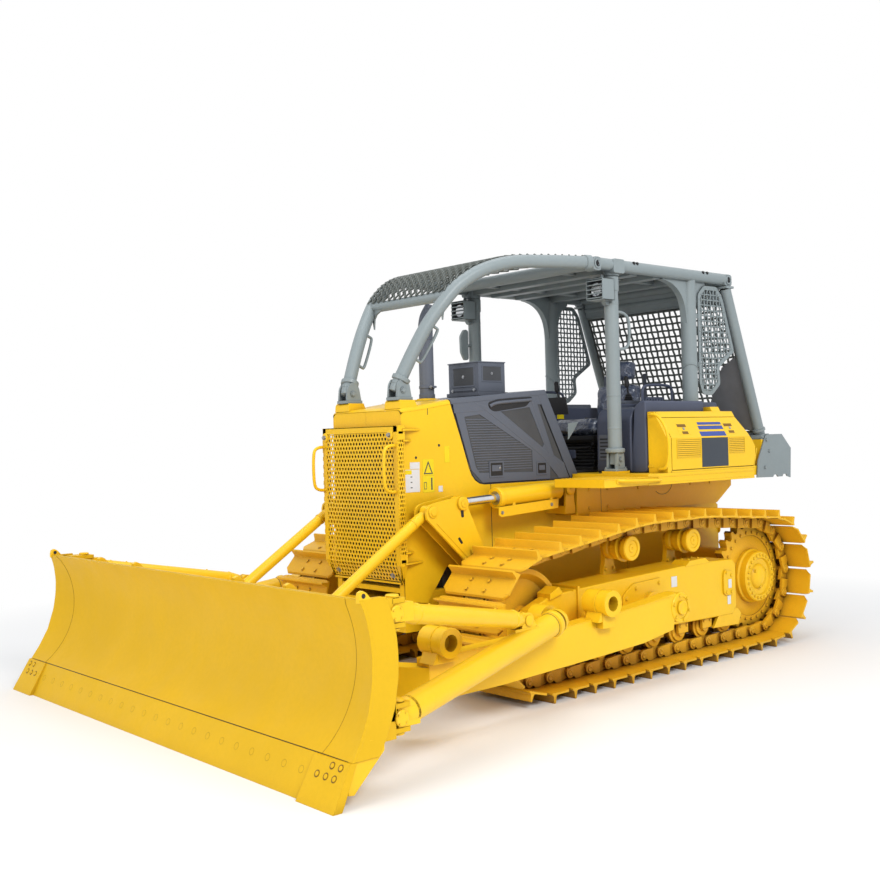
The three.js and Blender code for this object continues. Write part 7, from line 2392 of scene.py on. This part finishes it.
    def ends(self) -> None:
        """End plates with ears, lower gussets and caps of the strut pins."""
        shape, dark = Shape(), Shape()
        for s in (1, -1):
            ear = [(4.325, 0.965), (4.350, 0.968), (4.385, 1.006), (4.405, 1.016), (4.425, 1.008),
                   (4.432, 0.985), (4.432, 0.955)]
            shape.prism(ear, "y", *sorted((s * 1.858, s * 1.884)))
            # Painted shade: flat black discs on both faces of each ear stand for the shaded bore of its
            # hole; no hole is cut.
            dark.turned([(0.0125, -0.0005), (0.0125, 0.0010)], (4.402, s * 1.884, 0.990), (0, s, 0), 20)
            dark.turned([(0.0125, -0.0005), (0.0125, 0.0010)], (4.402, s * 1.858, 0.990), (0, -s, 0), 20)
            gusset = [(4.440, 0.300), (4.350, 0.290), (4.352, 0.235), (4.545, 0.055), (4.580, 0.060),
                      (4.560, 0.205)]
            y0, y1 = sorted((s * 1.902, s * 1.956))
            shape.prism(gusset, "y", y0, y1)
            for y in (0.62, 1.15):
                shape.prism([(4.30, 0.93), (4.385, 0.93), (4.385, 0.985), (4.36, 0.995), (4.34, 0.985),
                             (4.31, 0.955)],
                            "y", *sorted((s * y, s * (y + 0.03))))
            for pin_x, pin_z in ((4.170, 0.349), (4.185, 0.880)):
                for dz in (0.0885, -0.0885):
                    up = 1 if dz > 0 else -1
                    shape.turned([(0.036, -0.010), (0.036, 0.0), (0.030, 0.004), (0.016, 0.005)],
                                 (pin_x, s * 1.840, pin_z + dz), (0, 0, up), 24)
                shape.turned([(0.043, -0.01), (0.043, 0.008), (0.037, 0.013), (0.022, 0.014)],
                             (pin_x + 0.01, s * 1.884, pin_z), (0, s, 0), 28)
                for a in (0.6, 2.2, 3.9, 5.4):
                    shape.bolt((pin_x + 0.01 + 0.032 * math.cos(a), s * 1.897, pin_z + 0.032 * math.sin(a)),
                               (0, s, 0), 0.0055, 0.004)
            for z in (0.62, 0.74):
                shape.bolt((4.26, s * 1.885, z), (0, s, 0), 0.012, 0.010)
        shape.piece("blade_end_details", YELLOW, "blade_frame", "blade_yellow", bevel=0.002)
        dark.piece("blade_ear_holes", BLACK, "blade_frame", "blade_yellow")


@dataclass
class Struts:
    """Side struts and upper braces with ball ends, clamps, lugs and pins."""

    side: Side
    root: Point = (2.580, 1.4903, 0.596)
    pin: Point = (4.170, 1.838, 0.349)
    head: Point = (4.185, 1.838, 0.880)
    foot_x: float = 2.935

    def at(self, x: float) -> Vector:
        """Point of the strut's centre line."""
        t = (x - self.root[0]) / (self.pin[0] - self.root[0])
        return Vector(self.root).lerp(Vector(self.pin), t)

    def build(self) -> None:
        """Builds strut and brace."""
        word = self.side.word
        run = (Vector(self.pin) - Vector(self.root)).normalized()
        a, b = self.at(2.60), self.at(4.085)
        shape = Shape().tube([a, b], 0.0745, 36)
        shape.turned([(0.045, -0.075), (0.062, -0.068), (0.074, -0.045), (0.076, -0.016)], a, run, 36)
        shape.turned([(0.0745, 0.0), (0.084, 0.003), (0.086, 0.012), (0.086, 0.034), (0.084, 0.042),
                      (0.0745, 0.046)],
                     self.at(2.612), run, 36)
        shape.turned([(0.070, -0.03), (0.0745, -0.02), (0.0745, 0.0), (0.060, 0.05), (0.048, 0.07)], b, run,
                     36)
        foot = self.at(self.foot_x)
        for s in (1, -1):
            y = foot.y + s * 0.0275
            ear = [(2.868, foot.z + 0.02), (3.010, foot.z + 0.0), (3.000, foot.z + 0.085),
                   (2.985, foot.z + 0.140)]
            ear += [(2.944 + 0.048 * math.cos(t), foot.z + 0.117 + 0.048 * math.sin(t))
                    for t in (math.pi * k / 8 for k in range(1, 9))]
            ear.append((2.880, foot.z + 0.085))
            shape.prism(ear, "y", y - 0.007, y + 0.007)
        pin = Vector((2.944, foot.y, foot.z + 0.117))
        shape.bar(pin + Vector((0, -0.045, 0)), pin + Vector((0, 0.045, 0)), 0.024, 24)
        for s in (1, -1):
            shape.turned([(0.032, 0.0), (0.032, 0.008), (0.025, 0.012), (0.012, 0.012)],
                         pin + Vector((0, s * 0.035, 0)), (0, s, 0), 24)
        shape.box(2.86, 3.06, foot.y - 0.036, foot.y + 0.036, foot.z + 0.035, foot.z + 0.075)
        shape.prism([(4.052, 1.796), (4.052, 1.882), (4.196, 1.880), (4.196, 1.802)], "z", 0.2995, 0.3985)
        shape.turned([(0.050, -0.047), (0.050, 0.0), (0.040, 0.012)], (4.165, 1.838, 0.349), (0, 1, 0), 32)
        shape.turned([(0.040, 0.0), (0.060, 0.004), (0.072, 0.04), (0.070, 0.07), (0.05, 0.075)],
                     (2.560, 1.4163, 0.600), (0, 1, 0), 32)
        shape.on(self.side).piece(f"strut_tube_{word}", YELLOW, "blade_frame", "body_yellow",
                                  [f"strut_{word}"], bevel=0.003)
        dark = Shape()
        # Painted shade: two dark rings stand for the shaded gaps between the strut tube, its collar and its
        # end.
        dark.ring(0.0758, 0.070, self.at(2.6005), run, 0.007, 36)
        dark.ring(0.0758, 0.070, self.at(2.664), run, 0.004, 36)
        dark.on(self.side).piece(f"strut_gaps_{word}", RUBBER, "blade_frame", "body_yellow")
        self.brace(word, pin)

    def brace(self, word: str, pin: Vector) -> None:
        """Upper brace with tapered ends."""
        head = Vector(self.head)
        foot = pin
        run = (head - foot).normalized()
        length = (head - foot).length
        shape = Shape()
        shape.turned([(0.018, 0.03), (0.040, 0.055), (0.047, 0.09), (0.0535, 0.13), (0.0535, length - 0.16),
                      (0.050, length - 0.12), (0.044, length - 0.10)], foot, run, 36)
        for d in (0.135, length - 0.20):
            shape.turned([(0.0535, 0), (0.0575, 0.003), (0.0575, 0.012), (0.0535, 0.015)], foot + run * d,
                         run, 32)
        shape.turned([(0.030, -0.0198), (0.040, -0.0195), (0.046, -0.010), (0.046, 0.010), (0.040, 0.0195),
                      (0.030, 0.0198)],
                     foot, (0, 1, 0), 32)
        shape.prism([(4.077, 1.796), (4.077, 1.882), (4.211, 1.880), (4.211, 1.802)], "z", 0.8305, 0.9295)
        shape.turned([(0.050, -0.047), (0.050, 0.0), (0.040, 0.012)], (4.180, 1.838, 0.880), (0, 1, 0), 32)
        for d in (0.25, 0.75):
            shape.bar(foot + run * (length * d) + Vector((0, 0, 0.05)),
                      foot + run * (length * d) + Vector((0, 0, 0.059)), 0.007, 10)
        shape.on(self.side).piece(f"brace_tube_{word}", YELLOW, "blade_frame", "body_yellow",
                                  [f"brace_{word}"], bevel=0.002)


@dataclass
class FrameDetails:
    """Rims, welds and trunnion caps on the outside C-frame."""

    side: Side

    def build(self) -> None:
        """Builds the details of one side."""
        word = self.side.word
        shape = Shape()
        for x, z, out in ((2.028, 0.642, 0.10), (3.476, 0.583, 0.10)):
            face = 1.395 + out
            shape.ring(0.0885, 0.078, (x, face - 0.022, z), (0, 1, 0), 0.0225, 36)
            shape.ring(0.0915, 0.080, (x, 1.398, z), (0, 1, 0), 0.012, 36)
            shape.prism([(x - 0.105, z - 0.118), (x + 0.105, z - 0.118), (x + 0.07, z - 0.055),
                         (x - 0.07, z - 0.055)], "y",
                        1.330, 1.452)
        shape.turned([(0.109, -0.004), (0.109, 0.0), (0.102, 0.006), (0.078, 0.007), (0.076, 0.002)],
                     (1.160, 1.397, 0.507), (0, 1, 0), 44)
        for k in range(6):
            a = math.pi * k / 3 + 0.3
            shape.bolt((1.160 + 0.090 * math.cos(a), 1.402, 0.507 + 0.090 * math.sin(a)), (0, 1, 0), 0.0105,
                       0.009)
        weld = [(x, 1.3958, z) for x, z in ((1.26, 0.598), (1.65, 0.571), (1.9, 0.553))]
        shape.tube(weld, 0.0035, 6)
        shape.tube([(2.15, 1.3958, 0.538), (2.28, 1.3958, 0.530), (3.36, 1.3958, 0.4935)], 0.0035, 6)
        shape.on(self.side).piece(f"arm_details_{word}", YELLOW, "blade_frame", "body_yellow")


@dataclass
class Linkage:
    """Lift cylinder, bell crank and lift rod of one side."""

    side: Side
    y: float = 0.535
    eye: Flat = (2.530, 1.310)
    rear: Flat = (1.410, 1.354)

    def along(self, d: float) -> Vector:
        """Point of the cylinder's axis at a distance from its rear pin."""
        a, b = Vector((self.rear[0], self.y, self.rear[1])), Vector((self.eye[0], self.y, self.eye[1]))
        return a + (b - a).normalized() * d

    def build(self) -> None:
        """Builds all four bodies' pieces."""
        word = self.side.word
        run = (self.along(1) - self.along(0))
        y = self.y
        barrel = Shape()
        barrel.turned([(0.052, 0.072), (0.066, 0.080), (0.0695, 0.092), (0.0695, 0.690), (0.075, 0.694),
                       (0.077, 0.700),
                       (0.077, 0.730), (0.074, 0.7378), (0.050, 0.7378), (0.050, 0.7365), (0.033, 0.7365)],
                      self.along(0), run, 40)
        barrel.turned([(0.030, 0.036), (0.036, 0.06), (0.046, 0.085)], self.along(0), run, 28)
        barrel.turned([(0.028, -0.0299), (0.044, -0.0299), (0.046, -0.026), (0.046, 0.026), (0.044, 0.0299),
                       (0.028, 0.0299)],
                      (self.rear[0], y, self.rear[1]), (0, 1, 0), 32)
        guard = [(1.540, 1.285), (1.545, 1.222), (2.145, 1.190), (2.168, 1.205), (2.168, 1.255)]
        barrel.prism(guard, "y", y + 0.052, y + 0.060)
        barrel.prism([(1.545, 1.292), (2.168, 1.262), (2.168, 1.254), (1.545, 1.284)], "y", y - 0.01,
                     y + 0.060)
        for d in (0.20, 0.60):
            barrel.box(self.along(d).x - 0.015, self.along(d).x + 0.015, y + 0.0, y + 0.055, 1.262, 1.31)
        barrel.on(self.side).piece(f"lift_barrel_{word}", YELLOW, f"lift_cylinder_{word}", "body_yellow",
                                   [f"lift_cylinder_{word}"], bevel=0.0015)
        steel = Shape()
        for x, z in ((1.618, 1.252), (2.135, 1.222)):
            steel.bolt((x, y + 0.060, z), (0, 1, 0), 0.010, 0.008)
        steel.ring(0.0485, 0.0335, self.along(0.7379), run, 0.0012, 32)
        steel.on(self.side).piece(f"lift_bolts_{word}", STEEL, f"lift_cylinder_{word}", "body_yellow")
        hoses = Shape()
        for k, dy in enumerate((-0.012, 0.024)):
            line = [self.along(0.70 - 0.5 * k) + Vector((0, dy, -0.070)),
                    self.along(0.66 - 0.5 * k) + Vector((0, dy, -0.092)),
                    self.along(0.30) + Vector((0, dy, -0.100 - 0.006 * k)),
                    self.along(0.10) + Vector((0, dy, -0.105))]
            hoses.tube(smooth_line(line, 24), 0.0095, 10)
        hoses.on(self.side).piece(f"lift_hoses_{word}", RUBBER, f"lift_cylinder_{word}", "body_yellow")
        rod = Shape().tube([self.along(0.52), self.along(1.083)], 0.0315, 32)
        rod.on(self.side).piece(f"lift_chrome_{word}", CHROME, f"cylinder_rod_{word}", "chrome_rod",
                                [f"cylinder_rod_{word}"])
        end = Shape()
        end.turned([(0.026, -0.0258), (0.041, -0.0258), (0.044, -0.022), (0.044, 0.022), (0.041, 0.0258),
                    (0.026, 0.0258)],
                   (self.eye[0], y, self.eye[1]), (0, 1, 0), 32)
        end.turned([(0.0325, 1.040), (0.0385, 1.044), (0.0385, 1.085), (0.030, 1.095)], self.along(0), run,
                   28)
        end.on(self.side).piece(f"rod_eye_{word}", YELLOW, f"cylinder_rod_{word}", "chrome_rod")
        self.crank(word)
        self.push_rod(word)
        self.clevis(word)

    def crank(self, word: str) -> None:
        """Pin caps and bosses of the bell crank, with flat black patches painted as the shade inside its
        holes.
        """
        y = self.y
        caps, dark = Shape(), Shape()
        body = f"bell_crank_{word}"
        for s, reach in ((1, 0.083), (-1, 0.073)):
            caps.turned([(0.047, -0.012), (0.047, -0.002), (0.043, 0.002), (0.026, 0.003), (0.026, 0.008),
                         (0.016, 0.009)],
                        (self.eye[0], y + s * reach, self.eye[1]), (0, s, 0), 36)
            caps.turned([(0.040, 0.0), (0.040, 0.006), (0.027, 0.010), (0.026, 0.016), (0.012, 0.017)],
                        (2.800, y + s * 0.0655, 1.266), (0, s, 0), 32)
            caps.turned([(0.086, 0.0), (0.086, 0.008), (0.070, 0.014), (0.06, 0.014)],
                        (2.200, y + s * 0.065, 0.760), (0, s, 0), 40)
            for a in (0.7, 2.6, 4.6):
                caps.bolt((2.200 + 0.064 * math.cos(a), y + s * 0.078, 0.760 + 0.064 * math.sin(a)),
                          (0, s, 0), 0.009, 0.007)
        caps.bar((self.eye[0] - 0.004, y + 0.082, self.eye[1]),
                 (self.eye[0] - 0.004, y + 0.0945, self.eye[1]), 0.006, 10)
        caps.tube([(2.235, y + 0.0655, 0.700), (2.60, y + 0.0655, 1.035), (2.770, y + 0.0655, 1.188)],
                  0.003, 6)
        caps.on(self.side).piece(f"crank_caps_{word}", YELLOW, body, "body_yellow")
        # Painted shade: flat black patches stand for the shade inside the crank's two holes; no holes are
        # cut.
        dark.prism(rounded([(2.516, 1.215), (2.540, 1.212), (2.548, 1.262), (2.520, 1.268)], 0.012), "y",
                   y + 0.062, y + 0.0658)
        dark.prism(rounded([(2.530, 1.038), (2.548, 1.030), (2.580, 1.072), (2.562, 1.082)], 0.014), "y",
                   y + 0.062, y + 0.0658)
        dark.on(self.side).piece(f"crank_holes_{word}", BLACK, body, "body_yellow")

    def push_rod(self, word: str) -> None:
        """Lift rod with collars and forged eyes."""
        y = self.y
        a, b = Vector((2.800, y, 1.266)), Vector((3.950, y, 0.530))
        run, length = (b - a).normalized(), (b - a).length
        rod = Shape().turned([(0.026, 0.030), (0.033, 0.052), (0.0375, 0.085), (0.0375, length - 0.085),
                              (0.033, length - 0.052), (0.026, length - 0.030)], a, run, 32)
        for d in (0.14, length - 0.20):
            rod.turned([(0.0375, 0), (0.0415, 0.002), (0.0415, 0.010), (0.0375, 0.012)], a + run * d, run,
                       28)
        for at in (a, b):
            rod.turned([(0.026, -0.0298), (0.040, -0.0298), (0.043, -0.026), (0.043, 0.026),
                        (0.040, 0.0298), (0.026, 0.0298)], at, (0, 1, 0), 32)
        rod.on(self.side).piece(f"push_rod_{word}", YELLOW, f"lift_rod_{word}", "body_yellow",
                                [f"lift_rod_{word}"])

    def clevis(self, word: str) -> None:
        """Caps of the cylinder's rear pin and of the rod's foot pin."""
        caps = Shape()
        for s in (1, -1):
            caps.turned([(0.044, -0.004), (0.044, 0.006), (0.034, 0.010), (0.020, 0.011)],
                        (self.rear[0], self.y + s * 0.066, self.rear[1]), (0, s, 0), 32)
        caps.bolt((self.rear[0] + 0.008, self.y + 0.075, self.rear[1]), (0, 1, 0), 0.008, 0.005)
        caps.on(self.side).piece(f"clevis_caps_{word}", YELLOW, "chassis", "body_yellow")
        foot = Shape().bar((3.950, self.y - 0.075, 0.530), (3.950, self.y + 0.075, 0.530), 0.022, 24)
        for s in (1, -1):
            foot.turned([(0.036, 0.0), (0.036, 0.006), (0.024, 0.012)], (3.950, self.y + s * 0.0625, 0.530),
                        (0, s, 0), 28)
        foot.on(self.side).piece(f"rod_foot_pins_{word}", YELLOW, "blade_frame", "body_yellow")


# ---------------------------------------------------------------- rear and underside
@dataclass
class Rear:
    """Covers, bolts and drawbar pin at the back, and belly plates."""

    def build(self) -> None:
        """Builds the rear."""
        shape = Shape()
        x = -0.780
        shape.prism(rounded([(-0.42, 0.85), (0.42, 0.85), (0.42, 1.08), (-0.42, 1.08)], 0.04), "x",
                    x - 0.008, x + 0.002)
        for y in (-0.38, -0.19, 0.0, 0.19, 0.38):
            for z in (0.885, 1.045):
                shape.bolt((x - 0.008, y, z), (-1, 0, 0), 0.013, 0.010)
        shape.piece("rear_cover", YELLOW, "chassis", "body_yellow", bevel=0.003)
        tank = Shape()
        tank.turned([(0.055, 0.0), (0.055, 0.03), (0.070, 0.034), (0.070, 0.060), (0.060, 0.066)],
                    (-0.43, 0.42, 2.329), (0, 0, 1), 32)
        tank.turned([(0.03, 0.0), (0.03, 0.03), (0.022, 0.034)], (-0.43, -0.30, 2.329), (0, 0, 1), 24)
        for y in (-0.45, 0.0, 0.45):
            tank.box(-0.788, -0.783, y - 0.02, y + 0.02, 1.52, 1.82)
            tank.box(-0.30, -0.296, y - 0.02, y + 0.02, 1.52, 2.30)
        tank.piece("tank_fittings", PANEL_GREY, "chassis", "dark_grey", bevel=0.002)
        pin = Shape().turned([(0.036, 0.0), (0.036, 0.012), (0.028, 0.020), (0.012, 0.024)],
                             (-0.930, 0, 0.779), (0, 0, 1), 28)
        pin.tube(smooth_line([(-0.930, 0, 0.800), (-0.930, 0.03, 0.812), (-0.930, 0.045, 0.795),
                              (-0.930, 0.055, 0.770)], 14),
                 0.006, 8)
        pin.piece("drawbar_pin_head", STEEL, "chassis", "body_yellow")
        belly = Shape()
        for x0, x1 in ((0.55, 1.20), (1.28, 1.95), (2.03, 2.62)):
            belly.prism(rounded([(x0, -0.30), (x1, -0.30), (x1, 0.30), (x0, 0.30)], 0.03), "z", 0.4255,
                        0.4305)
            for bx in (x0 + 0.05, x1 - 0.05):
                for y in (-0.25, 0.25):
                    belly.bolt((bx, y, 0.426), (0, 0, -1), 0.012, 0.008)
        belly.piece("belly_plates", YELLOW, "chassis", "body_yellow")


# ---------------------------------------------------------------- assembly
def body_of_node() -> dict[str, str]:
    """Body of each CAD node."""
    return {n: o["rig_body"] for n, o in frame["nodes"].items()}


def slot_of_node() -> dict[str, str]:
    """Material slot of each CAD node."""
    return {s["node"]: s["material_slot"] for s in frame["record"]["subparts"]}


SLOT_FINISH: dict[str, Finish] = {
    "body_yellow": YELLOW, "blade_yellow": BLADE_YELLOW, "track_yellow": TRACK_YELLOW,
    "canopy_grey": CANOPY_GREY,
    "dark_grey": PANEL_GREY, "seat_cover": SEAT_COVER, "black_paint": BLACK, "radiator_core": BLACK,
    "engine_grey": CASTING, "chrome_rod": CHROME, "mesh_grey": MESH_GREY,
}


def main() -> None:
    """Builds every piece in order."""
    logging.basicConfig(level=logging.INFO, format="%(message)s")
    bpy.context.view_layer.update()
    studio = Studio()
    studio.camera()
    studio.floor()
    studio.lamps()
    for side in Side:
        Track(side).build()
        SidePanel(side).build()
        FenderBox(side).build()
        Console(side).build()
        Struts(side).build()
        FrameDetails(side).build()
        Linkage(side).build()
    for part in (Nose(), Guard(), TopOfHood(), Canopy(), Deck(), Seat(), Dash(), Blade(), Rear()):
        part.build()
    bodies, slots = body_of_node(), slot_of_node()
    for node in sorted(frame["nodes"]):
        if frame["nodes"][node].hide_render:
            continue
        refine(node, SLOT_FINISH.get(slots[node], YELLOW), bodies[node], slots[node])
    log.info("slots %s", sorted(set(slots.values())))


if __name__ == "__main__":
    main()
